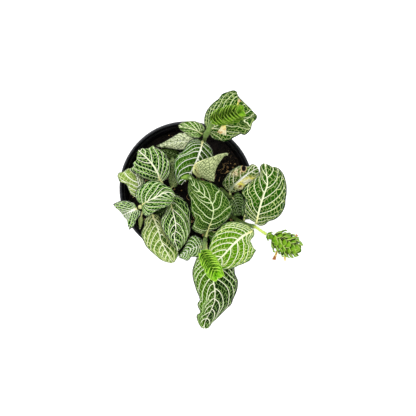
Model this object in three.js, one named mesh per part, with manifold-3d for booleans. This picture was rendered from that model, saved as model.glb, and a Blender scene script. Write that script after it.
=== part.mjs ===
// A nerve plant growing in a small round nursery pot: the pot, the soil, the stems that rise out of it,
// the net-veined leaves with their petioles, and three flower spikes with a few withered flowers.
// Millimetres, +Z up. The origin is the middle of the flat underside of the pot, on its axis.
import * as THREE from 'three';
import { mergeVertices, mergeGeometries } from 'three/addons/utils/BufferGeometryUtils.js';
import Module from 'manifold-3d';

// ---------------------------------------------------------------- driving dimensions
const POT_HEIGHT = 88;            // floor to the top of the rim
const POT_RIM_RADIUS = 50;        // outside of the rolled lip
const POT_BAND_RADIUS = 48.9;     // outside of the upright band under the lip
const POT_SHOULDER_RADIUS = 47.4; // outside of the wall just under the band
const POT_BASE_RADIUS = 35;       // outside of the wall at the floor
const POT_BAND_FOOT = 79.5;       // height where the band begins
const POT_WALL = 1.0;
const POT_FLOOR = 1.6;
const POT_SEGMENTS = 48;
const DRAIN_RADIUS = 3.6;         // drainage holes in the floor
const DRAIN_CIRCLE = 24;
const DRAIN_COUNT = 8;
const SOIL_TOP = 74;              // mean height of the soil's surface
const SOIL_BUMP = 0.9;            // how far its lumps rise and fall
const CLEARANCE = 0.3;            // between pieces that touch
const LEAF_THICKNESS = 0.9;
const FOLDED_LEAF_THICKNESS = 0.55; // its two halves lie close together at the crease
const PETIOLE_HALF_WIDTH = 0.85;
const STEM_SIDES = 8;
const STALK_RADIUS = 1.0;
const LEAF_COLUMNS = [-1, -0.55, 0, 0.55, 1]; // across a blade, from one margin over the midrib to the other

// Stems: centre-line points from inside the soil up to the top node, and the radius.
const STEMS = {
  stem_top: { radius: 1.5, steps: 9, line: [[9.5, 23, 62], [9.9, 25, 74], [12.2, 32, 90], [13.8, 36.2, 102], [14.1, 37.4, 110.5]] },
  stem_left: { radius: 1.45, steps: 9, line: [[-21, -6, 62], [-23, -7.5, 74], [-27.5, -11, 86], [-30.5, -12.7, 95], [-33, -14, 107]] },
  stem_middle: { radius: 1.4, steps: 6, line: [[-12, 2, 62], [-12.3, 1.2, 74], [-13.5, -1, 86], [-14.6, -2.8, 97]] },
  stem_centre: { radius: 1.6, steps: 9, line: [[14.5, -22, 62], [14.6, -24, 74], [14.6, -30, 88], [14.2, -36.3, 97], [13.9, -38, 104.5]] },
  stem_right: { radius: 1.6, steps: 9, line: [[27, -14, 62], [31, -18, 74], [38.5, -24, 88], [44.5, -26.8, 98], [49.3, -28, 106.5]] },
  stem_east: { radius: 1.35, steps: 6, line: [[24, 1, 62], [26, 0, 74], [30.5, -4.5, 84], [32.9, -6.2, 91]] },
  stem_inner: { radius: 1.3, steps: 6, line: [[8, 5, 62], [8.5, 6.5, 74], [9.6, 8.5, 84], [9.9, 8.6, 92]] },
};

// Flower stalks, from the top node of a stem to the foot of the spike.
const STALKS = {
  spike_top_stalk: { steps: 6, line: [[14.11, 37.46, 110.9], [15.14, 38.01, 117], [16.96, 40.58, 125.5], [19.35, 45.36, 132.2]] },
  spike_right_stalk: { steps: 6, line: [[49.5, -28.05, 106.85], [51.08, -28.93, 110.2], [54.53, -31.38, 112], [57.7, -33.4, 113.3]] },
  spike_bottom_stalk: { steps: 6, line: [[13.88, -38.09, 104.89], [13.77, -39.59, 111.5], [13.38, -43.14, 118.5], [13, -45.6, 124.6]] },
};

// Flower spikes: foot and tip of the axis, half width across and half height, tiers of bracts.
const SPIKES = {
  spike_top_bracts: { foot: [19.63, 45.91, 132.98], tip: [37.95, 48.75, 156.5], halfWidth: 5.8, halfHeight: 4.4, tiers: 8 },
  spike_right_bracts: { foot: [58.34, -33.81, 113.56], tip: [80.32, -44.67, 122.5], halfWidth: 7.6, halfHeight: 5.2, tiers: 8 },
  spike_bottom_bracts: { foot: [12.95, -45.9, 125.34], tip: [22.35, -59.66, 150], halfWidth: 5.6, halfHeight: 4.4, tiers: 8 },
};

// Withered flowers: root, tip, half width at the root and at the tip.
const WITHERED = {
  withered_flower_top_large: { root: [27.7, 43.89, 139], tip: [25.72, 36.74, 128.5], halfRoot: 0.6, halfTip: 3.0 },
  withered_flower_top_small: { root: [35.9, 55.08, 150.5], tip: [37.12, 56.5, 153], halfRoot: 0.6, halfTip: 0.95 },
  withered_flower_right_long: { root: [65.35, -44.99, 112], tip: [63.3, -52.03, 107], halfRoot: 0.55, halfTip: 1.2 },
  withered_flower_right_top: { root: [77.44, -35.45, 119], tip: [78.66, -33.17, 120], halfRoot: 0.5, halfTip: 1.0 },
  withered_flower_right_short: { root: [70.37, -48.39, 114.5], tip: [70.98, -52.39, 112], halfRoot: 0.7, halfTip: 0.85 },
};

// Leaves: colour, how far each half bulges up between midrib and margin, whether the blade is folded, the petiole's centre line, and
// stations from the blade's base to its tip: [midrib xyz, first margin xyz, second margin xyz].
const LEAVES = {
  leaf_top_right: { colour: 0x3a6b1a, bulge: 0.8, flip: false,
    petiole: [[15.51, 38.94, 111.83]],
    stations: [
      [16.55, 40.15, 114, 15.91, 41.22, 114, 17.48, 38.38, 114],
      [19.78, 42.14, 117.22, 13.28, 47.76, 113.98, 20.12, 34.43, 113.98],
      [23.25, 43.72, 119.77, 15.25, 54.43, 115.77, 24.92, 32.95, 115.77],
      [26.82, 45.19, 120.98, 19.9, 59.73, 116.98, 29.69, 32.88, 116.98],
      [30.6, 46.32, 121, 24.68, 64.56, 117, 34.13, 34.98, 117],
      [34.42, 47.31, 121, 31.02, 67.65, 117, 38.6, 37.33, 117],
      [38.28, 48.09, 121, 36.73, 66.1, 117.31, 42.88, 37.34, 117.31],
      [42.21, 48.76, 120.44, 41.08, 60.5, 117.33, 46.29, 40.96, 117.33],
      [46.26, 49.5, 118.15, 46.26, 55.61, 115.76, 47.79, 45.95, 115.76],
      [50.42, 50.18, 115, 50.83, 50.66, 114, 50.83, 49.95, 114],
    ] },
  leaf_top_left: { colour: 0x3a6b1a, bulge: 0.8, flip: true,
    petiole: [[12.07, 38.18, 111.29]],
    stations: [
      [11.07, 38.44, 112, 12.49, 39.5, 112, 11.78, 36.65, 112],
      [8.71, 39.74, 113.88, 13.58, 42.99, 111.88, 9.01, 35.29, 111.38],
      [6.25, 40.93, 114.9, 10.7, 45.65, 112.9, 5.84, 35.39, 112.4],
      [3.55, 41.63, 114.91, 6.86, 46.94, 112.91, 2.79, 36.21, 112.41],
      [0.79, 42.25, 114.33, 2.79, 47.28, 112.49, 0.19, 38.12, 112.02],
      [-1.97, 43.02, 113.07, -1.24, 46.68, 111.69, -2.29, 40.24, 111.34],
      [-4.78, 43.89, 111, -4.66, 44.66, 110.5, -4.67, 42.53, 110.38],
    ] },
  leaf_centre_top: { colour: 0x5c8a25, bulge: 0.8, flip: true,
    petiole: [[12.54, 33.8, 101.71]],
    stations: [
      [11.93, 33.12, 103.5, 10.99, 34.57, 103.5, 13.16, 33.85, 103.5],
      [11.14, 29.19, 105.16, 5.96, 35.61, 101.11, 17.04, 30.79, 102.33],
      [10.02, 25.41, 106.25, 1.61, 33.08, 101.25, 19.55, 26.46, 102.75],
      [8.83, 21.72, 106.48, -1.15, 28.64, 101.48, 19.63, 21.52, 102.98],
      [7.28, 18.21, 106.23, -4.85, 25.08, 101.23, 16.41, 17.68, 102.73],
      [5.54, 14.78, 105.74, -7.98, 21.14, 100.74, 12.38, 14.71, 102.24],
      [3.9, 11.31, 104.75, -9.03, 16.08, 100.14, 7.82, 12.6, 101.52],
      [1.59, 8.25, 102.52, -8.61, 10.94, 98.63, 4.08, 9.39, 99.8],
      [-0.86, 5.26, 100.25, -7.38, 5.92, 97.26, 0.66, 5.69, 98.16],
      [-3.68, 2.54, 98, -4.09, 2.36, 96.75, -3.27, 2.49, 97.12],
    ] },
  leaf_folded_pale: { colour: 0xa5b978, bulge: 0.6, flip: false, folded: true,
    petiole: [[9.74, 8.63, 94.2], [8.98, 8.64, 98.25], [7.97, 9.14, 102.22], [6.82, 10.22, 105.99], [5.55, 11.76, 109.6]],
    stations: [
      [5.74, 14.54, 112.5, 5.36, 14.79, 111.7, 6.41, 14.1, 112.3],
      [7.51, 17.25, 114.07, 9.49, 13.72, 107.02, 9.34, 9.33, 107.02],
      [10.68, 18.59, 115.23, 12.79, 13.91, 107.23, 13.42, 6.44, 107.23],
      [13.86, 19.86, 115.8, 15.96, 14.85, 107.8, 18.12, 4.77, 107.8],
      [17.16, 20.82, 116.21, 18.9, 16.3, 108.21, 20.74, 7.07, 108.21],
      [20.44, 21.81, 116.45, 21.53, 18.26, 108.68, 21.46, 11.98, 108.68],
      [23.61, 23.13, 116.4, 24.14, 20.19, 109.88, 23.41, 16.47, 109.88],
      [26.99, 23.91, 115.49, 26.95, 23.24, 112.28, 26.54, 20.94, 111.47],
      [30.25, 23.33, 114, 30.41, 24.22, 112.8, 30.09, 22.45, 113.4],
    ] },
  leaf_damaged: { colour: 0x6b7f3c, bulge: 0.8, flip: false,
    petiole: [[32.44, -4.76, 92.6]],
    stations: [
      [31.49, -2.14, 95, 29.29, -1.41, 95, 32.96, -3.61, 95],
      [34.04, 0.68, 97.64, 26.47, 3.36, 93.77, 37.21, -2.65, 94.74],
      [36.76, 3.3, 99.82, 28.91, 8.12, 95.82, 41.14, -1, 96.82],
      [39.6, 5.78, 101.72, 32.21, 12.47, 97.72, 44.88, 0.98, 98.72],
      [42.43, 8.26, 103.38, 36.76, 15.4, 99.38, 48.39, 3.3, 100.38],
      [45.49, 10.53, 103.99, 42.04, 15.97, 100.54, 51.48, 6.16, 101.4],
      [48.84, 12.56, 103.12, 47.15, 16.87, 100.5, 53.35, 9.97, 101.16],
      [52.4, 14.44, 101, 51.74, 15.22, 100, 52.45, 14.12, 100.25],
    ] },
  leaf_right: { colour: 0x2f6616, bulge: 0.8, flip: false,
    petiole: [[50.35, -26, 107.64]],
    stations: [
      [51.02, -24.67, 109, 50.08, -25.03, 109, 51.16, -26.46, 109],
      [51.69, -20.01, 112.75, 44.91, -21.99, 108.69, 57.82, -25.89, 108.29],
      [52.46, -15.43, 115.8, 41.69, -16.92, 110.8, 63.69, -22.93, 110.3],
      [53.54, -10.95, 117.66, 42.11, -10.99, 112.66, 68.82, -18.07, 112.16],
      [54.92, -6.54, 118, 40.6, -5.51, 113, 71.08, -11.26, 112.5],
      [56.57, -2.21, 118, 41.4, -0.07, 113, 72.01, -4.09, 112.5],
      [57.88, 2.21, 118, 45.76, 3.92, 113.39, 71.61, 3.1, 112.93],
      [57.63, 6.85, 117.36, 50.6, 7.47, 113.47, 69.35, 9.95, 113.08],
      [57.22, 11.57, 114.71, 53.03, 12.74, 111.72, 64.24, 14.63, 111.42],
      [56.88, 16.41, 111, 56.12, 17.41, 109.75, 57.56, 16.85, 109.62],
    ] },
  leaf_centre: { colour: 0x4f7f1e, bulge: 0.8, flip: false,
    petiole: [[14.77, -35.48, 104.01]],
    stations: [
      [15.7, -30.46, 107, 14.26, -31.89, 107, 16.78, -31.53, 107],
      [17.49, -26.05, 110.81, 9.85, -33.03, 107.29, 23, -28.99, 106.93],
      [19.07, -21.65, 113.98, 5.57, -30.66, 108.98, 28.35, -24.93, 108.48],
      [19.86, -17.09, 116.17, 5.45, -26.43, 111.17, 32.43, -19.65, 110.67],
      [19.27, -12.57, 117.05, 6.3, -21.88, 112.05, 33.53, -13.27, 111.55],
      [17.12, -8.59, 117.32, 3.99, -17.6, 112.32, 30.36, -7.44, 111.82],
      [13.48, -5.78, 117.47, 3.75, -12.7, 112.47, 26.24, -2.22, 111.97],
      [10.02, -2.74, 117.21, 3.41, -7.85, 112.41, 20.98, 1.91, 111.93],
      [6.75, 0.59, 114.71, 1.63, -3.2, 110.48, 14.91, 4.6, 110.05],
      [4.65, 4.8, 111.71, 1.8, 1.8, 108.12, 8.27, 5.8, 107.76],
      [1.27, 7.67, 110.06, 1.49, 5.46, 107.27, 2.93, 9.52, 106.99],
      [-3.29, 6.85, 109, -3.33, 6.47, 107.75, -3.19, 7.27, 107.62],
    ] },
  leaf_lower_right: { colour: 0x6fa023, bulge: 0.8, flip: true,
    petiole: [[48.45, -30.2, 106.93]],
    stations: [
      [47.61, -31.85, 108.5, 47.25, -30.05, 108.5, 48.68, -30.05, 108.5],
      [43.62, -33.23, 111.26, 43.06, -25.98, 107.61, 48.31, -35.78, 107.21],
      [40.03, -35.25, 113.45, 37.04, -24.47, 108.95, 47.54, -40.61, 108.45],
      [36.82, -37.78, 114.76, 30.86, -24.52, 110.26, 50.05, -45.5, 109.76],
      [33.85, -40.56, 114.98, 25.65, -27.55, 110.48, 47.16, -50.75, 109.98],
      [31.08, -43.55, 114.79, 21.38, -31.98, 110.29, 42.26, -54.11, 109.79],
      [28.38, -46.61, 114.4, 18.36, -37.32, 110.25, 36.71, -56.31, 109.79],
      [25.53, -49.55, 113.78, 16.68, -43.23, 110.28, 31.07, -58.19, 109.89],
      [22.39, -52.27, 111.68, 16.92, -49.41, 108.99, 25.14, -59.01, 108.69],
      [19.64, -55.51, 108.5, 19.29, -55.23, 107.37, 20.01, -56.32, 107.25],
    ] },
  leaf_bottom: { colour: 0x3f7018, bulge: 0.8, flip: true,
    petiole: [[14.52, -39.69, 101.09], [14.85, -43.47, 101.33], [15.36, -47.24, 101.32]],
    stations: [
      [16.06, -50.99, 101, 13.15, -50.26, 101, 19.69, -50.26, 101],
      [17.23, -55.58, 102.69, 7.94, -50.85, 99.87, 26.12, -51.18, 97.76],
      [18.4, -60.2, 103.63, 5.81, -56.11, 99.63, 31.93, -54.08, 96.63],
      [19.26, -64.93, 103.98, 4.67, -61.63, 99.98, 35.39, -59.31, 96.98],
      [20.4, -69.66, 103.67, 5.38, -67.31, 99.67, 37.11, -65.31, 96.67],
      [21.13, -74.59, 102.31, 6.95, -72.93, 98.31, 38.05, -71.73, 95.31],
      [21.07, -79.68, 100.31, 8.96, -78.51, 96.31, 36.4, -78.19, 93.31],
      [20.22, -84.71, 97.97, 9.05, -84.02, 94.14, 34.05, -84.41, 91.27],
      [18.27, -89.67, 94.41, 9.34, -89.28, 91.02, 29.9, -89.64, 88.48],
      [16.04, -94.64, 90.33, 8.03, -93.86, 87.46, 25.32, -94.73, 85.31],
      [13.87, -99.65, 86.64, 8.34, -99.72, 84.4, 20.58, -99.66, 82.73],
      [13.43, -105.11, 83, 11.54, -104.89, 82, 16.43, -105.01, 81.25],
    ] },
  leaf_small_bottom: { colour: 0x4b7d2a, bulge: 0.8, flip: true,
    petiole: [[13.77, -38.73, 96.86]],
    stations: [
      [11.67, -43.17, 97.5, 13.13, -40.98, 97.5, 12.76, -45.36, 97.5],
      [8.58, -43.1, 98.8, 10.72, -36.77, 96.8, 11.42, -48.87, 95.8],
      [5.56, -43.69, 99.37, 6.34, -34.42, 97.37, 8.63, -51.25, 96.37],
      [2.85, -45.16, 99.5, 2.25, -36.58, 97.5, 5.02, -50.48, 96.5],
      [0.2, -46.81, 98.91, -0.07, -41.04, 97.06, 2.29, -52.53, 96.14],
      [-2.5, -48.53, 97.31, -2.57, -45.47, 95.93, -1.04, -52.83, 95.23],
      [-5.26, -50.28, 95, -5.64, -49.58, 94.5, -4.55, -51.43, 94.25],
    ] },
  leaf_lower_left: { colour: 0x86a860, bulge: 0.8, flip: true,
    petiole: [[-28.43, -14.27, 91.67], [-26.75, -16.97, 93.15]],
    stations: [
      [-24.8, -19.79, 94, -25.91, -19.42, 94, -23.7, -19.06, 94],
      [-22.95, -24.24, 95.97, -30.65, -23.34, 92.89, -19.24, -21.37, 93.77],
      [-21.08, -28.64, 97.35, -31.65, -29.17, 93.85, -17.53, -26.43, 94.85],
      [-19.54, -33.15, 97.98, -32.98, -35.04, 94.48, -15.61, -31.39, 95.48],
      [-18.49, -37.79, 97.85, -30.58, -40.76, 94.35, -12.74, -35.93, 95.35],
      [-16.64, -42.19, 97.3, -26.88, -45.71, 93.9, -9.69, -40.34, 94.87],
      [-14.49, -46.47, 96.5, -22.25, -49.91, 93.65, -6.64, -44.78, 94.46],
      [-12.44, -50.84, 94.93, -17.29, -53.66, 92.75, -5.99, -49.76, 93.38],
      [-9.78, -54.87, 92.5, -11.3, -55.3, 91.62, -8.7, -54.55, 91.88],
    ] },
  leaf_dark_left: { colour: 0x2c5a20, bulge: 0.8, flip: true,
    petiole: [[-13.63, -4.74, 96.38], [-12.24, -8.55, 97.75]],
    stations: [
      [-10.55, -12.09, 99.5, -11.64, -11.72, 99.5, -9.82, -10.63, 99.5],
      [-9.45, -16.27, 102.32, -14.33, -15.71, 99.68, -7.22, -4.35, 98.8],
      [-8.33, -20.41, 104.39, -16.52, -19.91, 101.39, -1.75, -8.11, 100.39],
      [-7.54, -24.59, 105, -18.33, -24.21, 102, 2.58, -13.5, 101],
      [-7.12, -28.83, 105, -17.54, -28.88, 102, 3.69, -20.33, 101],
      [-7.97, -32.94, 105, -15.19, -33.05, 102.09, 3.7, -27.27, 101.11],
      [-8.05, -37.18, 104.8, -12.48, -37.01, 102.35, 2.53, -34.05, 101.54],
      [-7.06, -41.38, 102.92, -9.67, -40.91, 101.05, -0.56, -40.29, 100.42],
      [-5.79, -45.59, 100, -6.92, -44.9, 99.25, -5.1, -45.65, 99],
    ] },
  leaf_left_centre: { colour: 0x3f6f25, bulge: 0.8, flip: false,
    petiole: [],
    stations: [
      [-30.91, -12.13, 108.5, -31.98, -11.41, 108.5, -30.91, -13.92, 108.5],
      [-27.96, -10.31, 110.84, -35.6, -7.44, 108.2, -30.82, -18.12, 107.76],
      [-24.91, -8.79, 112.62, -35.39, -2.06, 109.62, -27.73, -20.62, 109.12],
      [-21.84, -7.49, 113.47, -31.52, 1.95, 110.47, -23.82, -18.91, 109.97],
      [-18.93, -6, 113.46, -26.61, 4.64, 110.46, -20.19, -16.67, 109.96],
      [-16.13, -4.33, 113.29, -21.16, 4.88, 110.37, -16.27, -15.03, 109.89],
      [-12.99, -3.43, 113, -15.99, 2.89, 110.55, -12.21, -13.71, 110.15],
      [-9.86, -3.88, 111.77, -11.09, 0.34, 109.9, -9.4, -10.62, 109.59],
      [-7.56, -6.05, 109.5, -7.95, -4.25, 108.75, -7.6, -6.75, 108.62],
    ] },
  leaf_far_left: { colour: 0x6b9340, bulge: 0.8, flip: true,
    petiole: [],
    stations: [
      [-35.21, -15.35, 108.5, -35.21, -13.56, 108.5, -33.78, -16.07, 108.5],
      [-36.52, -15.87, 109.65, -38.13, -10.7, 106.27, -32.52, -19.3, 105.79],
      [-37.91, -16.39, 109.98, -42, -9.58, 106.48, -35.02, -22.46, 105.98],
      [-39.35, -16.94, 109.69, -46.06, -9.47, 106.19, -36.59, -26.23, 105.69],
      [-40.88, -17.63, 107.98, -50.15, -10.57, 104.48, -39.33, -29.29, 103.98],
      [-42.47, -18.32, 105.79, -52.16, -12.98, 102.77, -41.59, -28.44, 102.33],
      [-44.12, -19.02, 103.2, -49.44, -15.8, 100.91, -42.61, -24.46, 100.59],
      [-45.85, -19.74, 100, -46.68, -18.65, 99.12, -45.23, -21.2, 99],
    ] },
  leaf_upper_left: { colour: 0x3a6b2a, bulge: 0.8, flip: false,
    petiole: [[-15.59, -0.73, 97.05], [-16.98, 2.62, 98.2]],
    stations: [
      [-18.96, 5.79, 99, -20.42, 4.7, 99, -16.78, 4.7, 99],
      [-19.78, 8.92, 101.8, -24.96, 5.24, 99.15, -12.95, 8.43, 98.27],
      [-20.96, 11.9, 103.94, -29.21, 6.38, 100.94, -10.89, 13.35, 99.94],
      [-22.57, 14.75, 104.97, -33.27, 8.21, 101.97, -11.5, 18.61, 100.97],
      [-24.55, 17.47, 104.96, -37.35, 10.25, 101.96, -13.89, 23.45, 100.96],
      [-26.72, 20.04, 104.79, -40.17, 13.57, 101.88, -17.3, 27.49, 100.9],
      [-29.11, 22.44, 104.5, -38.66, 17.22, 102.05, -22.17, 29.77, 101.24],
      [-31.78, 24.79, 102.78, -36.05, 20.51, 100.91, -26.36, 29.1, 100.29],
      [-34.61, 27.28, 99.5, -35.4, 25.14, 98.75, -31.78, 28.81, 98.5],
    ] },
  leaf_rim_left: { colour: 0x8fae62, bulge: 0.8, flip: false,
    petiole: [[-30.8, -10.09, 92.48]],
    stations: [
      [-33.23, -5.81, 94.5, -35.43, -6.55, 94.5, -31.76, -3.6, 94.5],
      [-33.78, -3.05, 96.13, -40.07, -4.92, 93.72, -30.68, -0.85, 94.2],
      [-34.38, -0.28, 97.2, -42.54, -0.5, 94.7, -30.23, 2, 95.2],
      [-34.74, 2.55, 97.49, -45.41, 3.53, 94.99, -30.42, 4.89, 95.49],
      [-35.41, 5.35, 97.29, -49.46, 6.12, 94.79, -31.75, 7.53, 95.29],
      [-36.27, 8.13, 96.71, -49.89, 10.93, 94.55, -33.36, 10.02, 94.98],
      [-37.52, 10.79, 95.65, -45.36, 12.77, 94.01, -35.26, 12.35, 94.34],
      [-39.16, 13.34, 94, -40.7, 14.48, 93.38, -37.74, 14.1, 93.5],
    ] },
  leaf_old_grey: { colour: 0x8a9a70, bulge: 0.8, flip: true,
    petiole: [[11.69, 33.79, 100], [8.24, 34.4, 97.24]],
    stations: [
      [5.74, 34.73, 93.5, 5.74, 36.58, 93.5, 5.74, 32.89, 93.5],
      [1.11, 34.47, 92.3, 1.09, 39.39, 90.3, 1.32, 31.03, 89.8],
      [-3.57, 34.87, 90.71, -3.68, 41.37, 88.71, -2.62, 28.51, 88.21],
      [-8.22, 34.46, 88.78, -8.43, 39.51, 86.78, -7.57, 28.86, 86.28],
      [-12.82, 33.38, 86.33, -13.08, 37, 84.48, -12.5, 29.9, 84.02],
      [-17.54, 32.53, 83.6, -17.83, 34.58, 82.21, -17.51, 30.59, 81.87],
      [-22.4, 32.12, 80.5, -22.81, 32.54, 80, -22.45, 31.72, 79.88],
    ] },
  leaf_dark_under_right: { colour: 0x2a451a, bulge: 0.8, flip: true,
    petiole: [],
    stations: [
      [34.18, -6.87, 91.5, 33.07, -7.61, 91.5, 35.28, -4.65, 91.5],
      [35.84, -9.25, 92.28, 31.16, -10.83, 90.78, 39.06, -2.83, 90.78],
      [36.97, -11.92, 92.49, 31.22, -14.6, 90.99, 42, -6.82, 90.99],
      [38.06, -14.62, 92.26, 32.46, -18.15, 90.76, 43.57, -11.56, 90.76],
      [39.13, -17.35, 90.63, 35.24, -20.63, 89.51, 43.32, -16.52, 89.51],
      [39.87, -20.22, 88, 39.14, -20.97, 87.62, 40.63, -20.6, 87.62],
    ] },
  leaf_grey_mid: { colour: 0x7d8a62, bulge: 0.8, flip: false,
    petiole: [[-11.5, 0.19, 86]],
    stations: [
      [-10.08, 1.05, 86, -12.32, 1.05, 86, -7.84, 0.67, 86],
      [-10.01, 5.47, 87.67, -13.44, 5.57, 86.17, -5.59, 4.91, 86.17],
      [-10.29, 9.9, 88.42, -13.73, 10.2, 86.92, -5.67, 9.78, 86.92],
      [-10.58, 14.36, 88.34, -14.07, 14.86, 86.84, -6.58, 14.61, 86.84],
      [-10.77, 18.89, 87.17, -13.43, 19.49, 86.05, -7.52, 19.49, 86.05],
      [-10.88, 23.52, 85, -11.27, 23.54, 84.62, -10.15, 23.54, 84.62],
    ] },
  leaf_dark_upper: { colour: 0x1f3512, bulge: 0.8, flip: true,
    petiole: [[8.15, 9.67, 79.92], [6.22, 13.28, 79.41], [4.3, 16.88, 78.9], [2.38, 20.48, 78.39], [0.05, 23.5, 78.38]],
    stations: [
      [-3.57, 24.61, 80, -3.57, 26.12, 80, -3.94, 22.72, 80],
      [-6.94, 25.56, 81.07, -6.3, 28.16, 80.07, -7.37, 22.34, 80.07],
      [-10.31, 26.65, 81.46, -9.39, 29.52, 80.46, -10.78, 22.6, 80.46],
      [-13.77, 27.48, 81.36, -12.66, 30.37, 80.36, -14.16, 23.28, 80.36],
      [-17.35, 28.06, 80.31, -16.09, 30.6, 79.57, -17.37, 24.55, 79.57],
      [-21.02, 28.5, 78.5, -19.53, 30.03, 78.25, -20.28, 26.62, 78.25],
    ] },
  leaf_young_left: { colour: 0xb4c480, bulge: 0.3, flip: true,
    petiole: [[-30.82, -13.75, 91.07], [-32.34, -17.48, 91.48]],
    stations: [
      [-33.4, -21.28, 92.5, -34.51, -21.28, 92.5, -32.3, -21.13, 92.5],
      [-33.49, -23.06, 92.5, -35.39, -22.88, 91.9, -31.7, -22.9, 91.9],
      [-33.6, -24.83, 92.5, -35.39, -24.64, 91.9, -32.08, -24.7, 91.9],
      [-33.74, -26.61, 92.39, -35.24, -26.43, 91.79, -32.63, -26.5, 91.79],
      [-34, -28.4, 91.64, -34.93, -28.2, 91.19, -33.35, -28.28, 91.19],
      [-34.32, -30.2, 90.5, -34.63, -29.98, 90.35, -34.11, -30.05, 90.35],
    ] },
  leaf_dark_between: { colour: 0x24401a, bulge: 0.8, flip: true,
    petiole: [[-13.68, -3.36, 86.76], [-13.79, -6.95, 86.16], [-13.77, -10.44, 86.84]],
    stations: [
      [-13.71, -13.89, 88, -14.45, -12.78, 88, -12.22, -15.38, 88],
      [-15.55, -15.45, 88.39, -16.99, -13.4, 87.39, -12.25, -18.33, 87.39],
      [-17.41, -17, 88.5, -19.33, -14.46, 87.5, -13.86, -20.78, 87.5],
      [-19.29, -18.56, 88.37, -21.32, -16.03, 87.37, -16.06, -22.66, 87.37],
      [-21.1, -20.24, 87.46, -22.85, -18.1, 86.71, -18.68, -23.91, 86.71],
      [-22.78, -22.11, 86, -23.54, -20.62, 85.75, -21.67, -23.6, 85.75],
    ] },
  leaf_bud_centre: { colour: 0x6f9030, bulge: 0.3, flip: false,
    petiole: [[16.25, -35.01, 98.19]],
    stations: [
      [16.79, -34.21, 98.5, 16.64, -32.16, 98.5, 16.79, -36.18, 98.5],
      [17.8, -34.98, 99.5, 18.06, -31.52, 98.5, 17.4, -37.33, 98.5],
      [18.94, -35.56, 99.95, 19.36, -32.16, 98.95, 18.15, -38.32, 98.95],
      [20.1, -36.15, 99.91, 20.57, -33.11, 98.91, 19.37, -38.8, 98.91],
      [21.18, -36.89, 99.24, 21.34, -34.47, 98.5, 20.63, -38.74, 98.5],
      [22.27, -37.66, 98, 22.13, -35.84, 97.75, 21.91, -38.48, 97.75],
    ] },
  leaf_lower_east: { colour: 0x35601c, bulge: 0.8, flip: false,
    petiole: [[42.48, -23.67, 95.7]],
    stations: [
      [42.39, -21.22, 97.5, 40.2, -19.03, 97.5, 43.86, -23.05, 97.5],
      [44.26, -17.65, 99.49, 40.3, -14.44, 97.49, 48.81, -22.43, 96.99],
      [46.76, -14.47, 100.4, 42.32, -10.32, 98.4, 53.05, -19.96, 97.9],
      [49.3, -11.29, 100.32, 45.89, -7.42, 98.32, 56.25, -16.13, 97.82],
      [52.24, -8.37, 98.99, 50.29, -5.91, 97.5, 57.68, -11.33, 97.13],
      [55.63, -5.84, 96.5, 54.94, -5.1, 96, 56.41, -6.57, 95.88],
    ] },
  leaf_lower_south: { colour: 0x3d6a1c, bulge: 0.8, flip: false,
    petiole: [[16.88, -32.4, 91.56], [21.43, -32.39, 91.77], [25.98, -32.37, 91.98]],
    stations: [
      [26.35, -35.22, 95, 27.82, -33.01, 95, 25.24, -37.42, 95],
      [28.89, -37.73, 96.99, 32.21, -33.01, 94.99, 25.56, -41.8, 94.99],
      [31.45, -40.27, 97.9, 36.09, -34.78, 95.9, 27.61, -45.54, 95.9],
      [34.16, -42.72, 97.82, 39.42, -37.53, 95.82, 31.04, -48, 95.82],
      [37.11, -45, 96.49, 41.78, -41.11, 95, 35.21, -48.99, 95],
      [40.35, -47.03, 94, 41.85, -45.59, 93.5, 39.64, -48.53, 93.5],
    ] },
};

// ---------------------------------------------------------------- helpers
const wasm = await Module();
wasm.setup();

function toManifold(geometry) {
  let g = geometry.clone();
  if (g.groups) g.clearGroups();
  for (const k of Object.keys(g.attributes)) if (k !== 'position') g.deleteAttribute(k);
  g = mergeVertices(g, 1e-4);
  return new wasm.Manifold(new wasm.Mesh({
    numProp: 3,
    vertProperties: new Float32Array(g.attributes.position.array),
    triVerts: new Uint32Array(g.index.array),
  }));
}

function fromManifold(solid) {
  const mesh = solid.getMesh();
  const n = mesh.numProp;
  const pos = new Float32Array((mesh.vertProperties.length / n) * 3);
  for (let i = 0; i < pos.length / 3; i++)
    for (let k = 0; k < 3; k++) pos[3 * i + k] = mesh.vertProperties[n * i + k];
  const g = new THREE.BufferGeometry();
  g.setAttribute('position', new THREE.BufferAttribute(pos, 3));
  g.setIndex(new THREE.BufferAttribute(new Uint32Array(mesh.triVerts), 1));
  g.computeVertexNormals();
  return g;
}

const v3 = (p) => new THREE.Vector3(p[0], p[1], p[2]);

// a closed round tube along a smooth line through the points
function tube(points, radius, steps, sides = STEM_SIDES) {
  const section = new THREE.Shape();
  for (let i = 0; i < sides; i++) {
    const a = (i / sides) * 2 * Math.PI;
    const x = radius * Math.cos(a), y = radius * Math.sin(a);
    if (i === 0) section.moveTo(x, y); else section.lineTo(x, y);
  }
  section.closePath();
  const path = points.length === 2
    ? new THREE.LineCurve3(v3(points[0]), v3(points[1]))
    : new THREE.CatmullRomCurve3(points.map(v3), false, 'centripetal');
  return new THREE.ExtrudeGeometry(section, { steps, extrudePath: path, bevelEnabled: false });
}

// a repeatable wave of lumps for the soil
const lump = (x, y) =>
  0.5 * Math.sin(0.31 * x + 1.3) * Math.cos(0.27 * y - 0.4) + 0.3 * Math.sin(0.53 * y + 0.22 * x) + 0.2 * Math.cos(0.71 * x - 0.35 * y + 2);

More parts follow.
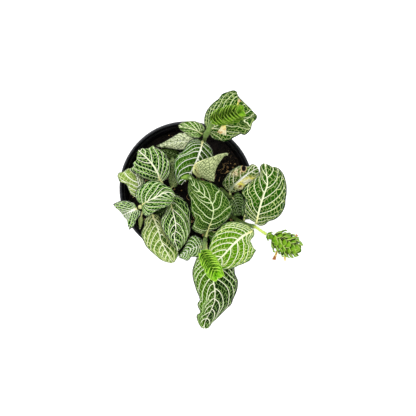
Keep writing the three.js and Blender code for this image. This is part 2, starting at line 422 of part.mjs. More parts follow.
// closed surface from a grid of rows: an upper and a lower skin, half a thickness to each side of the grid along
// the direction given for each point, joined round the edge. Each square is split along the diagonal that
// leaves both of its triangles facing the same way.
function sheet(rows, aside, thickness, flip) {
  const R = rows.length, C = rows[0].length;
  const pos = [];
  for (const side of [1, -1])
    for (let i = 0; i < R; i++)
      for (let j = 0; j < C; j++) {
        const p = rows[i][j].clone().addScaledVector(aside[i][j], (side * thickness) / 2);
        pos.push(p.x, p.y, p.z);
      }
  const top = (i, j) => i * C + j, low = (i, j) => R * C + i * C + j;
  const tri = [];
  const face = (a, b, c) => (flip ? tri.push(a, c, b) : tri.push(a, b, c));
  const facing = (i, j, a, b, c) => {
    const p = rows[a[0]][a[1]], q = rows[b[0]][b[1]], r = rows[c[0]][c[1]];
    const n = q.clone().sub(p).cross(r.clone().sub(p)).dot(aside[i][j].clone().add(aside[i + 1][j + 1]));
    return flip ? -n : n;
  };
  for (let i = 0; i < R - 1; i++)
    for (let j = 0; j < C - 1; j++) {
      const A = [i, j], B = [i + 1, j], D = [i + 1, j + 1], E = [i, j + 1];
      const one = Math.min(facing(i, j, A, B, D), facing(i, j, A, D, E));
      const two = Math.min(facing(i, j, A, B, E), facing(i, j, B, D, E));
      const split = one >= two ? [[A, B, D], [A, D, E]] : [[A, B, E], [B, D, E]];
      for (const [u, v, w] of split) {
        face(top(...u), top(...v), top(...w));
        face(low(...u), low(...w), low(...v));
      }
    }
  const loop = [];
  for (let i = 0; i < R - 1; i++) loop.push([i, 0]);
  for (let j = 0; j < C - 1; j++) loop.push([R - 1, j]);
  for (let i = R - 1; i > 0; i--) loop.push([i, C - 1]);
  for (let j = C - 1; j > 0; j--) loop.push([0, j]);
  for (let k = 0; k < loop.length; k++) {
    const [i0, j0] = loop[k], [i1, j1] = loop[(k + 1) % loop.length];
    face(top(i0, j0), low(i0, j0), low(i1, j1));
    face(top(i0, j0), low(i1, j1), top(i1, j1));
  }
  const g = new THREE.BufferGeometry();
  g.setAttribute('position', new THREE.Float32BufferAttribute(pos, 3));
  g.setIndex(tri);
  g.computeVertexNormals();
  return g;
}

const bell = (t) => Math.pow(Math.min(t / 0.15, 1), 0.7) * (0.25 + 0.75 * Math.pow(Math.min((1 - t) / 0.4, 1), 0.6));

function leafGeometry(leaf) {
  const rows = [], aside = [];
  const UP = new THREE.Vector3(0, 0, 1);
  const pet = leaf.petiole.map(v3);
  const base = new THREE.Vector3(...leaf.stations[0].slice(0, 3));
  const line = [...pet, base];
  const first = leaf.stations[leaf.folded ? 0 : 1]; // the petiole is as level across as the blade it carries
  const across0 = new THREE.Vector3(...first.slice(3, 6)).sub(new THREE.Vector3(...first.slice(6, 9)));
  for (let k = 0; k < pet.length; k++) {
    const dir = line[k + 1].clone().sub(line[Math.max(k - 1, 0)]).normalize();
    const across = across0.clone().addScaledVector(dir, -across0.dot(dir)).normalize();
    const off = dir.clone().cross(across).normalize();
    if (leaf.flip) off.negate();
    rows.push(LEAF_COLUMNS.map((s) => line[k].clone().addScaledVector(across, s * PETIOLE_HALF_WIDTH)));
    aside.push(LEAF_COLUMNS.map(() => off));
  }
  // a folded blade is creased along its midrib: its half A lies under its half B
  const n = leaf.stations.length;
  leaf.stations.forEach((st, i) => {
    const t = i / (n - 1);
    const m = new THREE.Vector3(...st.slice(0, 3)), a = new THREE.Vector3(...st.slice(3, 6)), b = new THREE.Vector3(...st.slice(6, 9));
    rows.push(LEAF_COLUMNS.map((s) => {
      const q = Math.abs(s), edge = s > 0 ? a : b;
      const p = m.clone().lerp(edge, q);
      const under = leaf.folded && s > 0; // the lower half of a folded blade drops away from the crease at once
      p.z = m.z + (edge.z - m.z) * Math.pow(q, under ? 0.7 : 1.7) + (under ? 0 : leaf.bulge * 4 * q * (1 - q) * bell(t));
      return p;
    }));
    aside.push(LEAF_COLUMNS.map(() => UP));
  });
  // the two halves of a folded blade face different ways, so its thickness follows the surface
  if (leaf.folded)
    for (let i = pet.length; i < rows.length; i++)
      for (let j = 0; j < LEAF_COLUMNS.length; j++) {
        const c = i === pet.length ? (LEAF_COLUMNS.length - 1) / 2 : j; // at the blade's foot the midrib alone gives the way
        const along = rows[Math.min(i + 1, rows.length - 1)][c].clone().sub(rows[i - 1][c]);
        const across = rows[i][Math.min(j + 1, LEAF_COLUMNS.length - 1)].clone().sub(rows[i][Math.max(j - 1, 0)]);
        aside[i][j] = along.cross(across).normalize().multiplyScalar(leaf.flip ? -1 : 1);
      }
  return sheet(rows, aside, leaf.folded ? FOLDED_LEAF_THICKNESS : LEAF_THICKNESS, leaf.flip);
}

// a spike: tiers of flared bracts round an axis, drawn in and pointed at the tip
function spikeGeometry(s) {
  const foot = v3(s.foot), tip = v3(s.tip), length = foot.distanceTo(tip);
  const profile = [new THREE.Vector2(0, 0), new THREE.Vector2(0.45, 0)];
  for (let k = 0; k < s.tiers; k++) {
    const a = k / s.tiers, fat = Math.pow(Math.sin(Math.PI * Math.min(0.16 + a * 0.8, 1)), 0.55);
    profile.push(new THREE.Vector2(0.62 * fat, (a + 0.25 / s.tiers) * length));
    profile.push(new THREE.Vector2(fat, (a + 0.85 / s.tiers) * length));
  }
  profile.push(new THREE.Vector2(0, length));
  const g = new THREE.LatheGeometry(profile, 12);
  // the lathe turns about Y: lay that along the spike's axis, with its broad side level
  const y = tip.clone().sub(foot).normalize();
  const x = new THREE.Vector3(-y.y, y.x, 0).normalize();
  const z = x.clone().cross(y).normalize();
  g.scale(s.halfWidth, 1, s.halfHeight);
  g.applyMatrix4(new THREE.Matrix4().makeBasis(x, y, z));
  g.translate(foot.x, foot.y, foot.z);
  return g;
}

// a withered flower: a limp tapering strip with a little body
function witheredGeometry(w) {
  const a = v3(w.root), b = v3(w.tip);
  const dir = b.clone().sub(a).normalize();
  const across = new THREE.Vector3(-dir.y, dir.x, 0).normalize();
  const up = across.clone().cross(dir).normalize();
  const rows = [];
  for (let k = 0; k < 4; k++) {
    const t = k / 3, half = w.halfRoot + (w.halfTip - w.halfRoot) * t;
    const mid = a.clone().lerp(b, t).addScaledVector(up, 0.5 * Math.sin(Math.PI * t));
    rows.push([-1, 0, 1].map((s) => mid.clone().addScaledVector(across, s * half).addScaledVector(up, 0.35 * Math.abs(s) * half)));
  }
  return sheet(rows, rows.map((r) => r.map(() => up.clone().negate())), 0.6, false);
}

// ---------------------------------------------------------------- the pieces
const plant = new THREE.Group();
plant.name = 'potted_nerve_plant';
function add(name, geometry, colour, roughness, metalness = 0) {
  const mesh = new THREE.Mesh(geometry, new THREE.MeshStandardMaterial({ color: colour, roughness, metalness }));
  mesh.name = name;
  plant.add(mesh);
}

// pot: one thin wall turned about the axis, with an upright band and a rolled lip at the top
const outside = (z) => POT_BASE_RADIUS + (POT_SHOULDER_RADIUS - POT_BASE_RADIUS) * (z / POT_BAND_FOOT);
const inside = (z) => outside(z) - POT_WALL;
const potProfile = [
  [0, 0],
  [POT_BASE_RADIUS - 1, 0],
  [POT_BASE_RADIUS, 1],
  [POT_SHOULDER_RADIUS, POT_BAND_FOOT],
  [POT_BAND_RADIUS - 0.2, POT_BAND_FOOT + 0.9],
  [POT_BAND_RADIUS, POT_HEIGHT - 2.4],
  [POT_RIM_RADIUS, POT_HEIGHT - 1.7],
  [POT_RIM_RADIUS, POT_HEIGHT - 0.6],
  [POT_RIM_RADIUS - 0.6, POT_HEIGHT],
  [POT_BAND_RADIUS - 0.5, POT_HEIGHT],
  [POT_BAND_RADIUS - POT_WALL, POT_HEIGHT - 0.7],
  [POT_BAND_RADIUS - 0.2 - POT_WALL, POT_BAND_FOOT + 1.4],
  [inside(POT_BAND_FOOT) + 0.1, POT_BAND_FOOT + 0.4],
  [inside(POT_FLOOR + 1), POT_FLOOR + 1],
  [inside(POT_FLOOR) - 1, POT_FLOOR],
  [0, POT_FLOOR],
].map(([r, z]) => new THREE.Vector2(r, z));
const potTurned = new THREE.LatheGeometry(potProfile, POT_SEGMENTS);
potTurned.rotateX(Math.PI / 2);
let pot = toManifold(potTurned);
for (let i = 0; i < DRAIN_COUNT; i++) {
  const a = ((i + 0.5) / DRAIN_COUNT) * 2 * Math.PI;
  const drill = new THREE.CylinderGeometry(DRAIN_RADIUS, DRAIN_RADIUS, 8, 12);
  drill.rotateX(Math.PI / 2);
  drill.translate(DRAIN_CIRCLE * Math.cos(a), DRAIN_CIRCLE * Math.sin(a), 0.5);
  pot = pot.subtract(toManifold(drill));
}
add('pot', fromManifold(pot), 0x191b21, 0.45);

// soil: a lumpy plug that fills the pot up to SOIL_TOP, with a hole where each stem goes in
{
  const rings = [9, 18, 27, 36, inside(SOIL_TOP) - CLEARANCE - 0.35];
  const sides = 24;
  const pos = [0, 0, SOIL_TOP + SOIL_BUMP * lump(0, 0)];
  const tri = [];
  for (const r of rings)
    for (let k = 0; k < sides; k++) {
      const a = (k / sides) * 2 * Math.PI, x = r * Math.cos(a), y = r * Math.sin(a);
      pos.push(x, y, SOIL_TOP + SOIL_BUMP * lump(x, y));
    }
  const at = (ring, k) => 1 + ring * sides + (k % sides);
  for (let k = 0; k < sides; k++) tri.push(0, at(0, k), at(0, k + 1));
  for (let ring = 0; ring < rings.length - 1; ring++)
    for (let k = 0; k < sides; k++)
      tri.push(at(ring, k), at(ring + 1, k), at(ring + 1, k + 1), at(ring, k), at(ring + 1, k + 1), at(ring, k + 1));
  const zFoot = POT_FLOOR + CLEARANCE, rFoot = inside(zFoot) - 1.6, low = pos.length / 3;
  for (let k = 0; k < sides; k++) {
    const a = (k / sides) * 2 * Math.PI;
    pos.push(rFoot * Math.cos(a), rFoot * Math.sin(a), zFoot);
  }
  pos.push(0, 0, zFoot);
  const last = rings.length - 1;
  for (let k = 0; k < sides; k++) {
    const k1 = (k + 1) % sides;
    tri.push(at(last, k), low + k, low + k1, at(last, k), low + k1, at(last, k1));
    tri.push(low + sides, low + k1, low + k);
  }
  const g = new THREE.BufferGeometry();
  g.setAttribute('position', new THREE.Float32BufferAttribute(pos, 3));
  g.setIndex(tri);
  let soil = toManifold(g);
  for (const s of Object.values(STEMS)) {
    const buried = s.line.slice(0, 3).map((p) => p.slice());
    buried[0][2] -= CLEARANCE;
    soil = soil.subtract(toManifold(tube(buried, s.radius + CLEARANCE, 4)));
  }
  add('soil', fromManifold(soil), 0x2a1a10, 0.95);
}

for (const [name, s] of Object.entries(STEMS)) add(name, tube(s.line, s.radius, s.steps), 0x7d9a3c, 0.6);
for (const [name, s] of Object.entries(STALKS)) add(name, tube(s.line, STALK_RADIUS, s.steps, 8), 0xcde65a, 0.55);
for (const [name, leaf] of Object.entries(LEAVES)) add(name, leafGeometry(leaf), leaf.colour, 0.5);
for (const [name, s] of Object.entries(SPIKES)) add(name, spikeGeometry(s), 0x5f961e, 0.6);
for (const [name, w] of Object.entries(WITHERED)) add(name, witheredGeometry(w), 0xe8c878, 0.7);

export default plant;
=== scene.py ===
# A nerve plant in a small round nursery pot, seen from straight above: fine leaves with a net of pale
# veins, hairy stems, bract spikes with withered flowers, crumbly soil and a thin plastic pot.
import bpy, math
import numpy as np
from mathutils import Vector, Matrix


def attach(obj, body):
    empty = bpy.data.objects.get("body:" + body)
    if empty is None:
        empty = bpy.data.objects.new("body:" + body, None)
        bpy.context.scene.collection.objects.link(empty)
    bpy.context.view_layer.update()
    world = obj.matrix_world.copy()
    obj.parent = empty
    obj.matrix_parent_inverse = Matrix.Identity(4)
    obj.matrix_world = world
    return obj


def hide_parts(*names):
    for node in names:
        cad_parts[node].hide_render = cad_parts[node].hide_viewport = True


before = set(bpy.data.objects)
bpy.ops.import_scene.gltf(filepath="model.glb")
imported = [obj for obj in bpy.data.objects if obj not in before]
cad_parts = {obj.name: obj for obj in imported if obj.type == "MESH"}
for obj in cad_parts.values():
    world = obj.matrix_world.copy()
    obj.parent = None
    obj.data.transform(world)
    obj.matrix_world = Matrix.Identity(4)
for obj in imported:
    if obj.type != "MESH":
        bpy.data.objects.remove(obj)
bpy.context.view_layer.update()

MM = 0.001
rng = np.random.default_rng(11)

# ------------------------------------------------------------------ tables, in millimetres
# each leaf: bulge, petiole centre line, midrib, first margin, second margin, and for each half the
# side veins, each as its place along the leaf at eleven even steps from the midrib to the margin
LEAVES = {
 "leaf_top_right": dict(bulge=0.8,
  pet=[(15.51,38.94,111.83)],
  mid=[(16.55,40.15,114),(17.59,40.79,115.07),(18.63,41.43,116.11),(19.66,42.07,117.11),(20.74,42.64,118.05),(21.87,43.12,118.89),(23,43.61,119.63),(24.12,44.11,120.22),(25.25,44.63,120.67),(26.42,45.08,120.93),(27.63,45.43,121),(28.85,45.8,121),(30.06,46.16,121),(31.28,46.53,121),(32.49,46.89,121),(33.72,47.18,121),(34.97,47.42,121),(36.21,47.67,121),(37.45,47.92,121),(38.7,48.17,121),(39.94,48.42,120.98),(41.21,48.6,120.76),(42.49,48.81,120.32),(43.79,49.04,119.7),(45.09,49.29,118.93),(46.41,49.52,118.04),(47.74,49.74,117.07),(49.07,49.96,116.05),(50.42,50.18,115)],
  a=[(15.91,41.22,114),(14.66,43.22,113.6),(13.49,45.2,113.73),(13.3,47.5,113.95),(13.53,49.76,114.18),(14.19,51.9,114.89),(15.05,53.97,115.63),(16.27,55.85,116.22),(17.69,57.62,116.67),(19.33,59.22,116.93),(21.09,60.72,117),(23.02,61.98,117),(24.37,63.61,117),(25.59,65.47,117),(27.57,66.64,117),(29.78,67.31,117),(31.94,68.11,117),(34.21,68.38,117.03),(36.18,67.49,117.2),(36.91,65.35,117.37),(38.18,63.4,117.53),(39.8,61.75,117.5),(41.45,60.14,117.26),(43.11,58.56,116.85),(44.77,56.99,116.31),(46.45,55.44,115.68),(47.98,53.76,115),(49.65,52.36,114.34),(50.83,50.66,114)],
  b=[(17.48,38.38,114),(17.9,36.84,113.6),(18.62,35.45,113.73),(19.96,34.52,113.95),(21.42,33.77,114.18),(22.99,33.39,114.89),(24.59,33.11,115.63),(26.07,32.41,116.22),(27.6,32.36,116.67),(29.17,32.75,116.93),(30.73,33.16,117),(32.29,33.61,117),(33.53,34.6,117),(34.94,35.38,117),(36.39,36.11,117),(37.81,36.89,117),(39.23,37.68,117),(40.46,37.18,117.03),(41.95,36.86,117.2),(43.33,37.63,117.37),(44.55,38.64,117.53),(45.53,39.93,117.5),(46.43,41.29,117.26),(46.77,42.93,116.85),(47.22,44.55,116.31),(47.86,46.13,115.68),(49.22,47.14,115),(50.3,48.36,114.34),(50.83,49.95,114)],
  va=[(-.227,-.221,-.212,-.198,-.181,-.162,-.14,-.114,-.081,-.043,-.006),(-.165,-.158,-.147,-.132,-.113,-.091,-.066,-.036,.001,.044,.086),(-.102,-.095,-.083,-.066,-.045,-.02,.008,.041,.082,.13,.177),(-.04,-.032,-.019,0,.024,.05,.081,.118,.164,.217,.269),(.022,.031,.045,.066,.092,.121,.155,.195,.246,.304,.361),(.084,.094,.109,.132,.16,.192,.229,.272,.327,.39,.452),(.146,.158,.177,.202,.231,.262,.3,.353,.43,.515,.594),(.293,.304,.321,.345,.372,.403,.442,.496,.563,.632,.698),(.443,.45,.462,.479,.501,.527,.562,.601,.637,.674,.718),(.585,.592,.605,.632,.671,.71,.735,.756,.78,.809,.844),(.735,.744,.769,.807,.837,.852,.863,.876,.891,.909,.931),(.885,.889,.899,.916,.929,.936,.94,.946,.952,.96,.97)],
  vb=[(-.199,-.167,-.137,-.11,-.083,-.057,-.032,-.007,.017,.042,.066),(-.149,-.114,-.082,-.052,-.023,.005,.032,.06,.086,.113,.139),(-.129,-.086,-.041,.003,.046,.088,.13,.17,.209,.246,.285),(-.109,-.064,-.007,.064,.142,.22,.289,.352,.415,.481,.547),(.041,.112,.177,.239,.3,.357,.409,.461,.519,.576,.63),(.239,.319,.382,.425,.482,.586,.67,.69,.722,.784,.846),(.905,.834,.724,.723,.76,.762,.764,.766,.777,.811,.866)]),
 "leaf_top_left": dict(bulge=0.8,
  pet=[(12.07,38.18,111.29)],
  mid=[(11.07,38.44,112),(10.18,38.92,112.78),(9.3,39.4,113.47),(8.42,39.9,114.06),(7.5,40.34,114.51),(6.56,40.78,114.83),(5.58,41.11,114.99),(4.57,41.37,114.99),(3.55,41.63,114.91),(2.52,41.86,114.77),(1.49,42.09,114.53),(0.45,42.33,114.21),(-.59,42.6,113.79),(-1.63,42.91,113.27),(-2.67,43.23,112.64),(-3.72,43.56,111.88),(-4.78,43.89,111)],
  a=[(12.49,39.5,112),(13.58,40.62,111.7),(13.74,42,111.71),(13.29,43.39,112.06),(12.31,44.51,112.51),(11.15,45.43,112.83),(9.78,46.1,112.99),(8.36,46.63,112.99),(6.86,46.94,112.91),(5.35,47.25,112.77),(3.82,47.27,112.59),(2.28,47.26,112.42),(0.75,47.1,112.16),(-.76,46.85,111.82),(-2.21,46.36,111.39),(-3.56,45.7,110.89),(-4.66,44.66,110.5)],
  b=[(11.78,36.65,112),(10.78,36.04,111.43),(9.78,35.39,111.27),(8.61,35.27,111.56),(7.41,35.23,112.01),(6.23,35.31,112.33),(5.06,35.53,112.49),(3.88,35.77,112.49),(2.79,36.21,112.41),(1.79,36.89,112.27),(0.81,37.6,112.11),(-.12,38.38,111.97),(-1.05,39.17,111.76),(-1.98,39.97,111.46),(-2.91,40.78,111.08),(-3.8,41.65,110.64),(-4.67,42.53,110.38)],
  va=[(-.297,-.213,-.142,-.08,-.021,.033,.083,.131,.178,.224,.27),(-.185,-.093,-.015,.053,.117,.177,.231,.284,.335,.386,.437),(-.073,.027,.112,.186,.256,.321,.38,.437,.493,.548,.603),(.04,.167,.306,.408,.474,.527,.568,.605,.648,.702,.758),(.333,.481,.59,.659,.71,.762,.821,.883,.944,1.003,1.062),(.508,.644,.737,.789,.828,.866,.911,.96,1.009,1.058,1.105),(.683,.771,.83,.864,.889,.914,.944,.983,1.029,1.078,1.125),(.858,.897,.924,.939,.95,.962,.977,1.006,1.049,1.098,1.145)],
  vb=[(-.244,-.11,.002,.094,.178,.267,.356,.439,.516,.591,.664),(-.124,.022,.143,.243,.335,.431,.529,.619,.702,.783,.863),(.099,.247,.403,.564,.672,.742,.82,.905,.99,1.072,1.154),(.279,.398,.522,.651,.738,.793,.856,.929,1.01,1.092,1.174),(.459,.548,.641,.738,.803,.845,.892,.953,1.03,1.112,1.194),(.639,.698,.761,.825,.869,.897,.929,.977,1.05,1.132,1.214),(.819,.849,.88,.912,.934,.948,.965,1.001,1.07,1.152,1.234)]),
 "leaf_centre_top": dict(bulge=0.8,
  pet=[(12.54,33.8,101.71)],
  mid=[(11.93,33.12,103.5),(11.69,31.85,104.08),(11.45,30.58,104.62),(11.17,29.33,105.11),(10.88,28.09,105.55),(10.55,26.86,105.91),(10.11,25.68,106.2),(9.68,24.5,106.39),(9.3,23.31,106.49),(8.95,22.12,106.49),(8.59,20.93,106.46),(8.08,19.81,106.39),(7.53,18.7,106.29),(6.97,17.6,106.16),(6.41,16.49,106.01),(5.85,15.39,105.85),(5.29,14.29,105.66),(4.77,13.17,105.45),(4.26,12.05,105.1),(3.65,10.99,104.56),(2.92,10,103.88),(2.17,9.02,103.13),(1.42,8.04,102.34),(0.63,7.08,101.57),(-.16,6.12,100.86),(-.95,5.15,100.17),(-1.85,4.27,99.46),(-2.76,3.41,98.74),(-3.68,2.54,98)],
  a=[(10.99,34.57,103.5),(9.41,35.27,102.25),(7.82,35.8,101.65),(6.15,35.63,101.16),(4.54,35.24,100.71),(3.04,34.48,100.91),(1.81,33.4,101.2),(0.89,31.98,101.39),(0.05,30.52,101.49),(-.81,29.09,101.49),(-1.82,27.75,101.46),(-2.83,26.41,101.39),(-4.23,25.49,101.29),(-5.58,24.5,101.16),(-6.88,23.44,101.01),(-7.65,22,100.85),(-8.25,20.44,100.66),(-8.61,18.81,100.49),(-8.95,17.17,100.34),(-9,15.52,100.02),(-8.92,13.87,99.57),(-8.77,12.22,99.05),(-8.56,10.57,98.52),(-8.27,8.94,98.01),(-7.8,7.34,97.59),(-7.31,5.75,97.22),(-6.57,4.25,96.88),(-5.71,2.88,96.61),(-4.09,2.36,96.75)],
  b=[(13.16,33.85,103.5),(14.5,33.01,102.8),(15.77,32.04,102.54),(16.92,30.91,102.35),(17.92,29.67,102.16),(18.78,28.28,102.41),(19.46,26.82,102.7),(19.85,25.23,102.89),(19.94,23.64,102.99),(19.74,22.03,102.99),(18.96,20.68,102.96),(17.95,19.42,102.89),(16.94,18.16,102.79),(15.71,17.12,102.66),(14.45,16.12,102.51),(13.18,15.12,102.35),(11.74,14.4,102.16),(10.29,13.68,101.98),(8.82,13.01,101.77),(7.32,12.4,101.38),(6.03,11.49,100.86),(4.91,10.33,100.28),(3.84,9.12,99.66),(2.77,7.91,99.08),(1.67,6.72,98.57),(0.53,5.56,98.1),(-.61,4.39,97.65),(-1.94,3.45,97.25),(-3.27,2.49,97.12)],
  va=[(-.286,-.281,-.274,-.262,-.247,-.228,-.206,-.175,-.137,-.096,-.058),(-.216,-.21,-.202,-.189,-.172,-.15,-.124,-.09,-.046,-.001,.043),(-.145,-.139,-.129,-.115,-.096,-.072,-.043,-.005,.044,.095,.144),(-.075,-.068,-.057,-.041,-.02,.006,.038,.08,.135,.191,.245),(-.005,.003,.015,.032,.055,.084,.119,.165,.225,.287,.346),(.066,.074,.087,.106,.131,.163,.2,.25,.315,.382,.447),(.136,.147,.165,.193,.229,.274,.327,.387,.455,.53,.61),(.223,.231,.246,.269,.301,.339,.385,.439,.502,.572,.644),(.34,.356,.382,.419,.467,.521,.579,.641,.71,.791,.88),(.508,.526,.553,.593,.636,.674,.723,.805,.904,1.001,1.098),(.675,.687,.705,.731,.76,.785,.817,.871,.942,1.024,1.118),(.843,.849,.857,.87,.884,.896,.912,.938,.979,1.047,1.138)],
  vb=[(-.216,-.19,-.163,-.137,-.111,-.085,-.059,-.033,-.007,.019,.045),(-.096,-.067,-.038,-.01,.019,.047,.076,.104,.133,.162,.19),(.024,.055,.086,.118,.149,.18,.211,.242,.273,.304,.335),(.149,.177,.204,.232,.26,.287,.315,.343,.37,.398,.425),(.253,.283,.314,.344,.375,.406,.436,.467,.497,.528,.558),(.356,.383,.409,.435,.462,.488,.514,.541,.567,.593,.62),(.46,.482,.504,.526,.548,.57,.593,.615,.637,.659,.681),(.564,.582,.599,.617,.635,.653,.671,.689,.706,.724,.742),(.667,.681,.695,.708,.722,.735,.749,.763,.776,.79,.803),(.771,.78,.79,.799,.809,.818,.827,.837,.846,.855,.865),(.875,.88,.885,.89,.895,.9,.905,.911,.916,.921,.926)]),
 "leaf_folded_pale": dict(bulge=0.6,
  pet=[(9.74,8.63,94.2),(8.98,8.64,98.25),(7.97,9.14,102.22),(6.82,10.22,105.99),(5.55,11.76,109.6)],
  mid=[(5.74,14.54,112.5),(6.13,15.43,112.97),(6.53,16.31,113.42),(7.06,17.06,113.86),(7.97,17.44,114.26),(8.87,17.82,114.63),(9.77,18.21,114.96),(10.68,18.59,115.23),(11.58,18.97,115.44),(12.48,19.36,115.59),(13.39,19.72,115.73),(14.33,20,115.86),(15.27,20.27,115.99),(16.21,20.55,116.1),(17.16,20.82,116.21),(18.1,21.1,116.3),(19.04,21.37,116.37),(19.98,21.65,116.43),(20.89,22.01,116.47),(21.78,22.41,116.5),(22.68,22.82,116.49),(23.61,23.13,116.4),(24.57,23.34,116.23),(25.53,23.57,115.98),(26.5,23.8,115.67),(27.47,24.03,115.3),(28.42,24.05,114.9),(29.34,23.69,114.46),(30.25,23.33,114)],
  a=[(5.33,14.73,111.7),(6.15,15.08,111.55),(7.71,14.25,109.45),(9.02,13.71,107.54),(9.96,13.73,106.53),(10.9,13.75,106.63),(11.85,13.8,106.96),(12.79,13.91,107.23),(13.7,14.15,107.44),(14.62,14.4,107.59),(15.52,14.66,107.73),(16.39,15.03,107.86),(17.26,15.39,107.99),(18.13,15.75,108.1),(18.9,16.3,108.21),(19.65,16.86,108.3),(20.41,17.42,108.37),(21.16,17.98,108.5),(21.91,18.54,108.87),(22.65,19.09,109.23),(23.39,19.65,109.59),(24.14,20.19,109.88),(24.92,20.79,110.26),(25.67,21.69,111.02),(26.45,22.73,111.88),(27.37,23.7,112.62),(28.52,24.38,113.07),(29.63,24.41,113.13),(30.58,24.17,112.8)],
  b=[(6.47,14.21,112.3),(6.89,14.13,111.97),(7.73,11.79,109.57),(8.84,9.81,107.54),(9.88,8.89,106.53),(11.03,8.02,106.63),(12.17,7.15,106.96),(13.42,6.44,107.23),(14.7,5.8,107.44),(16.04,5.3,107.59),(17.42,4.95,107.73),(18.82,4.64,107.86),(20.23,4.4,107.99),(20.54,5.66,108.1),(20.74,7.07,108.21),(20.88,8.49,108.3),(21.02,9.9,108.37),(21.29,11.3,108.5),(21.63,12.66,108.87),(22.13,13.97,109.23),(22.76,15.23,109.59),(23.41,16.47,109.88),(24.12,17.7,110.11),(24.92,18.96,110.42),(26.01,20.25,111.03),(27.14,21.61,111.97),(28.16,22.62,112.95),(29.02,22.83,113.53),(29.92,22.5,113.4)],
  va=[(-.05,-.041,-.027,-.009,.011,.033,.058,.084,.111,.14,.17),(.03,.042,.062,.086,.113,.144,.177,.212,.25,.289,.33),(.11,.125,.15,.18,.215,.254,.296,.341,.388,.438,.49),(.21,.228,.256,.292,.332,.377,.425,.477,.532,.59,.65),(.33,.348,.378,.415,.458,.504,.555,.609,.667,.727,.79),(.46,.478,.508,.545,.588,.634,.685,.739,.797,.857,.92),(.6,.617,.644,.678,.716,.759,.805,.855,.907,.962,1.02),(.74,.754,.776,.803,.834,.869,.906,.946,.989,1.033,1.08),(.87,.88,.895,.914,.937,.961,.987,1.016,1.046,1.077,1.11)],
  vb=[(-.05,-.041,-.027,-.009,.011,.033,.058,.084,.111,.14,.17),(.03,.042,.062,.086,.113,.144,.177,.212,.25,.289,.33),(.11,.125,.15,.18,.215,.254,.296,.341,.388,.438,.49),(.21,.228,.256,.292,.332,.377,.425,.477,.532,.59,.65),(.33,.348,.378,.415,.458,.504,.555,.609,.667,.727,.79),(.46,.478,.508,.545,.588,.634,.685,.739,.797,.857,.92),(.6,.617,.644,.678,.716,.759,.805,.855,.907,.962,1.02),(.74,.754,.776,.803,.834,.869,.906,.946,.989,1.033,1.08),(.87,.88,.895,.914,.937,.961,.987,1.016,1.046,1.077,1.11)]),
 "leaf_damaged": dict(bulge=0.8,
  pet=[(32.44,-4.76,92.6)],
  mid=[(31.49,-2.14,95),(32.13,-1.44,95.69),(32.77,-.73,96.36),(33.4,-.03,97.01),(34.04,0.68,97.64),(34.67,1.38,98.23),(35.34,2.05,98.8),(36.05,2.68,99.33),(36.76,3.3,99.82),(37.48,3.92,100.28),(38.19,4.54,100.75),(38.9,5.16,101.24),(39.6,5.78,101.72),(40.31,6.4,102.19),(41.02,7.02,102.63),(41.72,7.64,103.03),(42.43,8.26,103.38),(43.14,8.88,103.66),(43.89,9.46,103.87),(44.69,9.99,103.98),(45.49,10.53,103.99),(46.31,11.04,103.91),(47.15,11.54,103.73),(47.99,12.05,103.47),(48.84,12.56,103.12),(49.7,13.06,102.7),(50.6,13.51,102.2),(51.5,13.97,101.63),(52.4,14.44,101)],
  a=[(29.29,-1.41,95),(28.5,-.25,94.22),(27.71,0.9,93.98),(26.91,2.05,93.85),(26.47,3.36,93.77),(26.79,4.62,94.23),(27.4,5.85,94.8),(28.09,7.03,95.33),(28.91,8.12,95.82),(29.73,9.22,96.28),(30.55,10.31,96.75),(31.37,11.39,97.24),(32.21,12.47,97.72),(33.3,13.27,98.19),(34.39,14.08,98.63),(35.54,14.8,99.03),(36.76,15.4,99.38),(37.99,15.98,99.7),(39.35,16.13,100.06),(40.7,16.28,100.35),(42.04,15.97,100.54),(43.37,15.63,100.64),(44.72,15.72,100.67),(46.05,16.04,100.62),(47.15,16.87,100.5),(48.46,17.3,100.34),(49.77,17.02,100.13),(50.92,16.33,99.93),(51.74,15.22,100)],
  b=[(32.96,-3.61,95),(34.04,-3.39,94.59),(35.11,-3.18,94.58),(36.18,-2.97,94.64),(37.21,-2.65,94.74),(38.21,-2.25,95.23),(39.2,-1.86,95.8),(40.18,-1.47,96.33),(41.14,-1,96.82),(42.09,-.52,97.28),(43.04,-.05,97.75),(43.97,0.43,98.24),(44.88,0.98,98.72),(45.78,1.52,99.19),(46.69,2.06,99.63),(47.57,2.64,100.03),(48.39,3.3,100.38),(49.22,3.96,100.69),(50.04,4.63,101.01),(50.87,5.29,101.26),(51.48,6.16,101.4),(52.07,7.06,101.46),(52.67,7.96,101.43),(53.16,8.9,101.33),(53.35,9.97,101.16),(53.45,11.05,100.93),(53.26,12.12,100.65),(52.93,13.15,100.35),(52.45,14.12,100.25)],
  va=[(-.241,-.232,-.218,-.202,-.184,-.164,-.136,-.096,-.042,.017,.071),(-.128,-.118,-.102,-.084,-.065,-.043,-.012,.031,.09,.155,.214),(-.015,-.003,.013,.033,.053,.078,.111,.158,.222,.293,.357),(.098,.112,.133,.163,.196,.229,.267,.316,.375,.437,.498),(.231,.245,.266,.295,.329,.369,.419,.474,.533,.595,.66),(.474,.483,.502,.533,.567,.602,.645,.693,.746,.803,.863),(.667,.7,.731,.754,.777,.809,.848,.885,.921,.967,1.019),(.847,.862,.876,.887,.897,.912,.93,.947,.964,.993,1.039)],
  vb=[(-.029,-.029,-.028,-.026,-.022,-.016,-.008,.002,.016,.037,.064),(.091,.091,.092,.094,.099,.105,.113,.124,.139,.163,.192),(.223,.225,.228,.233,.24,.251,.265,.283,.304,.329,.356),(.362,.365,.37,.381,.398,.428,.476,.537,.603,.675,.753),(.614,.617,.623,.629,.64,.662,.696,.745,.8,.859,.921),(.794,.796,.799,.802,.808,.82,.838,.864,.893,.925,.958)]),
 "leaf_right": dict(bulge=0.8,
  pet=[(50.35,-26,107.64)],
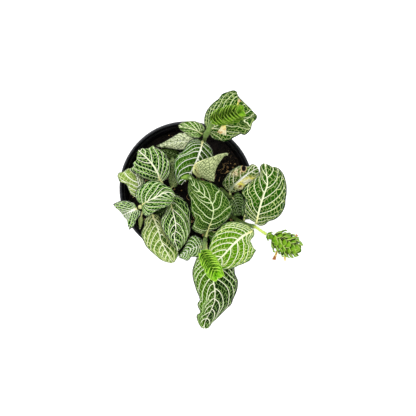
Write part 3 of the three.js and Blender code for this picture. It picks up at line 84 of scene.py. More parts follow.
  mid=[(51.02,-24.67,109),(51.23,-23.16,110.25),(51.45,-21.66,111.46),(51.67,-20.17,112.62),(51.89,-18.69,113.71),(52.12,-17.21,114.71),(52.4,-15.75,115.61),(52.71,-14.3,116.4),(53.02,-12.86,117.04),(53.4,-11.42,117.53),(53.81,-10,117.86),(54.24,-8.58,118),(54.71,-7.17,118),(55.18,-5.75,118),(55.68,-4.35,118),(56.26,-2.98,118),(56.83,-1.6,118),(57.34,-.21,118),(57.67,1.25,118),(57.96,2.7,118),(57.83,4.19,117.98),(57.72,5.68,117.72),(57.59,7.18,117.22),(57.45,8.69,116.51),(57.32,10.21,115.62),(57.2,11.74,114.59),(57.09,13.29,113.45),(56.99,14.85,112.24),(56.88,16.41,111)],
  a=[(50.08,-25.03,109),(48.31,-24.31,108.42),(46.65,-23.27,108.49),(45.06,-22.14,108.67),(43.67,-20.76,108.88),(42.62,-19.11,109.71),(41.75,-17.35,110.61),(41.47,-15.42,111.4),(41.63,-13.52,112.04),(42.05,-11.63,112.53),(42.23,-9.71,112.86),(42.11,-7.86,113),(41.04,-6.25,113),(40.07,-4.57,113),(40.14,-2.79,113),(40.86,-1,113),(41.82,0.68,113),(43.19,2.02,113.04),(44.67,3.25,113.25),(46.3,4.26,113.46),(47.89,5.33,113.66),(49.44,6.49,113.65),(50.91,7.78,113.4),(52.3,9.16,112.95),(53.07,10.98,112.35),(53.03,12.95,111.64),(53.31,14.9,110.87),(54.37,16.53,110.11),(56.12,17.41,109.75)],
  b=[(51.16,-26.46,109),(53.32,-27.4,108.24),(55.59,-27.1,108.19),(57.63,-26.06,108.28),(59.28,-24.41,108.4),(61.04,-23.69,109.21),(63.21,-23.08,110.11),(65.13,-21.91,110.9),(66.89,-20.45,111.54),(68.36,-18.68,112.03),(69.5,-16.67,112.36),(70.39,-14.54,112.5),(71.02,-12.3,112.5),(71.15,-9.97,112.5),(71.47,-7.67,112.5),(71.93,-5.39,112.5),(72.07,-3.06,112.5),(72.07,-.74,112.54),(71.91,1.58,112.77),(71.45,3.86,113.01),(70.86,6.11,113.23),(70.12,8.31,113.24),(69.13,10.41,113.01),(67.78,12.27,112.59),(66.07,13.78,112.02),(63.99,14.65,111.34),(61.73,14.88,110.61),(59.75,16.08,109.9),(57.56,16.85,109.62)],
  va=[(-.219,-.203,-.183,-.159,-.132,-.103,-.072,-.04,-.006,.029,.065),(-.127,-.11,-.088,-.062,-.032,-.001,.033,.068,.105,.144,.183),(-.036,-.017,.007,.035,.067,.102,.138,.177,.217,.259,.302),(.056,.074,.098,.128,.163,.201,.24,.277,.308,.339,.376),(.135,.163,.194,.227,.265,.307,.365,.459,.566,.649,.719),(.357,.386,.424,.468,.514,.56,.607,.656,.709,.765,.824),(.506,.539,.578,.621,.663,.706,.752,.802,.855,.912,.97),(.655,.678,.705,.736,.765,.795,.827,.861,.899,.941,.99),(.804,.817,.833,.85,.866,.883,.902,.921,.943,.971,1.01)],
  vb=[(-.17,-.157,-.141,-.125,-.107,-.088,-.069,-.046,-.018,.011,.036),(-.097,-.082,-.065,-.047,-.027,-.007,.015,.04,.071,.103,.131),(-.024,-.008,.011,.031,.052,.075,.098,.126,.16,.195,.226),(.048,.066,.087,.109,.132,.156,.182,.212,.249,.287,.32),(.121,.149,.179,.213,.25,.293,.341,.389,.436,.484,.533),(.254,.285,.322,.363,.405,.444,.484,.532,.593,.656,.712),(.401,.433,.473,.517,.559,.601,.642,.682,.721,.763,.807),(.592,.611,.635,.663,.693,.725,.758,.792,.827,.862,.899),(.772,.783,.796,.812,.829,.846,.865,.884,.903,.923,.943)]),
 "leaf_centre": dict(bulge=0.8,
  pet=[(14.77,-35.48,104.01)],
  mid=[(15.7,-30.46,107),(16.4,-28.72,108.55),(17.11,-26.99,110.03),(17.8,-25.27,111.43),(18.47,-23.55,112.72),(19.03,-21.81,113.88),(19.41,-20.02,114.89),(19.79,-18.25,115.73),(19.89,-16.44,116.38),(19.77,-14.65,116.82),(19.35,-12.89,117.03),(18.76,-11.2,117.14),(17.89,-9.62,117.25),(16.72,-8.29,117.34),(15.29,-7.2,117.41),(13.85,-6.1,117.46),(12.5,-4.91,117.49),(11.14,-3.72,117.49),(9.77,-2.53,117.1),(8.4,-1.32,116.27),(7.19,0.07,115.15),(6.04,1.52,113.91),(5.3,3.23,112.68),(4.58,4.95,111.62),(3.59,6.43,110.88),(2.05,7.47,110.3),(0.26,7.68,109.79),(-1.54,7.43,109.35),(-3.29,6.85,109)],
  a=[(14.26,-31.89,107),(12.78,-32.9,106.72),(10.88,-33.29,107.06),(8.99,-32.81,107.48),(7.27,-31.95,107.89),(5.7,-30.78,108.88),(4.34,-29.38,109.89),(4.95,-27.58,110.73),(5.73,-25.78,111.38),(6.37,-23.94,111.82),(6.53,-22.15,112.03),(5.29,-20.66,112.14),(4.49,-18.92,112.25),(3.91,-17.08,112.34),(3.72,-15.15,112.41),(3.69,-13.22,112.46),(3.93,-11.3,112.49),(3.75,-9.38,112.53),(3.25,-7.53,112.34),(2.42,-5.77,111.73),(1.84,-3.89,110.84),(1.61,-1.95,109.83),(1.58,0.02,108.85),(1.83,1.97,108.06),(2.28,3.88,107.61),(2.37,5.33,107.35),(0.43,5.6,107.21),(-1.51,5.86,107.22),(-3.33,6.47,107.75)],
  b=[(16.78,-31.53,107),(19.29,-30.7,106.53),(21.77,-29.76,106.76),(24.02,-28.35,107.08),(26.2,-26.84,107.4),(28.18,-25.1,108.38),(29.99,-23.18,109.39),(31.61,-21.11,110.23),(32.88,-18.8,110.88),(33.79,-16.34,111.32),(33.59,-13.74,111.53),(32.79,-11.25,111.64),(31.47,-8.99,111.75),(29.94,-6.85,111.84),(28.43,-4.7,111.91),(26.79,-2.68,111.96),(24.74,-1.04,111.99),(22.61,0.5,112.03),(20.62,2.22,111.87),(18.32,3.49,111.28),(15.84,4.35,110.41),(13.24,4.83,109.42),(10.61,5.19,108.47),(8.05,5.89,107.7),(5.82,7.31,107.28),(4.09,9.21,107.06),(1.51,9.49,106.95),(-1,8.75,107.01),(-3.19,7.27,107.62)],
  va=[(-.304,-.297,-.286,-.27,-.254,-.24,-.226,-.202,-.161,-.116,-.079),(-.254,-.246,-.233,-.216,-.197,-.182,-.166,-.138,-.092,-.041,.001),(-.204,-.195,-.181,-.161,-.14,-.123,-.105,-.074,-.023,.034,.081),(-.154,-.144,-.129,-.107,-.084,-.065,-.045,-.01,.046,.109,.161),(-.104,-.093,-.076,-.052,-.027,-.006,.016,.053,.115,.184,.242),(-.054,-.042,-.024,.002,.03,.052,.076,.117,.184,.259,.322),(.092,.111,.138,.173,.209,.245,.286,.337,.395,.457,.522),(.167,.192,.222,.255,.288,.331,.423,.545,.619,.672,.755),(.282,.304,.343,.421,.528,.637,.74,.839,.959,1.104,1.256),(.397,.415,.448,.514,.604,.695,.782,.868,.981,1.124,1.276),(.512,.527,.554,.607,.68,.753,.824,.897,1.003,1.144,1.296),(.628,.639,.659,.7,.755,.812,.865,.926,1.025,1.164,1.316),(.743,.751,.765,.792,.831,.87,.907,.955,1.047,1.184,1.336),(.858,.862,.87,.885,.907,.928,.949,.984,1.069,1.204,1.356)],
  vb=[(-.04,-.034,-.027,-.02,-.012,-.005,.002,.01,.021,.036,.049),(.01,.016,.024,.033,.041,.048,.056,.064,.077,.093,.108),(.06,.079,.097,.11,.122,.141,.169,.204,.245,.288,.325),(.157,.173,.192,.219,.251,.287,.318,.337,.349,.364,.386),(.292,.304,.318,.34,.374,.41,.443,.471,.496,.52,.549),(.375,.401,.427,.452,.48,.509,.528,.535,.542,.557,.579),(.441,.477,.519,.569,.618,.679,.771,.857,.927,.998,1.071),(.541,.571,.605,.646,.686,.737,.812,.884,.948,1.018,1.091),(.641,.664,.691,.724,.755,.794,.853,.912,.97,1.038,1.111),(.741,.758,.777,.801,.823,.851,.894,.939,.991,1.058,1.131),(.841,.852,.863,.878,.892,.909,.935,.966,1.012,1.078,1.151),(.941,.945,.95,.955,.96,.966,.976,.994,1.034,1.098,1.171)]),
 "leaf_lower_right": dict(bulge=0.8,
  pet=[(48.45,-30.2,106.93)],
  mid=[(47.61,-31.85,108.5),(46.32,-32.29,109.43),(45.04,-32.73,110.32),(43.76,-33.18,111.17),(42.53,-33.71,111.96),(41.36,-34.33,112.68),(40.26,-35.07,113.32),(39.21,-35.87,113.87),(38.17,-36.67,114.33),(37.15,-37.49,114.67),(36.18,-38.37,114.9),(35.23,-39.27,115),(34.27,-40.16,114.99),(33.35,-41.09,114.96),(32.46,-42.05,114.91),(31.57,-43.01,114.84),(30.69,-43.98,114.74),(29.82,-44.96,114.63),(28.96,-45.95,114.5),(28.09,-46.94,114.35),(27.17,-47.87,114.18),(26.24,-48.81,114),(25.32,-49.76,113.69),(24.31,-50.62,113.15),(23.29,-51.49,112.44),(22.28,-52.37,111.57),(21.34,-53.35,110.61),(20.49,-54.42,109.57),(19.64,-55.51,108.5)],
  a=[(47.25,-30.05,108.5),(46.53,-28.24,107.78),(45.03,-26.97,107.65),(43.26,-26.08,107.61),(41.4,-25.4,107.61),(39.47,-24.82,108.18),(37.48,-24.52,108.82),(35.48,-24.31,109.37),(33.49,-24.29,109.83),(31.5,-24.36,110.17),(29.58,-24.83,110.4),(27.86,-25.75,110.5),(26.27,-26.93,110.49),(24.87,-28.33,110.46),(23.47,-29.73,110.41),(22.07,-31.13,110.34),(20.87,-32.7,110.24),(19.78,-34.35,110.16),(18.9,-36.12,110.22),(18.13,-37.94,110.26),(17.45,-39.8,110.3),(16.97,-41.72,110.33),(16.63,-43.67,110.24),(16.44,-45.65,109.95),(16.64,-47.65,109.49),(17,-49.62,108.92),(17.69,-51.52,108.28),(18.48,-53.4,107.65),(19.29,-55.23,107.37)],
  b=[(48.68,-30.05,108.5),(49.17,-31.97,107.6),(49.2,-33.9,107.35),(48.44,-35.61,107.22),(47.17,-37.08,107.12),(46.55,-38.53,107.68),(47.41,-40.21,108.32),(48.03,-42.01,108.87),(49,-43.64,109.33),(50.35,-44.99,109.67),(49.28,-46.53,109.9),(48.41,-48.25,110),(47.54,-49.98,109.99),(46.4,-51.51,109.96),(44.94,-52.76,109.91),(43.22,-53.63,109.84),(41.49,-54.5,109.74),(39.71,-55.23,109.67),(37.83,-55.69,109.74),(36.17,-56.66,109.81),(34.43,-57.43,109.87),(32.55,-57.89,109.92),(30.65,-58.28,109.86),(28.76,-58.66,109.59),(26.84,-58.89,109.17),(24.94,-58.95,108.62),(23.09,-58.44,108.02),(21.38,-57.68,107.44),(20.01,-56.32,107.25)],
  va=[(-.29,-.288,-.282,-.272,-.258,-.24,-.216,-.182,-.139,-.084,-.022),(-.221,-.219,-.212,-.2,-.184,-.163,-.135,-.097,-.047,.017,.088),(-.153,-.149,-.142,-.129,-.11,-.087,-.055,-.012,.046,.117,.198),(-.084,-.08,-.072,-.057,-.036,-.01,.025,.074,.138,.218,.308),(-.015,-.011,-.002,.014,.038,.067,.105,.159,.23,.318,.418),(.054,.058,.068,.086,.111,.143,.186,.245,.322,.419,.528),(.123,.127,.138,.158,.185,.22,.266,.33,.414,.52,.638),(.192,.208,.233,.268,.31,.359,.412,.471,.535,.605,.68),(.308,.331,.365,.408,.46,.513,.561,.611,.667,.734,.809),(.431,.456,.492,.538,.591,.645,.691,.737,.789,.849,.92),(.598,.621,.653,.694,.738,.777,.809,.844,.889,.945,1.006),(.765,.779,.797,.821,.847,.87,.889,.909,.935,.973,1.026),(.932,.936,.942,.948,.956,.962,.968,.974,.981,1.002,1.046)],
  vb=[(-.279,-.261,-.236,-.207,-.174,-.136,-.092,-.038,.022,.082,.139),(-.159,-.139,-.112,-.08,-.042,-.001,.048,.107,.174,.24,.303),(-.039,-.017,.013,.048,.089,.134,.188,.253,.326,.398,.467),(.081,.105,.137,.176,.22,.269,.327,.398,.478,.556,.631),(.215,.238,.27,.311,.358,.412,.473,.539,.608,.68,.753),(.348,.378,.416,.464,.518,.574,.628,.685,.745,.812,.884),(.519,.552,.595,.65,.711,.773,.84,.916,.997,1.083,1.172),(.774,.781,.792,.805,.82,.838,.872,.936,1.017,1.103,1.192)]),
 "leaf_bottom": dict(bulge=0.8,
  pet=[(14.52,-39.69,101.09),(14.85,-43.47,101.33),(15.36,-47.24,101.32)],
  mid=[(16.06,-50.99,101),(16.52,-52.79,101.76),(16.98,-54.59,102.4),(17.44,-56.4,102.91),(17.9,-58.22,103.31),(18.36,-60.04,103.61),(18.75,-61.88,103.81),(19.06,-63.74,103.94),(19.4,-65.61,104),(19.86,-67.45,103.96),(20.32,-69.32,103.73),(20.66,-71.23,103.33),(20.98,-73.17,102.78),(21.14,-75.13,102.11),(21.14,-77.13,101.36),(21.11,-79.13,100.54),(20.96,-81.14,99.68),(20.81,-83.15,98.82),(20.09,-85.06,97.76),(19.34,-87,96.45),(18.58,-88.96,94.97),(17.72,-90.91,93.39),(16.86,-92.87,91.77),(15.95,-94.81,90.19),(15,-96.73,88.71),(14.19,-98.72,87.29),(13.49,-100.77,85.86),(13.35,-102.91,84.43),(13.43,-105.11,83)],
  a=[(13.15,-50.26,101),(10.95,-49.86,100.3),(8.9,-50.08,100.02),(7.46,-51.72,99.75),(6.71,-53.86,99.44),(5.88,-55.93,99.61),(5.22,-58.05,99.81),(4.7,-60.22,99.94),(4.7,-62.45,100),(4.87,-64.68,99.96),(5.31,-66.9,99.73),(5.86,-69.11,99.33),(6.49,-71.32,98.78),(7.13,-73.54,98.11),(7.81,-75.76,97.36),(8.72,-77.92,96.54),(9.45,-80.14,95.68),(9.97,-82.41,94.86),(8.68,-84.22,93.96),(8.3,-86.14,92.82),(8.97,-88.47,91.52),(9.94,-90.71,90.13),(9.76,-92.6,88.71),(7.89,-94.03,87.34),(7.48,-96.25,86.1),(8,-98.65,84.92),(8.8,-100.97,83.79),(9.91,-103.14,82.72),(11.54,-104.89,82)],
  b=[(19.69,-50.26,101),(22.21,-50.65,99.2),(24.74,-51,98.23),(27.17,-51.66,97.38),(29.46,-52.85,96.54),(31.73,-53.98,96.61),(33.44,-55.78,96.81),(35.02,-57.75,96.94),(35.57,-60.21,97),(35.78,-62.73,96.96),(36.82,-64.95,96.73),(37.8,-67.28,96.33),(38.07,-69.84,95.78),(37.91,-72.43,95.11),(37.39,-75,94.36),(36.61,-77.51,93.54),(35.54,-79.89,92.68),(34.61,-82.33,91.88),(33.83,-84.84,91.11),(32.5,-87.13,90.1),(30.58,-88.95,88.93),(28.76,-90.91,87.68),(26.97,-92.91,86.41),(25.16,-94.91,85.2),(23.34,-96.9,84.13),(21.47,-98.83,83.15),(19.51,-100.66,82.24),(18.05,-102.93,81.45),(16.43,-105.01,81.25)],
  va=[(-.15,-.148,-.144,-.137,-.126,-.111,-.092,-.068,-.04,-.009,.026),(-.092,-.09,-.085,-.077,-.064,-.048,-.026,.001,.033,.069,.107),(-.033,-.031,-.026,-.017,-.003,.016,.04,.07,.106,.146,.189),(.025,.027,.033,.043,.059,.08,.106,.139,.179,.223,.271),(.083,.086,.092,.103,.12,.143,.172,.209,.252,.3,.353),(.142,.144,.151,.164,.182,.207,.238,.278,.325,.377,.434),(.2,.206,.217,.236,.263,.297,.337,.386,.442,.509,.582),(.275,.29,.313,.344,.381,.418,.46,.516,.588,.673,.766),(.358,.367,.389,.429,.489,.571,.676,.805,.954,1.122,1.304),(.458,.466,.484,.518,.569,.638,.727,.838,.977,1.142,1.324),(.558,.564,.579,.607,.648,.705,.777,.872,1,1.162,1.344),(.658,.663,.674,.696,.728,.772,.828,.905,1.023,1.182,1.364),(.758,.761,.77,.785,.808,.838,.878,.939,1.045,1.202,1.384),(.858,.86,.865,.874,.887,.905,.928,.972,1.068,1.222,1.404)],
  vb=[(-.193,-.189,-.182,-.17,-.156,-.138,-.118,-.095,-.067,-.03,.011),(-.126,-.122,-.113,-.101,-.084,-.063,-.041,-.015,.017,.059,.105),(-.059,-.054,-.045,-.031,-.012,.011,.036,.065,.1,.147,.199),(.008,.013,.023,.039,.06,.085,.113,.144,.184,.236,.293),(.075,.081,.092,.109,.132,.159,.19,.224,.268,.325,.387),(.141,.148,.16,.179,.204,.234,.267,.304,.351,.413,.481),(.208,.216,.231,.254,.283,.319,.362,.416,.482,.554,.627),(.282,.295,.317,.35,.39,.436,.488,.558,.649,.74,.829),(.425,.445,.478,.524,.578,.64,.713,.799,.898,1.008,1.126),(.567,.583,.608,.642,.682,.729,.784,.849,.928,1.029,1.146),(.709,.72,.737,.76,.787,.818,.855,.898,.959,1.051,1.166),(.852,.857,.866,.877,.891,.907,.926,.948,.99,1.072,1.186)]),
 "leaf_small_bottom": dict(bulge=0.8,
  pet=[(13.77,-38.73,96.86)],
  mid=[(11.67,-43.17,97.5),(10.51,-43.14,98.09),(9.35,-43.12,98.55),(8.19,-43.1,98.9),(7.06,-43.33,99.16),(5.94,-43.6,99.33),(4.85,-43.96,99.43),(3.85,-44.56,99.49),(2.85,-45.16,99.5),(1.86,-45.76,99.41),(0.86,-46.38,99.16),(-.14,-47.02,98.76),(-1.14,-47.67,98.22),(-2.16,-48.32,97.56),(-3.18,-48.96,96.79),(-4.22,-49.62,95.94),(-5.26,-50.28,95)],
  a=[(13.13,-40.98,97.5),(12.61,-39.18,97),(11.61,-37.66,96.79),(10.27,-36.32,96.9),(8.61,-35.44,97.16),(6.92,-34.59,97.33),(5.1,-34.57,97.43),(3.38,-35.07,97.49),(2.25,-36.58,97.5),(1.21,-38.15,97.41),(0.44,-39.89,97.22),(-.36,-41.61,96.96),(-1.21,-43.32,96.59),(-2.15,-44.98,96.11),(-3.42,-46.44,95.55),(-4.65,-47.92,94.94),(-5.64,-49.58,94.5)],
  b=[(12.76,-45.36,97.5),(12.53,-46.82,96.46),(12.01,-48.12,95.91),(11.13,-49.23,95.9),(10.09,-50.17,96.16),(9.01,-51.06,96.33),(7.75,-50.9,96.43),(6.43,-50.41,96.49),(5.02,-50.48,96.5),(3.61,-50.56,96.41),(2.81,-51.73,96.25),(1.96,-52.84,96.07),(0.64,-53.39,95.77),(-.63,-53.05,95.38),(-1.87,-52.38,94.92),(-3.19,-51.87,94.45),(-4.55,-51.43,94.25)],
  va=[(-.05,-.041,-.027,-.009,.011,.033,.058,.084,.111,.14,.17),(.03,.042,.062,.086,.113,.144,.177,.212,.25,.289,.33),(.11,.125,.15,.18,.215,.254,.296,.341,.388,.438,.49),(.21,.228,.256,.292,.332,.377,.425,.477,.532,.59,.65),(.33,.348,.378,.415,.458,.504,.555,.609,.667,.727,.79),(.46,.478,.508,.545,.588,.634,.685,.739,.797,.857,.92),(.6,.617,.644,.678,.716,.759,.805,.855,.907,.962,1.02),(.74,.754,.776,.803,.834,.869,.906,.946,.989,1.033,1.08),(.87,.88,.895,.914,.937,.961,.987,1.016,1.046,1.077,1.11)],
  vb=[(-.05,-.041,-.027,-.009,.011,.033,.058,.084,.111,.14,.17),(.03,.042,.062,.086,.113,.144,.177,.212,.25,.289,.33),(.11,.125,.15,.18,.215,.254,.296,.341,.388,.438,.49),(.21,.228,.256,.292,.332,.377,.425,.477,.532,.59,.65),(.33,.348,.378,.415,.458,.504,.555,.609,.667,.727,.79),(.46,.478,.508,.545,.588,.634,.685,.739,.797,.857,.92),(.6,.617,.644,.678,.716,.759,.805,.855,.907,.962,1.02),(.74,.754,.776,.803,.834,.869,.906,.946,.989,1.033,1.08),(.87,.88,.895,.914,.937,.961,.987,1.016,1.046,1.077,1.11)]),
 "leaf_lower_left": dict(bulge=0.8,
  pet=[(-28.43,-14.27,91.67),(-26.75,-16.97,93.15)],
  mid=[(-24.8,-19.79,94),(-24.28,-21.07,94.61),(-23.76,-22.34,95.19),(-23.22,-23.61,95.72),(-22.68,-24.87,96.21),(-22.14,-26.13,96.64),(-21.61,-27.38,97.03),(-21.08,-28.64,97.35),(-20.55,-29.9,97.62),(-20.14,-31.2,97.82),(-19.74,-32.5,97.94),(-19.36,-33.8,98),(-19.1,-35.14,97.99),(-18.83,-36.47,97.93),(-18.49,-37.79,97.85),(-18.02,-39.07,97.72),(-17.54,-40.35,97.57),(-16.94,-41.57,97.4),(-16.34,-42.8,97.2),(-15.75,-44.03,96.98),(-15.13,-45.25,96.74),(-14.49,-46.47,96.5),(-13.85,-47.68,96.19),(-13.23,-48.91,95.76),(-12.71,-50.2,95.23),(-12.18,-51.49,94.62),(-11.5,-52.68,93.95),(-10.64,-53.78,93.24),(-9.78,-54.87,92.5)],
  a=[(-25.91,-19.42,94),(-27.55,-20.24,93.33),(-29.05,-21.24,93.1),(-30.2,-22.56,92.95),(-31.1,-24.12,92.82),(-30.95,-25.87,93.14),(-30.79,-27.63,93.53),(-31.65,-29.17,93.85),(-32.41,-30.76,94.12),(-33.02,-32.43,94.32),(-33.09,-34.16,94.44),(-32.86,-35.92,94.5),(-32.08,-37.52,94.49),(-31.3,-39.13,94.43),(-30.58,-40.76,94.35),(-29.83,-42.37,94.22),(-28.7,-43.75,94.07),(-27.51,-45.08,93.92),(-26.25,-46.34,93.87),(-24.93,-47.54,93.8),(-23.59,-48.72,93.72),(-22.25,-49.91,93.65),(-20.92,-51.09,93.51),(-19.53,-52.2,93.26),(-18.03,-53.17,92.94),(-16.46,-53.99,92.56),(-14.78,-54.57,92.14),(-13.06,-54.99,91.75),(-11.3,-55.3,91.62)],
  b=[(-23.7,-19.06,94),(-22.19,-19.09,93.7),(-20.86,-19.85,93.7),(-19.59,-20.68,93.74),(-18.9,-22.06,93.79),(-18.19,-23.43,94.14),(-17.85,-24.93,94.53),(-17.53,-26.43,94.85),(-17.12,-27.9,95.12),(-16.62,-29.35,95.32),(-16.03,-30.75,95.44),(-15.18,-32.03,95.5),(-14.33,-33.31,95.49),(-13.52,-34.61,95.43),(-12.74,-35.93,95.35),(-11.96,-37.25,95.22),(-11.06,-38.49,95.07),(-10.15,-39.73,94.92),(-9.24,-40.97,94.82),(-8.36,-42.23,94.71),(-7.49,-43.49,94.59),(-6.64,-44.78,94.46),(-5.84,-46.09,94.27),(-5.41,-47.48,93.98),(-5.79,-49,93.59),(-6.31,-50.47,93.15),(-7.1,-51.84,92.66),(-7.89,-53.2,92.17),(-8.7,-54.55,91.88)],
  va=[(-.312,-.3,-.285,-.266,-.241,-.206,-.166,-.116,-.051,.008,.06),(-.192,-.179,-.163,-.142,-.113,-.075,-.031,.025,.096,.162,.219),(-.072,-.058,-.04,-.017,.014,.056,.105,.166,.244,.315,.379),(.048,.064,.083,.108,.142,.187,.24,.307,.391,.469,.538),(.207,.22,.236,.266,.314,.368,.416,.457,.499,.548,.605),(.324,.345,.376,.414,.451,.486,.521,.557,.594,.636,.685),(.497,.506,.52,.539,.564,.588,.611,.643,.695,.748,.792),(.602,.613,.629,.652,.681,.72,.772,.829,.882,.935,.99),(.707,.715,.727,.744,.765,.794,.832,.874,.914,.958,1.01),(.811,.817,.824,.835,.849,.867,.892,.919,.946,.981,1.03),(.916,.919,.922,.927,.933,.941,.952,.964,.977,1.004,1.05)],
  vb=[(-.3,-.276,-.254,-.236,-.214,-.181,-.133,-.072,0,.083,.176),(-.183,-.157,-.131,-.111,-.088,-.05,.004,.071,.152,.245,.349),(-.067,-.037,-.009,.013,.039,.081,.14,.215,.304,.407,.521),(.05,.082,.113,.137,.166,.211,.276,.358,.456,.569,.694),(.167,.201,.235,.261,.293,.342,.413,.502,.608,.731,.867),(.283,.288,.299,.318,.347,.385,.44,.522,.628,.751,.887),(.425,.417,.411,.413,.424,.451,.516,.614,.708,.798,.907),(.55,.575,.61,.654,.727,.834,.95,1.078,1.234,1.415,1.616),(.7,.835,.911,.961,1.023,1.108,1.216,1.347,1.503,1.684,1.885)]),
 "leaf_dark_left": dict(bulge=0.8,
  pet=[(-13.63,-4.74,96.38),(-12.24,-8.55,97.75)],
  mid=[(-10.55,-12.09,99.5),(-10.23,-13.29,100.34),(-9.92,-14.48,101.16),(-9.61,-15.68,101.95),(-9.3,-16.87,102.68),(-8.97,-18.05,103.34),(-8.65,-19.23,103.92),(-8.33,-20.41,104.39),(-8.05,-21.6,104.74),(-7.84,-22.79,104.95),(-7.64,-23.99,105),(-7.44,-25.2,105),(-7.32,-26.41,105),(-7.22,-27.62,105),(-7.12,-28.83,105),(-7.12,-30.03,105),(-7.51,-31.19,105),(-7.9,-32.34,105),(-8.04,-33.55,105),(-8.17,-34.76,105),(-8.21,-35.97,104.98),(-8.05,-37.18,104.8),(-7.89,-38.41,104.43),(-7.66,-39.61,103.92),(-7.26,-40.79,103.28),(-6.86,-41.97,102.54),(-6.5,-43.17,101.73),(-6.15,-44.38,100.87),(-5.79,-45.59,100)],
  a=[(-11.64,-11.72,99.5),(-12.48,-12.82,99.24),(-13.26,-13.96,99.38),(-14.01,-15.1,99.58),(-14.6,-16.34,99.78),(-15.11,-17.6,100.34),(-15.78,-18.77,100.92),(-16.52,-19.91,101.39),(-17.26,-21.05,101.74),(-18.01,-22.19,101.95),(-18.23,-23.53,102),(-18.4,-24.89,102),(-18.23,-26.25,102),(-18.06,-27.61,102),(-17.54,-28.88,102),(-17,-30.14,102),(-16.29,-31.31,102),(-15.56,-32.47,102.02),(-14.81,-33.62,102.15),(-14.04,-34.76,102.28),(-13.28,-35.9,102.39),(-12.48,-37.01,102.35),(-11.67,-38.12,102.14),(-10.87,-39.23,101.78),(-10.07,-40.35,101.31),(-9.27,-41.48,100.77),(-8.48,-42.61,100.18),(-7.7,-43.76,99.59),(-6.92,-44.9,99.25)],
  b=[(-9.82,-10.63,99.5),(-9.3,-8.71,98.87),(-8.76,-6.8,98.78),(-7.93,-5.05,98.79),(-6.43,-4.36,98.81),(-4.75,-5.45,99.34),(-3.24,-6.77,99.92),(-1.75,-8.11,100.39),(-.34,-9.52,100.74),(1,-10.98,100.95),(2.05,-12.66,101),(2.81,-14.46,101),(3.24,-16.4,101),(3.49,-18.36,101),(3.69,-20.33,101),(3.7,-22.32,101),(3.7,-24.3,101),(3.7,-26.28,101.03),(3.65,-28.26,101.2),(3.46,-30.22,101.37),(3.1,-32.16,101.53),(2.53,-34.05,101.54),(1.84,-35.91,101.37),(1.03,-37.74,101.07),(0,-39.45,100.66),(-1.12,-41.13,100.18),(-2.37,-42.7,99.66),(-3.69,-44.23,99.17),(-5.1,-45.65,99)],
  va=[(-.309,-.304,-.295,-.278,-.252,-.215,-.168,-.1,-.017,.055,.121),(-.189,-.184,-.174,-.155,-.126,-.085,-.034,.042,.134,.214,.286),(-.069,-.064,-.052,-.032,0,.044,.101,.184,.285,.372,.451),(.051,.057,.069,.092,.126,.174,.236,.326,.436,.53,.617),(.25,.269,.302,.361,.443,.535,.621,.699,.812,.989,1.18),(.43,.444,.47,.514,.577,.647,.712,.771,.862,1.017,1.2),(.61,.62,.637,.667,.71,.758,.803,.843,.912,1.046,1.22),(.79,.795,.805,.821,.844,.87,.894,.916,.962,1.074,1.24)],
  vb=[(-.4,-.3,-.2,-.1,.039,.224,.373,.46,.535,.625,.725),(.067,.147,.232,.322,.407,.479,.546,.62,.704,.788,.867),(.388,.437,.486,.537,.591,.649,.718,.794,.857,.915,.977),(.568,.603,.637,.673,.711,.752,.801,.855,.899,.943,.997),(.748,.768,.788,.809,.832,.855,.884,.915,.941,.971,1.017),(.927,.933,.939,.945,.952,.958,.967,.976,.983,1,1.037)]),
 "leaf_left_centre": dict(bulge=0.8,
  pet=[],
  mid=[(-30.91,-12.13,108.5),(-30.06,-11.61,109.2),(-29.22,-11.09,109.88),(-28.38,-10.57,110.53),(-27.54,-10.05,111.13),(-26.66,-9.62,111.69),(-25.78,-9.21,112.19),(-24.91,-8.79,112.62),(-24.04,-8.38,112.97),(-23.16,-8.01,113.24),(-22.28,-7.66,113.42),(-21.4,-7.31,113.5),(-20.53,-6.96,113.5),(-19.71,-6.52,113.48),(-18.93,-6,113.46),(-18.15,-5.48,113.42),(-17.37,-4.96,113.37),(-16.58,-4.46,113.32),(-15.68,-4.2,113.25),(-14.78,-3.95,113.18),(-13.89,-3.69,113.09),(-12.99,-3.43,113),(-12.09,-3.33,112.82),(-11.2,-3.55,112.49),(-10.31,-3.77,112.03),(-9.47,-4.08,111.48),(-8.84,-4.74,110.86),(-8.2,-5.39,110.19),(-7.56,-6.05,109.5)],
  a=[(-31.98,-11.41,108.5),(-33.46,-10.69,108.1),(-34.54,-9.6,108.1),(-35.25,-8.16,108.16),(-35.76,-6.65,108.23),(-36.03,-5.07,108.69),(-36.06,-3.53,109.19),(-35.39,-2.06,109.62),(-34.5,-.73,109.97),(-33.45,0.5,110.24),(-32.18,1.48,110.42),(-30.87,2.41,110.5),(-29.47,3.21,110.5),(-28.07,3.99,110.48),(-26.61,4.64,110.46),(-25.11,5.2,110.42),(-23.55,5.23,110.37),(-21.95,5.03,110.34),(-20.37,4.72,110.4),(-18.8,4.41,110.45),(-17.36,3.75,110.5),(-15.99,2.89,110.55),(-14.65,2.02,110.52),(-13.32,1.14,110.35),(-11.82,0.61,110.07),(-10.58,-.27,109.71),(-9.57,-1.5,109.31),(-8.74,-2.85,108.91),(-7.95,-4.25,108.75)],
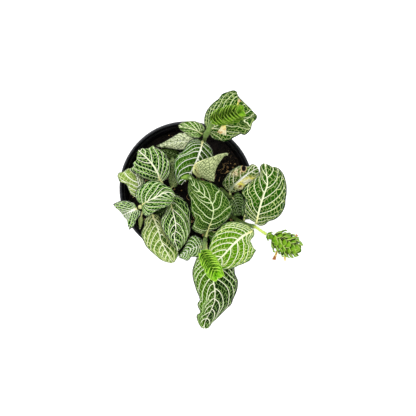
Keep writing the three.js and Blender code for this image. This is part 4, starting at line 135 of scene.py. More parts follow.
  b=[(-30.91,-13.92,108.5),(-31.16,-15.13,107.92),(-31.26,-16.33,107.8),(-30.97,-17.52,107.76),(-30.67,-18.71,107.75),(-29.82,-19.57,108.19),(-28.84,-20.35,108.69),(-27.73,-20.62,109.12),(-26.5,-20.42,109.47),(-25.39,-19.89,109.74),(-24.34,-19.24,109.92),(-23.3,-18.59,110),(-22.27,-17.94,110),(-21.24,-17.3,109.98),(-20.19,-16.67,109.96),(-19.1,-16.13,109.92),(-18.01,-15.58,109.87),(-16.87,-15.18,109.85),(-15.68,-14.88,109.92),(-14.5,-14.57,110),(-13.35,-14.14,110.07),(-12.21,-13.71,110.15),(-11.25,-12.99,110.14),(-10.39,-12.13,109.99),(-9.7,-11.15,109.74),(-9.11,-10.08,109.41),(-8.54,-9.01,109.05),(-8.08,-7.88,108.7),(-7.6,-6.75,108.62)],
  va=[(-.301,-.202,-.124,-.07,-.024,.033,.101,.178,.261,.329,.383),(-.181,-.073,.012,.07,.12,.182,.256,.34,.429,.503,.563),(.075,.127,.176,.24,.323,.411,.492,.559,.617,.671,.725),(.158,.244,.353,.481,.563,.596,.622,.66,.713,.772,.829),(.283,.477,.594,.649,.695,.758,.831,.903,.974,1.043,1.11),(.533,.684,.788,.879,.977,1.071,1.161,1.249,1.333,1.416,1.497),(.893,.928,.952,.973,1.015,1.091,1.181,1.269,1.353,1.436,1.517)],
  vb=[(-.365,-.253,-.159,-.078,-.003,.068,.135,.2,.265,.328,.39),(-.288,-.167,-.066,.022,.109,.202,.284,.35,.408,.468,.533),(-.248,-.1,.025,.137,.247,.342,.423,.514,.62,.716,.797),(.032,.174,.304,.405,.482,.556,.644,.735,.815,.888,.961),(.303,.409,.493,.567,.659,.767,.855,.924,.992,1.057,1.122),(.483,.562,.624,.679,.747,.827,.892,.948,1.012,1.077,1.142),(.663,.714,.755,.79,.835,.887,.93,.973,1.032,1.097,1.162),(.843,.867,.886,.902,.923,.947,.968,.997,1.052,1.117,1.182)]),
 "leaf_far_left": dict(bulge=0.8,
  pet=[],
  mid=[(-35.21,-15.35,108.5),(-35.53,-15.48,108.89),(-35.85,-15.61,109.21),(-36.19,-15.74,109.46),(-36.52,-15.87,109.65),(-36.86,-16,109.79),(-37.21,-16.13,109.89),(-37.56,-16.26,109.95),(-37.91,-16.39,109.98),(-38.27,-16.52,110),(-38.62,-16.64,110),(-38.99,-16.77,109.9),(-39.35,-16.94,109.69),(-39.72,-17.11,109.37),(-40.1,-17.28,108.96),(-40.49,-17.45,108.49),(-40.88,-17.63,107.98),(-41.28,-17.8,107.43),(-41.68,-17.97,106.87),(-42.07,-18.15,106.32),(-42.47,-18.32,105.79),(-42.87,-18.49,105.21),(-43.28,-18.67,104.59),(-43.7,-18.85,103.92),(-44.12,-19.02,103.2),(-44.54,-19.2,102.45),(-44.97,-19.38,101.66),(-45.41,-19.56,100.84),(-45.85,-19.74,100)],
  a=[(-35.21,-13.56,108.5),(-35.88,-12.74,107.61),(-36.52,-11.91,107.13),(-37.15,-11.08,106.7),(-38.13,-10.7,106.27),(-39.08,-10.34,106.29),(-40.02,-9.98,106.39),(-41.01,-9.77,106.45),(-42,-9.58,106.48),(-43,-9.38,106.5),(-44,-9.27,106.5),(-45.02,-9.37,106.4),(-46.06,-9.47,106.19),(-47.1,-9.57,105.87),(-48.12,-9.86,105.46),(-49.13,-10.22,104.99),(-50.15,-10.57,104.48),(-51.13,-11,103.96),(-52.1,-11.45,103.54),(-52.57,-12.07,103.14),(-52.16,-12.98,102.77),(-51.55,-13.75,102.36),(-50.88,-14.47,101.91),(-50.17,-15.14,101.42),(-49.44,-15.8,100.91),(-48.71,-16.46,100.38),(-48.05,-17.19,99.85),(-47.38,-17.92,99.35),(-46.68,-18.65,99.12)],
  b=[(-33.78,-16.07,108.5),(-33.08,-16.72,107.43),(-32.33,-17.36,106.83),(-32.31,-18.28,106.3),(-32.52,-19.3,105.79),(-33.04,-20.14,105.79),(-33.76,-20.86,105.89),(-34.46,-21.61,105.95),(-35.02,-22.46,105.98),(-35.59,-23.32,106),(-35.98,-24.25,106),(-36.27,-25.24,105.9),(-36.59,-26.23,105.69),(-37.08,-27.16,105.37),(-37.58,-28.09,104.96),(-38.39,-28.74,104.49),(-39.33,-29.29,103.98),(-40.16,-29.97,103.46),(-40.86,-30.39,103.07),(-41.22,-29.42,102.69),(-41.59,-28.44,102.33),(-41.76,-27.43,101.95),(-41.93,-26.41,101.53),(-42.15,-25.4,101.07),(-42.61,-24.46,100.59),(-43.08,-23.51,100.09),(-43.69,-22.67,99.59),(-44.48,-21.94,99.14),(-45.23,-21.2,99)],
  va=[(-.294,-.192,-.106,-.032,.035,.101,.168,.232,.287,.339,.392),(-.174,-.063,.031,.111,.184,.255,.329,.398,.458,.514,.572),(-.019,.08,.177,.278,.365,.423,.469,.513,.557,.603,.654),(.155,.264,.371,.46,.518,.559,.597,.635,.678,.726,.776),(.392,.483,.558,.612,.649,.68,.712,.75,.79,.829,.868),(.572,.636,.689,.727,.753,.774,.797,.824,.852,.88,.907),(.752,.789,.82,.842,.857,.869,.882,.898,.914,.93,.946),(.932,.942,.95,.956,.961,.964,.968,.972,.976,.981,.985)],
  vb=[(-.319,-.235,-.164,-.103,-.049,.001,.05,.104,.159,.208,.255),(-.199,-.107,-.029,.038,.097,.151,.205,.264,.324,.378,.429),(-.079,.021,.106,.178,.243,.302,.36,.424,.49,.549,.604),(.071,.165,.251,.34,.424,.482,.524,.565,.612,.663,.715),(.244,.351,.457,.546,.614,.667,.702,.725,.745,.772,.812),(.417,.499,.581,.65,.703,.743,.771,.788,.803,.824,.855),(.59,.648,.705,.754,.791,.819,.839,.851,.862,.876,.898),(.763,.796,.83,.858,.879,.895,.907,.914,.92,.928,.941),(.936,.945,.954,.962,.967,.972,.975,.977,.978,.981,.984)]),
 "leaf_upper_left": dict(bulge=0.8,
  pet=[(-15.59,-.73,97.05),(-16.98,2.62,98.2)],
  mid=[(-18.96,5.79,99),(-19.2,6.69,99.84),(-19.43,7.58,100.65),(-19.66,8.47,101.43),(-19.9,9.36,102.15),(-20.14,10.25,102.82),(-20.54,11.08,103.42),(-20.96,11.9,103.94),(-21.4,12.72,104.36),(-21.83,13.55,104.69),(-22.3,14.37,104.91),(-22.85,15.14,105),(-23.42,15.91,105),(-23.98,16.69,104.98),(-24.55,17.47,104.96),(-25.12,18.24,104.92),(-25.76,18.96,104.88),(-26.4,19.68,104.82),(-27.05,20.41,104.76),(-27.69,21.13,104.68),(-28.38,21.81,104.6),(-29.11,22.44,104.5),(-29.85,23.09,104.27),(-30.61,23.76,103.81),(-31.39,24.44,103.16),(-32.18,25.14,102.36),(-32.98,25.84,101.46),(-33.79,26.56,100.49),(-34.61,27.28,99.5)],
  a=[(-20.42,4.7,99),(-21.74,4.84,98.74),(-23.04,4.96,98.87),(-24.32,5.11,99.06),(-25.59,5.36,99.25),(-26.83,5.6,99.82),(-28.04,5.91,100.42),(-29.21,6.38,100.94),(-30.38,6.84,101.36),(-31.55,7.35,101.69),(-32.7,7.92,101.91),(-33.85,8.5,102),(-35.02,9.09,102),(-36.18,9.67,101.98),(-37.35,10.25,101.96),(-38.4,11.02,101.92),(-39.4,11.86,101.88),(-40.01,12.94,101.85),(-39.76,14.01,101.9),(-38.74,14.82,101.96),(-38.48,15.93,102.01),(-38.66,17.22,102.05),(-38.03,18.16,101.97),(-37,18.93,101.67),(-36.18,19.86,101.2),(-35.92,21.16,100.59),(-35.67,22.47,99.91),(-35.55,23.82,99.21),(-35.4,25.14,98.75)],
  b=[(-16.78,4.7,99),(-15.57,5.65,98.37),(-14.33,6.59,98.27),(-13.36,7.77,98.26),(-12.54,9.09,98.29),(-11.83,10.45,98.82),(-11.31,11.89,99.42),(-10.89,13.35,99.94),(-10.87,14.88,100.36),(-10.86,16.41,100.69),(-11.26,17.88,100.91),(-11.75,19.34,101),(-12.41,20.73,101),(-13.18,22.07,100.98),(-13.89,23.45,100.96),(-14.58,24.83,100.92),(-15.53,26.04,100.88),(-16.63,27.13,100.85),(-17.99,27.83,100.95),(-19.37,28.52,101.05),(-20.78,29.13,101.14),(-22.17,29.77,101.24),(-23.27,30.86,101.21),(-24.48,30.48,100.96),(-25.74,29.56,100.54),(-27.01,28.7,100),(-28.6,28.85,99.39),(-30.2,28.88,98.79),(-31.78,28.81,98.5)],
  va=[(-.305,-.288,-.266,-.246,-.233,-.22,-.203,-.168,-.077,.055,.164),(-.185,-.166,-.142,-.12,-.106,-.092,-.073,-.035,.064,.209,.329),(-.065,-.044,-.018,.005,.021,.036,.057,.099,.206,.363,.494),(.067,.088,.105,.127,.171,.249,.356,.483,.617,.738,.852),(.215,.244,.295,.382,.487,.579,.645,.694,.753,.84,.946),(.515,.55,.597,.654,.708,.752,.801,.868,.946,1.028,1.114),(.695,.717,.747,.783,.816,.844,.875,.917,.973,1.048,1.134),(.875,.884,.896,.911,.925,.936,.949,.966,1.001,1.068,1.154)],
  vb=[(-.621,-.5,-.388,-.284,-.184,-.086,.008,.097,.197,.307,.407),(-.194,-.107,-.028,.045,.115,.182,.246,.308,.368,.439,.538),(-.071,.026,.116,.198,.275,.344,.411,.485,.57,.656,.736),(.198,.269,.328,.389,.461,.541,.617,.68,.738,.8,.864),(.48,.549,.615,.669,.711,.755,.797,.829,.853,.877,.9),(.765,.793,.817,.84,.867,.896,.927,.959,.987,1.012,1.037),(.945,.952,.957,.963,.969,.976,.983,.993,1.01,1.032,1.057)]),
 "leaf_rim_left": dict(bulge=0.8,
  pet=[(-30.8,-10.09,92.48)],
  mid=[(-33.23,-5.81,94.5),(-33.36,-5.12,94.95),(-33.5,-4.43,95.37),(-33.64,-3.74,95.77),(-33.78,-3.05,96.13),(-33.92,-2.36,96.46),(-34.07,-1.67,96.75),(-34.22,-.98,97),(-34.38,-.28,97.2),(-34.49,0.42,97.36),(-34.57,1.13,97.46),(-34.65,1.84,97.5),(-34.74,2.55,97.49),(-34.87,3.25,97.47),(-35.05,3.95,97.43),(-35.23,4.65,97.37),(-35.41,5.35,97.29),(-35.61,6.05,97.18),(-35.82,6.74,97.05),(-36.05,7.43,96.9),(-36.27,8.13,96.71),(-36.5,8.82,96.49),(-36.73,9.52,96.25),(-37.12,10.16,95.96),(-37.52,10.79,95.65),(-37.92,11.42,95.3),(-38.33,12.06,94.9),(-38.74,12.7,94.47),(-39.16,13.34,94)],
  a=[(-35.43,-6.55,94.5),(-36.78,-6.54,94.03),(-38.11,-6.54,93.88),(-39.14,-5.84,93.79),(-40.07,-4.92,93.72),(-40.97,-4,93.96),(-41.62,-2.91,94.25),(-42.08,-1.71,94.5),(-42.54,-.5,94.7),(-43.03,0.7,94.86),(-43.53,1.9,94.96),(-44.28,2.89,95),(-45.41,3.53,94.99),(-46.57,4.13,94.97),(-47.86,4.35,94.93),(-48.87,4.95,94.87),(-49.46,6.12,94.79),(-50.01,7.32,94.7),(-50.49,8.53,94.68),(-50.4,9.78,94.63),(-49.89,10.93,94.55),(-48.84,11.61,94.45),(-47.55,11.51,94.33),(-46.42,12.03,94.18),(-45.36,12.77,94.01),(-44.29,13.5,93.82),(-43.22,14.24,93.61),(-42,14.47,93.41),(-40.7,14.48,93.38)],
  b=[(-31.76,-3.6,94.5),(-31.51,-2.91,94.22),(-31.23,-2.23,94.18),(-30.96,-1.54,94.19),(-30.68,-.85,94.2),(-30.39,-.18,94.46),(-30.26,0.54,94.75),(-30.24,1.27,95),(-30.23,2,95.2),(-30.21,2.73,95.36),(-30.2,3.46,95.46),(-30.2,4.2,95.5),(-30.42,4.89,95.49),(-30.75,5.55,95.47),(-31.08,6.21,95.43),(-31.42,6.87,95.37),(-31.75,7.53,95.29),(-32.09,8.19,95.2),(-32.42,8.85,95.15),(-32.89,9.44,95.08),(-33.36,10.02,94.98),(-33.83,10.6,94.86),(-34.3,11.18,94.71),(-34.78,11.77,94.54),(-35.26,12.35,94.34),(-35.83,12.84,94.11),(-36.47,13.26,93.87),(-37.11,13.68,93.62),(-37.74,14.1,93.5)],
  va=[(-.123,-.105,-.084,-.06,-.035,-.012,.01,.038,.077,.114,.147),(-.003,.017,.04,.066,.093,.118,.141,.172,.214,.255,.29),(.178,.191,.205,.222,.24,.259,.281,.303,.326,.348,.371),(.328,.338,.349,.363,.384,.418,.47,.524,.555,.579,.612),(.501,.521,.549,.593,.645,.69,.727,.763,.802,.847,.895),(.792,.84,.872,.89,.907,.925,.948,.975,1.004,1.033,1.063)],
  vb=[(-.05,-.041,-.027,-.009,.011,.033,.058,.084,.111,.14,.17),(.03,.042,.062,.086,.113,.144,.177,.212,.25,.289,.33),(.11,.125,.15,.18,.215,.254,.296,.341,.388,.438,.49),(.21,.228,.256,.292,.332,.377,.425,.477,.532,.59,.65),(.33,.348,.378,.415,.458,.504,.555,.609,.667,.727,.79),(.46,.478,.508,.545,.588,.634,.685,.739,.797,.857,.92),(.6,.617,.644,.678,.716,.759,.805,.855,.907,.962,1.02),(.74,.754,.776,.803,.834,.869,.906,.946,.989,1.033,1.08),(.87,.88,.895,.914,.937,.961,.987,1.016,1.046,1.077,1.11)]),
 "leaf_old_grey": dict(bulge=0.8,
  pet=[(11.69,33.79,100),(8.24,34.4,97.24)],
  mid=[(5.74,34.73,93.5),(4.01,34.55,93.1),(2.28,34.44,92.64),(0.53,34.49,92.12),(-1.23,34.57,91.54),(-2.98,34.79,90.93),(-4.74,35.01,90.27),(-6.47,34.73,89.57),(-8.22,34.46,88.78),(-9.94,34.06,87.91),(-11.66,33.63,86.97),(-13.41,33.26,86),(-15.17,32.92,85),(-16.93,32.58,83.96),(-18.75,32.42,82.86),(-20.57,32.27,81.7),(-22.4,32.12,80.5)],
  a=[(5.74,36.58,93.5),(3.96,37.59,92.02),(2.17,38.58,90.88),(0.56,39.8,90.12),(-1.04,41.02,89.54),(-3.02,41.28,88.93),(-4.98,41.4,88.27),(-6.7,40.45,87.57),(-8.43,39.51,86.78),(-10.17,38.57,85.91),(-11.92,37.63,85.03),(-13.66,36.68,84.2),(-15.42,35.73,83.37),(-17.22,34.85,82.51),(-19.06,34.04,81.61),(-20.92,33.27,80.71),(-22.81,32.54,80)],
  b=[(5.74,32.89,93.5),(4.08,32.23,91.75),(2.42,31.52,90.44),(0.84,30.67,89.62),(-.55,29.51,89.04),(-2,28.49,88.43),(-3.86,28.54,87.77),(-5.71,28.6,87.07),(-7.57,28.86,86.28),(-9.42,29.23,85.41),(-11.27,29.61,84.54),(-13.12,30.04,83.76),(-14.98,30.42,82.96),(-16.87,30.55,82.15),(-18.77,30.68,81.3),(-20.63,31.13,80.46),(-22.45,31.72,79.88)],
  va=[(-.05,-.041,-.027,-.009,.011,.033,.058,.084,.111,.14,.17),(.03,.042,.062,.086,.113,.144,.177,.212,.25,.289,.33),(.11,.125,.15,.18,.215,.254,.296,.341,.388,.438,.49),(.21,.228,.256,.292,.332,.377,.425,.477,.532,.59,.65),(.33,.348,.378,.415,.458,.504,.555,.609,.667,.727,.79),(.46,.478,.508,.545,.588,.634,.685,.739,.797,.857,.92),(.6,.617,.644,.678,.716,.759,.805,.855,.907,.962,1.02),(.74,.754,.776,.803,.834,.869,.906,.946,.989,1.033,1.08),(.87,.88,.895,.914,.937,.961,.987,1.016,1.046,1.077,1.11)],
  vb=[(-.05,-.041,-.027,-.009,.011,.033,.058,.084,.111,.14,.17),(.03,.042,.062,.086,.113,.144,.177,.212,.25,.289,.33),(.11,.125,.15,.18,.215,.254,.296,.341,.388,.438,.49),(.21,.228,.256,.292,.332,.377,.425,.477,.532,.59,.65),(.33,.348,.378,.415,.458,.504,.555,.609,.667,.727,.79),(.46,.478,.508,.545,.588,.634,.685,.739,.797,.857,.92),(.6,.617,.644,.678,.716,.759,.805,.855,.907,.962,1.02),(.74,.754,.776,.803,.834,.869,.906,.946,.989,1.033,1.08),(.87,.88,.895,.914,.937,.961,.987,1.016,1.046,1.077,1.11)]),
 "leaf_dark_under_right": dict(bulge=0.8,
  pet=[],
  mid=[(34.18,-6.87,91.5),(34.69,-7.62,91.83),(35.21,-8.36,92.08),(35.74,-9.1,92.26),(36.16,-9.89,92.38),(36.5,-10.74,92.45),(36.83,-11.58,92.48),(37.17,-12.42,92.5),(37.51,-13.27,92.5),(37.85,-14.11,92.41),(38.2,-14.95,92.14),(38.55,-15.8,91.71),(38.91,-16.64,91.16),(39.17,-17.53,90.49),(39.4,-18.42,89.72),(39.63,-19.32,88.89),(39.87,-20.22,88)],
  a=[(33.07,-7.61,91.5),(32.39,-8.58,91.02),(31.7,-9.55,90.76),(31.19,-10.6,90.76),(31.04,-11.78,90.88),(30.89,-12.97,90.95),(31.11,-14.14,90.98),(31.4,-15.3,91),(31.69,-16.46,91),(31.99,-17.61,90.91),(32.78,-18.52,90.68),(33.58,-19.42,90.37),(34.38,-20.32,89.93),(35.48,-20.65,89.4),(36.7,-20.75,88.79),(37.92,-20.86,88.14),(39.14,-20.97,87.62)],
  b=[(35.28,-4.65,91.5),(36.49,-3.61,91.02),(37.68,-2.56,90.76),(38.83,-2.61,90.76),(39.94,-3.73,90.88),(41.06,-4.84,90.95),(41.75,-6.24,90.98),(42.37,-7.69,91),(42.99,-9.14,91),(43.48,-10.62,90.91),(43.63,-12.19,90.68),(43.77,-13.76,90.37),(43.67,-15.31,89.93),(43.24,-16.82,89.4),(42.81,-18.34,88.79),(41.73,-19.47,88.14),(40.63,-20.6,87.62)],
  va=[(-.05,-.041,-.027,-.009,.011,.033,.058,.084,.111,.14,.17),(.03,.042,.062,.086,.113,.144,.177,.212,.25,.289,.33),(.11,.125,.15,.18,.215,.254,.296,.341,.388,.438,.49),(.21,.228,.256,.292,.332,.377,.425,.477,.532,.59,.65),(.33,.348,.378,.415,.458,.504,.555,.609,.667,.727,.79),(.46,.478,.508,.545,.588,.634,.685,.739,.797,.857,.92),(.6,.617,.644,.678,.716,.759,.805,.855,.907,.962,1.02),(.74,.754,.776,.803,.834,.869,.906,.946,.989,1.033,1.08),(.87,.88,.895,.914,.937,.961,.987,1.016,1.046,1.077,1.11)],
  vb=[(-.05,-.041,-.027,-.009,.011,.033,.058,.084,.111,.14,.17),(.03,.042,.062,.086,.113,.144,.177,.212,.25,.289,.33),(.11,.125,.15,.18,.215,.254,.296,.341,.388,.438,.49),(.21,.228,.256,.292,.332,.377,.425,.477,.532,.59,.65),(.33,.348,.378,.415,.458,.504,.555,.609,.667,.727,.79),(.46,.478,.508,.545,.588,.634,.685,.739,.797,.857,.92),(.6,.617,.644,.678,.716,.759,.805,.855,.907,.962,1.02),(.74,.754,.776,.803,.834,.869,.906,.946,.989,1.033,1.08),(.87,.88,.895,.914,.937,.961,.987,1.016,1.046,1.077,1.11)]),
 "leaf_grey_mid": dict(bulge=0.8,
  pet=[(-11.5,0.19,86)],
  mid=[(-10.08,1.05,86),(-10.05,2.43,86.63),(-10.03,3.81,87.16),(-10.01,5.19,87.6),(-10.07,6.58,87.94),(-10.16,7.96,88.19),(-10.25,9.35,88.37),(-10.35,10.73,88.47),(-10.43,12.13,88.5),(-10.52,13.52,88.44),(-10.62,14.92,88.26),(-10.72,16.33,87.96),(-10.75,17.75,87.56),(-10.78,19.18,87.06),(-10.81,20.62,86.46),(-10.84,22.06,85.77),(-10.88,23.52,85)],
  a=[(-12.32,1.05,86),(-12.69,2.47,85.82),(-13.04,3.88,85.84),(-13.38,5.29,86.1),(-13.51,6.73,86.44),(-13.6,8.17,86.69),(-13.69,9.62,86.87),(-13.79,11.07,86.97),(-13.89,12.52,87),(-14,13.98,86.94),(-14.11,15.44,86.8),(-13.96,16.89,86.62),(-13.66,18.33,86.34),(-13.38,19.78,85.97),(-13.09,21.24,85.53),(-12.19,22.39,85.03),(-11.27,23.54,84.62)],
  b=[(-7.84,0.67,86),(-7,1.96,85.82),(-6.14,3.23,85.84),(-5.6,4.6,86.1),(-5.58,6.13,86.44),(-5.57,7.65,86.69),(-5.57,9.18,86.87),(-5.84,10.68,86.97),(-6.12,12.19,87),(-6.41,13.7,86.94),(-6.69,15.22,86.8),(-6.98,16.74,86.62),(-7.28,18.26,86.34),(-7.58,19.79,85.97),(-7.93,21.31,85.53),(-9.04,22.43,85.03),(-10.15,23.54,84.62)],
  va=[(-.05,-.041,-.027,-.009,.011,.033,.058,.084,.111,.14,.17),(.03,.042,.062,.086,.113,.144,.177,.212,.25,.289,.33),(.11,.125,.15,.18,.215,.254,.296,.341,.388,.438,.49),(.21,.228,.256,.292,.332,.377,.425,.477,.532,.59,.65),(.33,.348,.378,.415,.458,.504,.555,.609,.667,.727,.79),(.46,.478,.508,.545,.588,.634,.685,.739,.797,.857,.92),(.6,.617,.644,.678,.716,.759,.805,.855,.907,.962,1.02),(.74,.754,.776,.803,.834,.869,.906,.946,.989,1.033,1.08),(.87,.88,.895,.914,.937,.961,.987,1.016,1.046,1.077,1.11)],
  vb=[(-.05,-.041,-.027,-.009,.011,.033,.058,.084,.111,.14,.17),(.03,.042,.062,.086,.113,.144,.177,.212,.25,.289,.33),(.11,.125,.15,.18,.215,.254,.296,.341,.388,.438,.49),(.21,.228,.256,.292,.332,.377,.425,.477,.532,.59,.65),(.33,.348,.378,.415,.458,.504,.555,.609,.667,.727,.79),(.46,.478,.508,.545,.588,.634,.685,.739,.797,.857,.92),(.6,.617,.644,.678,.716,.759,.805,.855,.907,.962,1.02),(.74,.754,.776,.803,.834,.869,.906,.946,.989,1.033,1.08),(.87,.88,.895,.914,.937,.961,.987,1.016,1.046,1.077,1.11)]),
 "leaf_dark_upper": dict(bulge=0.8,
  pet=[(8.15,9.67,79.92),(6.22,13.28,79.41),(4.3,16.88,78.9),(2.38,20.48,78.39),(0.05,23.5,78.38)],
  mid=[(-3.57,24.61,80),(-4.62,24.9,80.42),(-5.68,25.2,80.76),(-6.73,25.5,81.02),(-7.79,25.82,81.22),(-8.84,26.16,81.35),(-9.89,26.51,81.44),(-10.94,26.86,81.49),(-12,27.18,81.5),(-13.1,27.36,81.44),(-14.21,27.56,81.28),(-15.32,27.76,81.01),(-16.44,27.96,80.66),(-17.58,28.09,80.22),(-18.72,28.22,79.71),(-19.87,28.36,79.13),(-21.02,28.5,78.5)],
  a=[(-3.57,26.12,80),(-4.43,26.77,79.88),(-5.28,27.41,79.88),(-6.13,28.04,80.02),(-7.03,28.56,80.22),(-8.01,28.96,80.35),(-8.99,29.36,80.44),(-9.98,29.77,80.49),(-10.96,30.18,80.5),(-12.01,30.31,80.44),(-13.08,30.41,80.31),(-14.16,30.52,80.12),(-15.23,30.63,79.84),(-16.31,30.56,79.49),(-17.38,30.38,79.08),(-18.45,30.21,78.64),(-19.53,30.03,78.25)],
  b=[(-3.94,22.72,80),(-5.02,22.61,79.88),(-6.09,22.49,79.88),(-7.16,22.36,80.02),(-8.22,22.41,80.22),(-9.29,22.49,80.35),(-10.36,22.57,80.44),(-11.43,22.66,80.49),(-12.48,22.85,80.5),(-13.53,23.11,80.44),(-14.58,23.38,80.31),(-15.64,23.66,80.12),(-16.65,24.04,79.84),(-17.55,24.68,79.49),(-18.46,25.33,79.08),(-19.37,25.98,78.64),(-20.28,26.62,78.25)],
  va=[(-.05,-.041,-.027,-.009,.011,.033,.058,.084,.111,.14,.17),(.03,.042,.062,.086,.113,.144,.177,.212,.25,.289,.33),(.11,.125,.15,.18,.215,.254,.296,.341,.388,.438,.49),(.21,.228,.256,.292,.332,.377,.425,.477,.532,.59,.65),(.33,.348,.378,.415,.458,.504,.555,.609,.667,.727,.79),(.46,.478,.508,.545,.588,.634,.685,.739,.797,.857,.92),(.6,.617,.644,.678,.716,.759,.805,.855,.907,.962,1.02),(.74,.754,.776,.803,.834,.869,.906,.946,.989,1.033,1.08),(.87,.88,.895,.914,.937,.961,.987,1.016,1.046,1.077,1.11)],
  vb=[(-.05,-.041,-.027,-.009,.011,.033,.058,.084,.111,.14,.17),(.03,.042,.062,.086,.113,.144,.177,.212,.25,.289,.33),(.11,.125,.15,.18,.215,.254,.296,.341,.388,.438,.49),(.21,.228,.256,.292,.332,.377,.425,.477,.532,.59,.65),(.33,.348,.378,.415,.458,.504,.555,.609,.667,.727,.79),(.46,.478,.508,.545,.588,.634,.685,.739,.797,.857,.92),(.6,.617,.644,.678,.716,.759,.805,.855,.907,.962,1.02),(.74,.754,.776,.803,.834,.869,.906,.946,.989,1.033,1.08),(.87,.88,.895,.914,.937,.961,.987,1.016,1.046,1.077,1.11)]),
 "leaf_young_left": dict(bulge=0.3,
  pet=[(-30.82,-13.75,91.07),(-32.34,-17.48,91.48)],
  mid=[(-33.4,-21.28,92.5),(-33.43,-21.84,92.5),(-33.46,-22.39,92.5),(-33.49,-22.95,92.5),(-33.51,-23.5,92.5),(-33.54,-24.06,92.5),(-33.58,-24.61,92.5),(-33.62,-25.17,92.5),(-33.66,-25.72,92.5),(-33.71,-26.28,92.46),(-33.76,-26.83,92.33),(-33.83,-27.39,92.13),(-33.92,-27.95,91.88),(-34.02,-28.51,91.57),(-34.12,-29.07,91.23),(-34.22,-29.63,90.87),(-34.32,-30.2,90.5)],
  a=[(-34.51,-21.28,92.5),(-34.8,-21.78,92.17),(-35.08,-22.28,91.97),(-35.34,-22.78,91.9),(-35.51,-23.3,91.9),(-35.46,-23.86,91.9),(-35.41,-24.41,91.9),(-35.36,-24.97,91.9),(-35.31,-25.53,91.9),(-35.27,-26.09,91.86),(-35.21,-26.65,91.75),(-35.1,-27.2,91.59),(-35.01,-27.75,91.39),(-34.91,-28.31,91.14),(-34.82,-28.86,90.86),(-34.73,-29.42,90.58),(-34.63,-29.98,90.35)],
  b=[(-32.3,-21.13,92.5),(-32.12,-21.69,92.17),(-31.93,-22.24,91.97),(-31.74,-22.79,91.9),(-31.67,-23.35,91.9),(-31.84,-23.91,91.9),(-32.01,-24.48,91.9),(-32.18,-25.04,91.9),(-32.35,-25.6,91.9),(-32.52,-26.17,91.86),(-32.7,-26.73,91.75),(-32.92,-27.28,91.59),(-33.16,-27.84,91.39),(-33.39,-28.39,91.14),(-33.63,-28.94,90.86),(-33.88,-29.5,90.58),(-34.11,-30.05,90.35)],
  va=[(-.05,-.041,-.027,-.009,.011,.033,.058,.084,.111,.14,.17),(.03,.042,.062,.086,.113,.144,.177,.212,.25,.289,.33),(.11,.125,.15,.18,.215,.254,.296,.341,.388,.438,.49),(.21,.228,.256,.292,.332,.377,.425,.477,.532,.59,.65),(.33,.348,.378,.415,.458,.504,.555,.609,.667,.727,.79),(.46,.478,.508,.545,.588,.634,.685,.739,.797,.857,.92),(.6,.617,.644,.678,.716,.759,.805,.855,.907,.962,1.02),(.74,.754,.776,.803,.834,.869,.906,.946,.989,1.033,1.08),(.87,.88,.895,.914,.937,.961,.987,1.016,1.046,1.077,1.11)],
  vb=[(-.05,-.041,-.027,-.009,.011,.033,.058,.084,.111,.14,.17),(.03,.042,.062,.086,.113,.144,.177,.212,.25,.289,.33),(.11,.125,.15,.18,.215,.254,.296,.341,.388,.438,.49),(.21,.228,.256,.292,.332,.377,.425,.477,.532,.59,.65),(.33,.348,.378,.415,.458,.504,.555,.609,.667,.727,.79),(.46,.478,.508,.545,.588,.634,.685,.739,.797,.857,.92),(.6,.617,.644,.678,.716,.759,.805,.855,.907,.962,1.02),(.74,.754,.776,.803,.834,.869,.906,.946,.989,1.033,1.08),(.87,.88,.895,.914,.937,.961,.987,1.016,1.046,1.077,1.11)]),
 "leaf_dark_between": dict(bulge=0.8,
  pet=[(-13.68,-3.36,86.76),(-13.79,-6.95,86.16),(-13.77,-10.44,86.84)],
  mid=[(-13.71,-13.89,88),(-14.28,-14.38,88.17),(-14.86,-14.87,88.29),(-15.44,-15.35,88.38),(-16.02,-15.84,88.44),(-16.6,-16.32,88.47),(-17.18,-16.81,88.49),(-17.76,-17.29,88.5),(-18.35,-17.78,88.5),(-18.93,-18.27,88.45),(-19.52,-18.75,88.3),(-20.12,-19.24,88.06),(-20.68,-19.78,87.75),(-21.2,-20.36,87.38),(-21.72,-20.94,86.95),(-22.25,-21.52,86.49),(-22.78,-22.11,86)],
  a=[(-14.45,-12.78,88),(-15.26,-12.97,87.62),(-16.05,-13.17,87.41),(-16.84,-13.36,87.38),(-17.6,-13.59,87.44),(-18.32,-13.95,87.47),(-19.04,-14.31,87.49),(-19.76,-14.67,87.5),(-20.47,-15.05,87.5),(-21,-15.66,87.45),(-21.54,-16.27,87.33),(-22.07,-16.89,87.16),(-22.61,-17.5,86.93),(-22.89,-18.25,86.65),(-23.11,-19.04,86.33),(-23.33,-19.83,85.99),(-23.54,-20.62,85.75)],
  b=[(-12.22,-15.38,88),(-12.24,-16.3,87.62),(-12.25,-17.22,87.41),(-12.25,-18.14,87.38),(-12.64,-18.95,87.44),(-13.15,-19.71,87.47),(-13.66,-20.48,87.49),(-14.17,-21.24,87.5),(-14.79,-21.9,87.5),(-15.58,-22.37,87.45),(-16.37,-22.85,87.33),(-17.17,-23.32,87.16),(-17.98,-23.8,86.93),(-18.87,-23.89,86.65),(-19.8,-23.8,86.33),(-20.74,-23.7,85.99),(-21.67,-23.6,85.75)],
  va=[(-.05,-.041,-.027,-.009,.011,.033,.058,.084,.111,.14,.17),(.03,.042,.062,.086,.113,.144,.177,.212,.25,.289,.33),(.11,.125,.15,.18,.215,.254,.296,.341,.388,.438,.49),(.21,.228,.256,.292,.332,.377,.425,.477,.532,.59,.65),(.33,.348,.378,.415,.458,.504,.555,.609,.667,.727,.79),(.46,.478,.508,.545,.588,.634,.685,.739,.797,.857,.92),(.6,.617,.644,.678,.716,.759,.805,.855,.907,.962,1.02),(.74,.754,.776,.803,.834,.869,.906,.946,.989,1.033,1.08),(.87,.88,.895,.914,.937,.961,.987,1.016,1.046,1.077,1.11)],
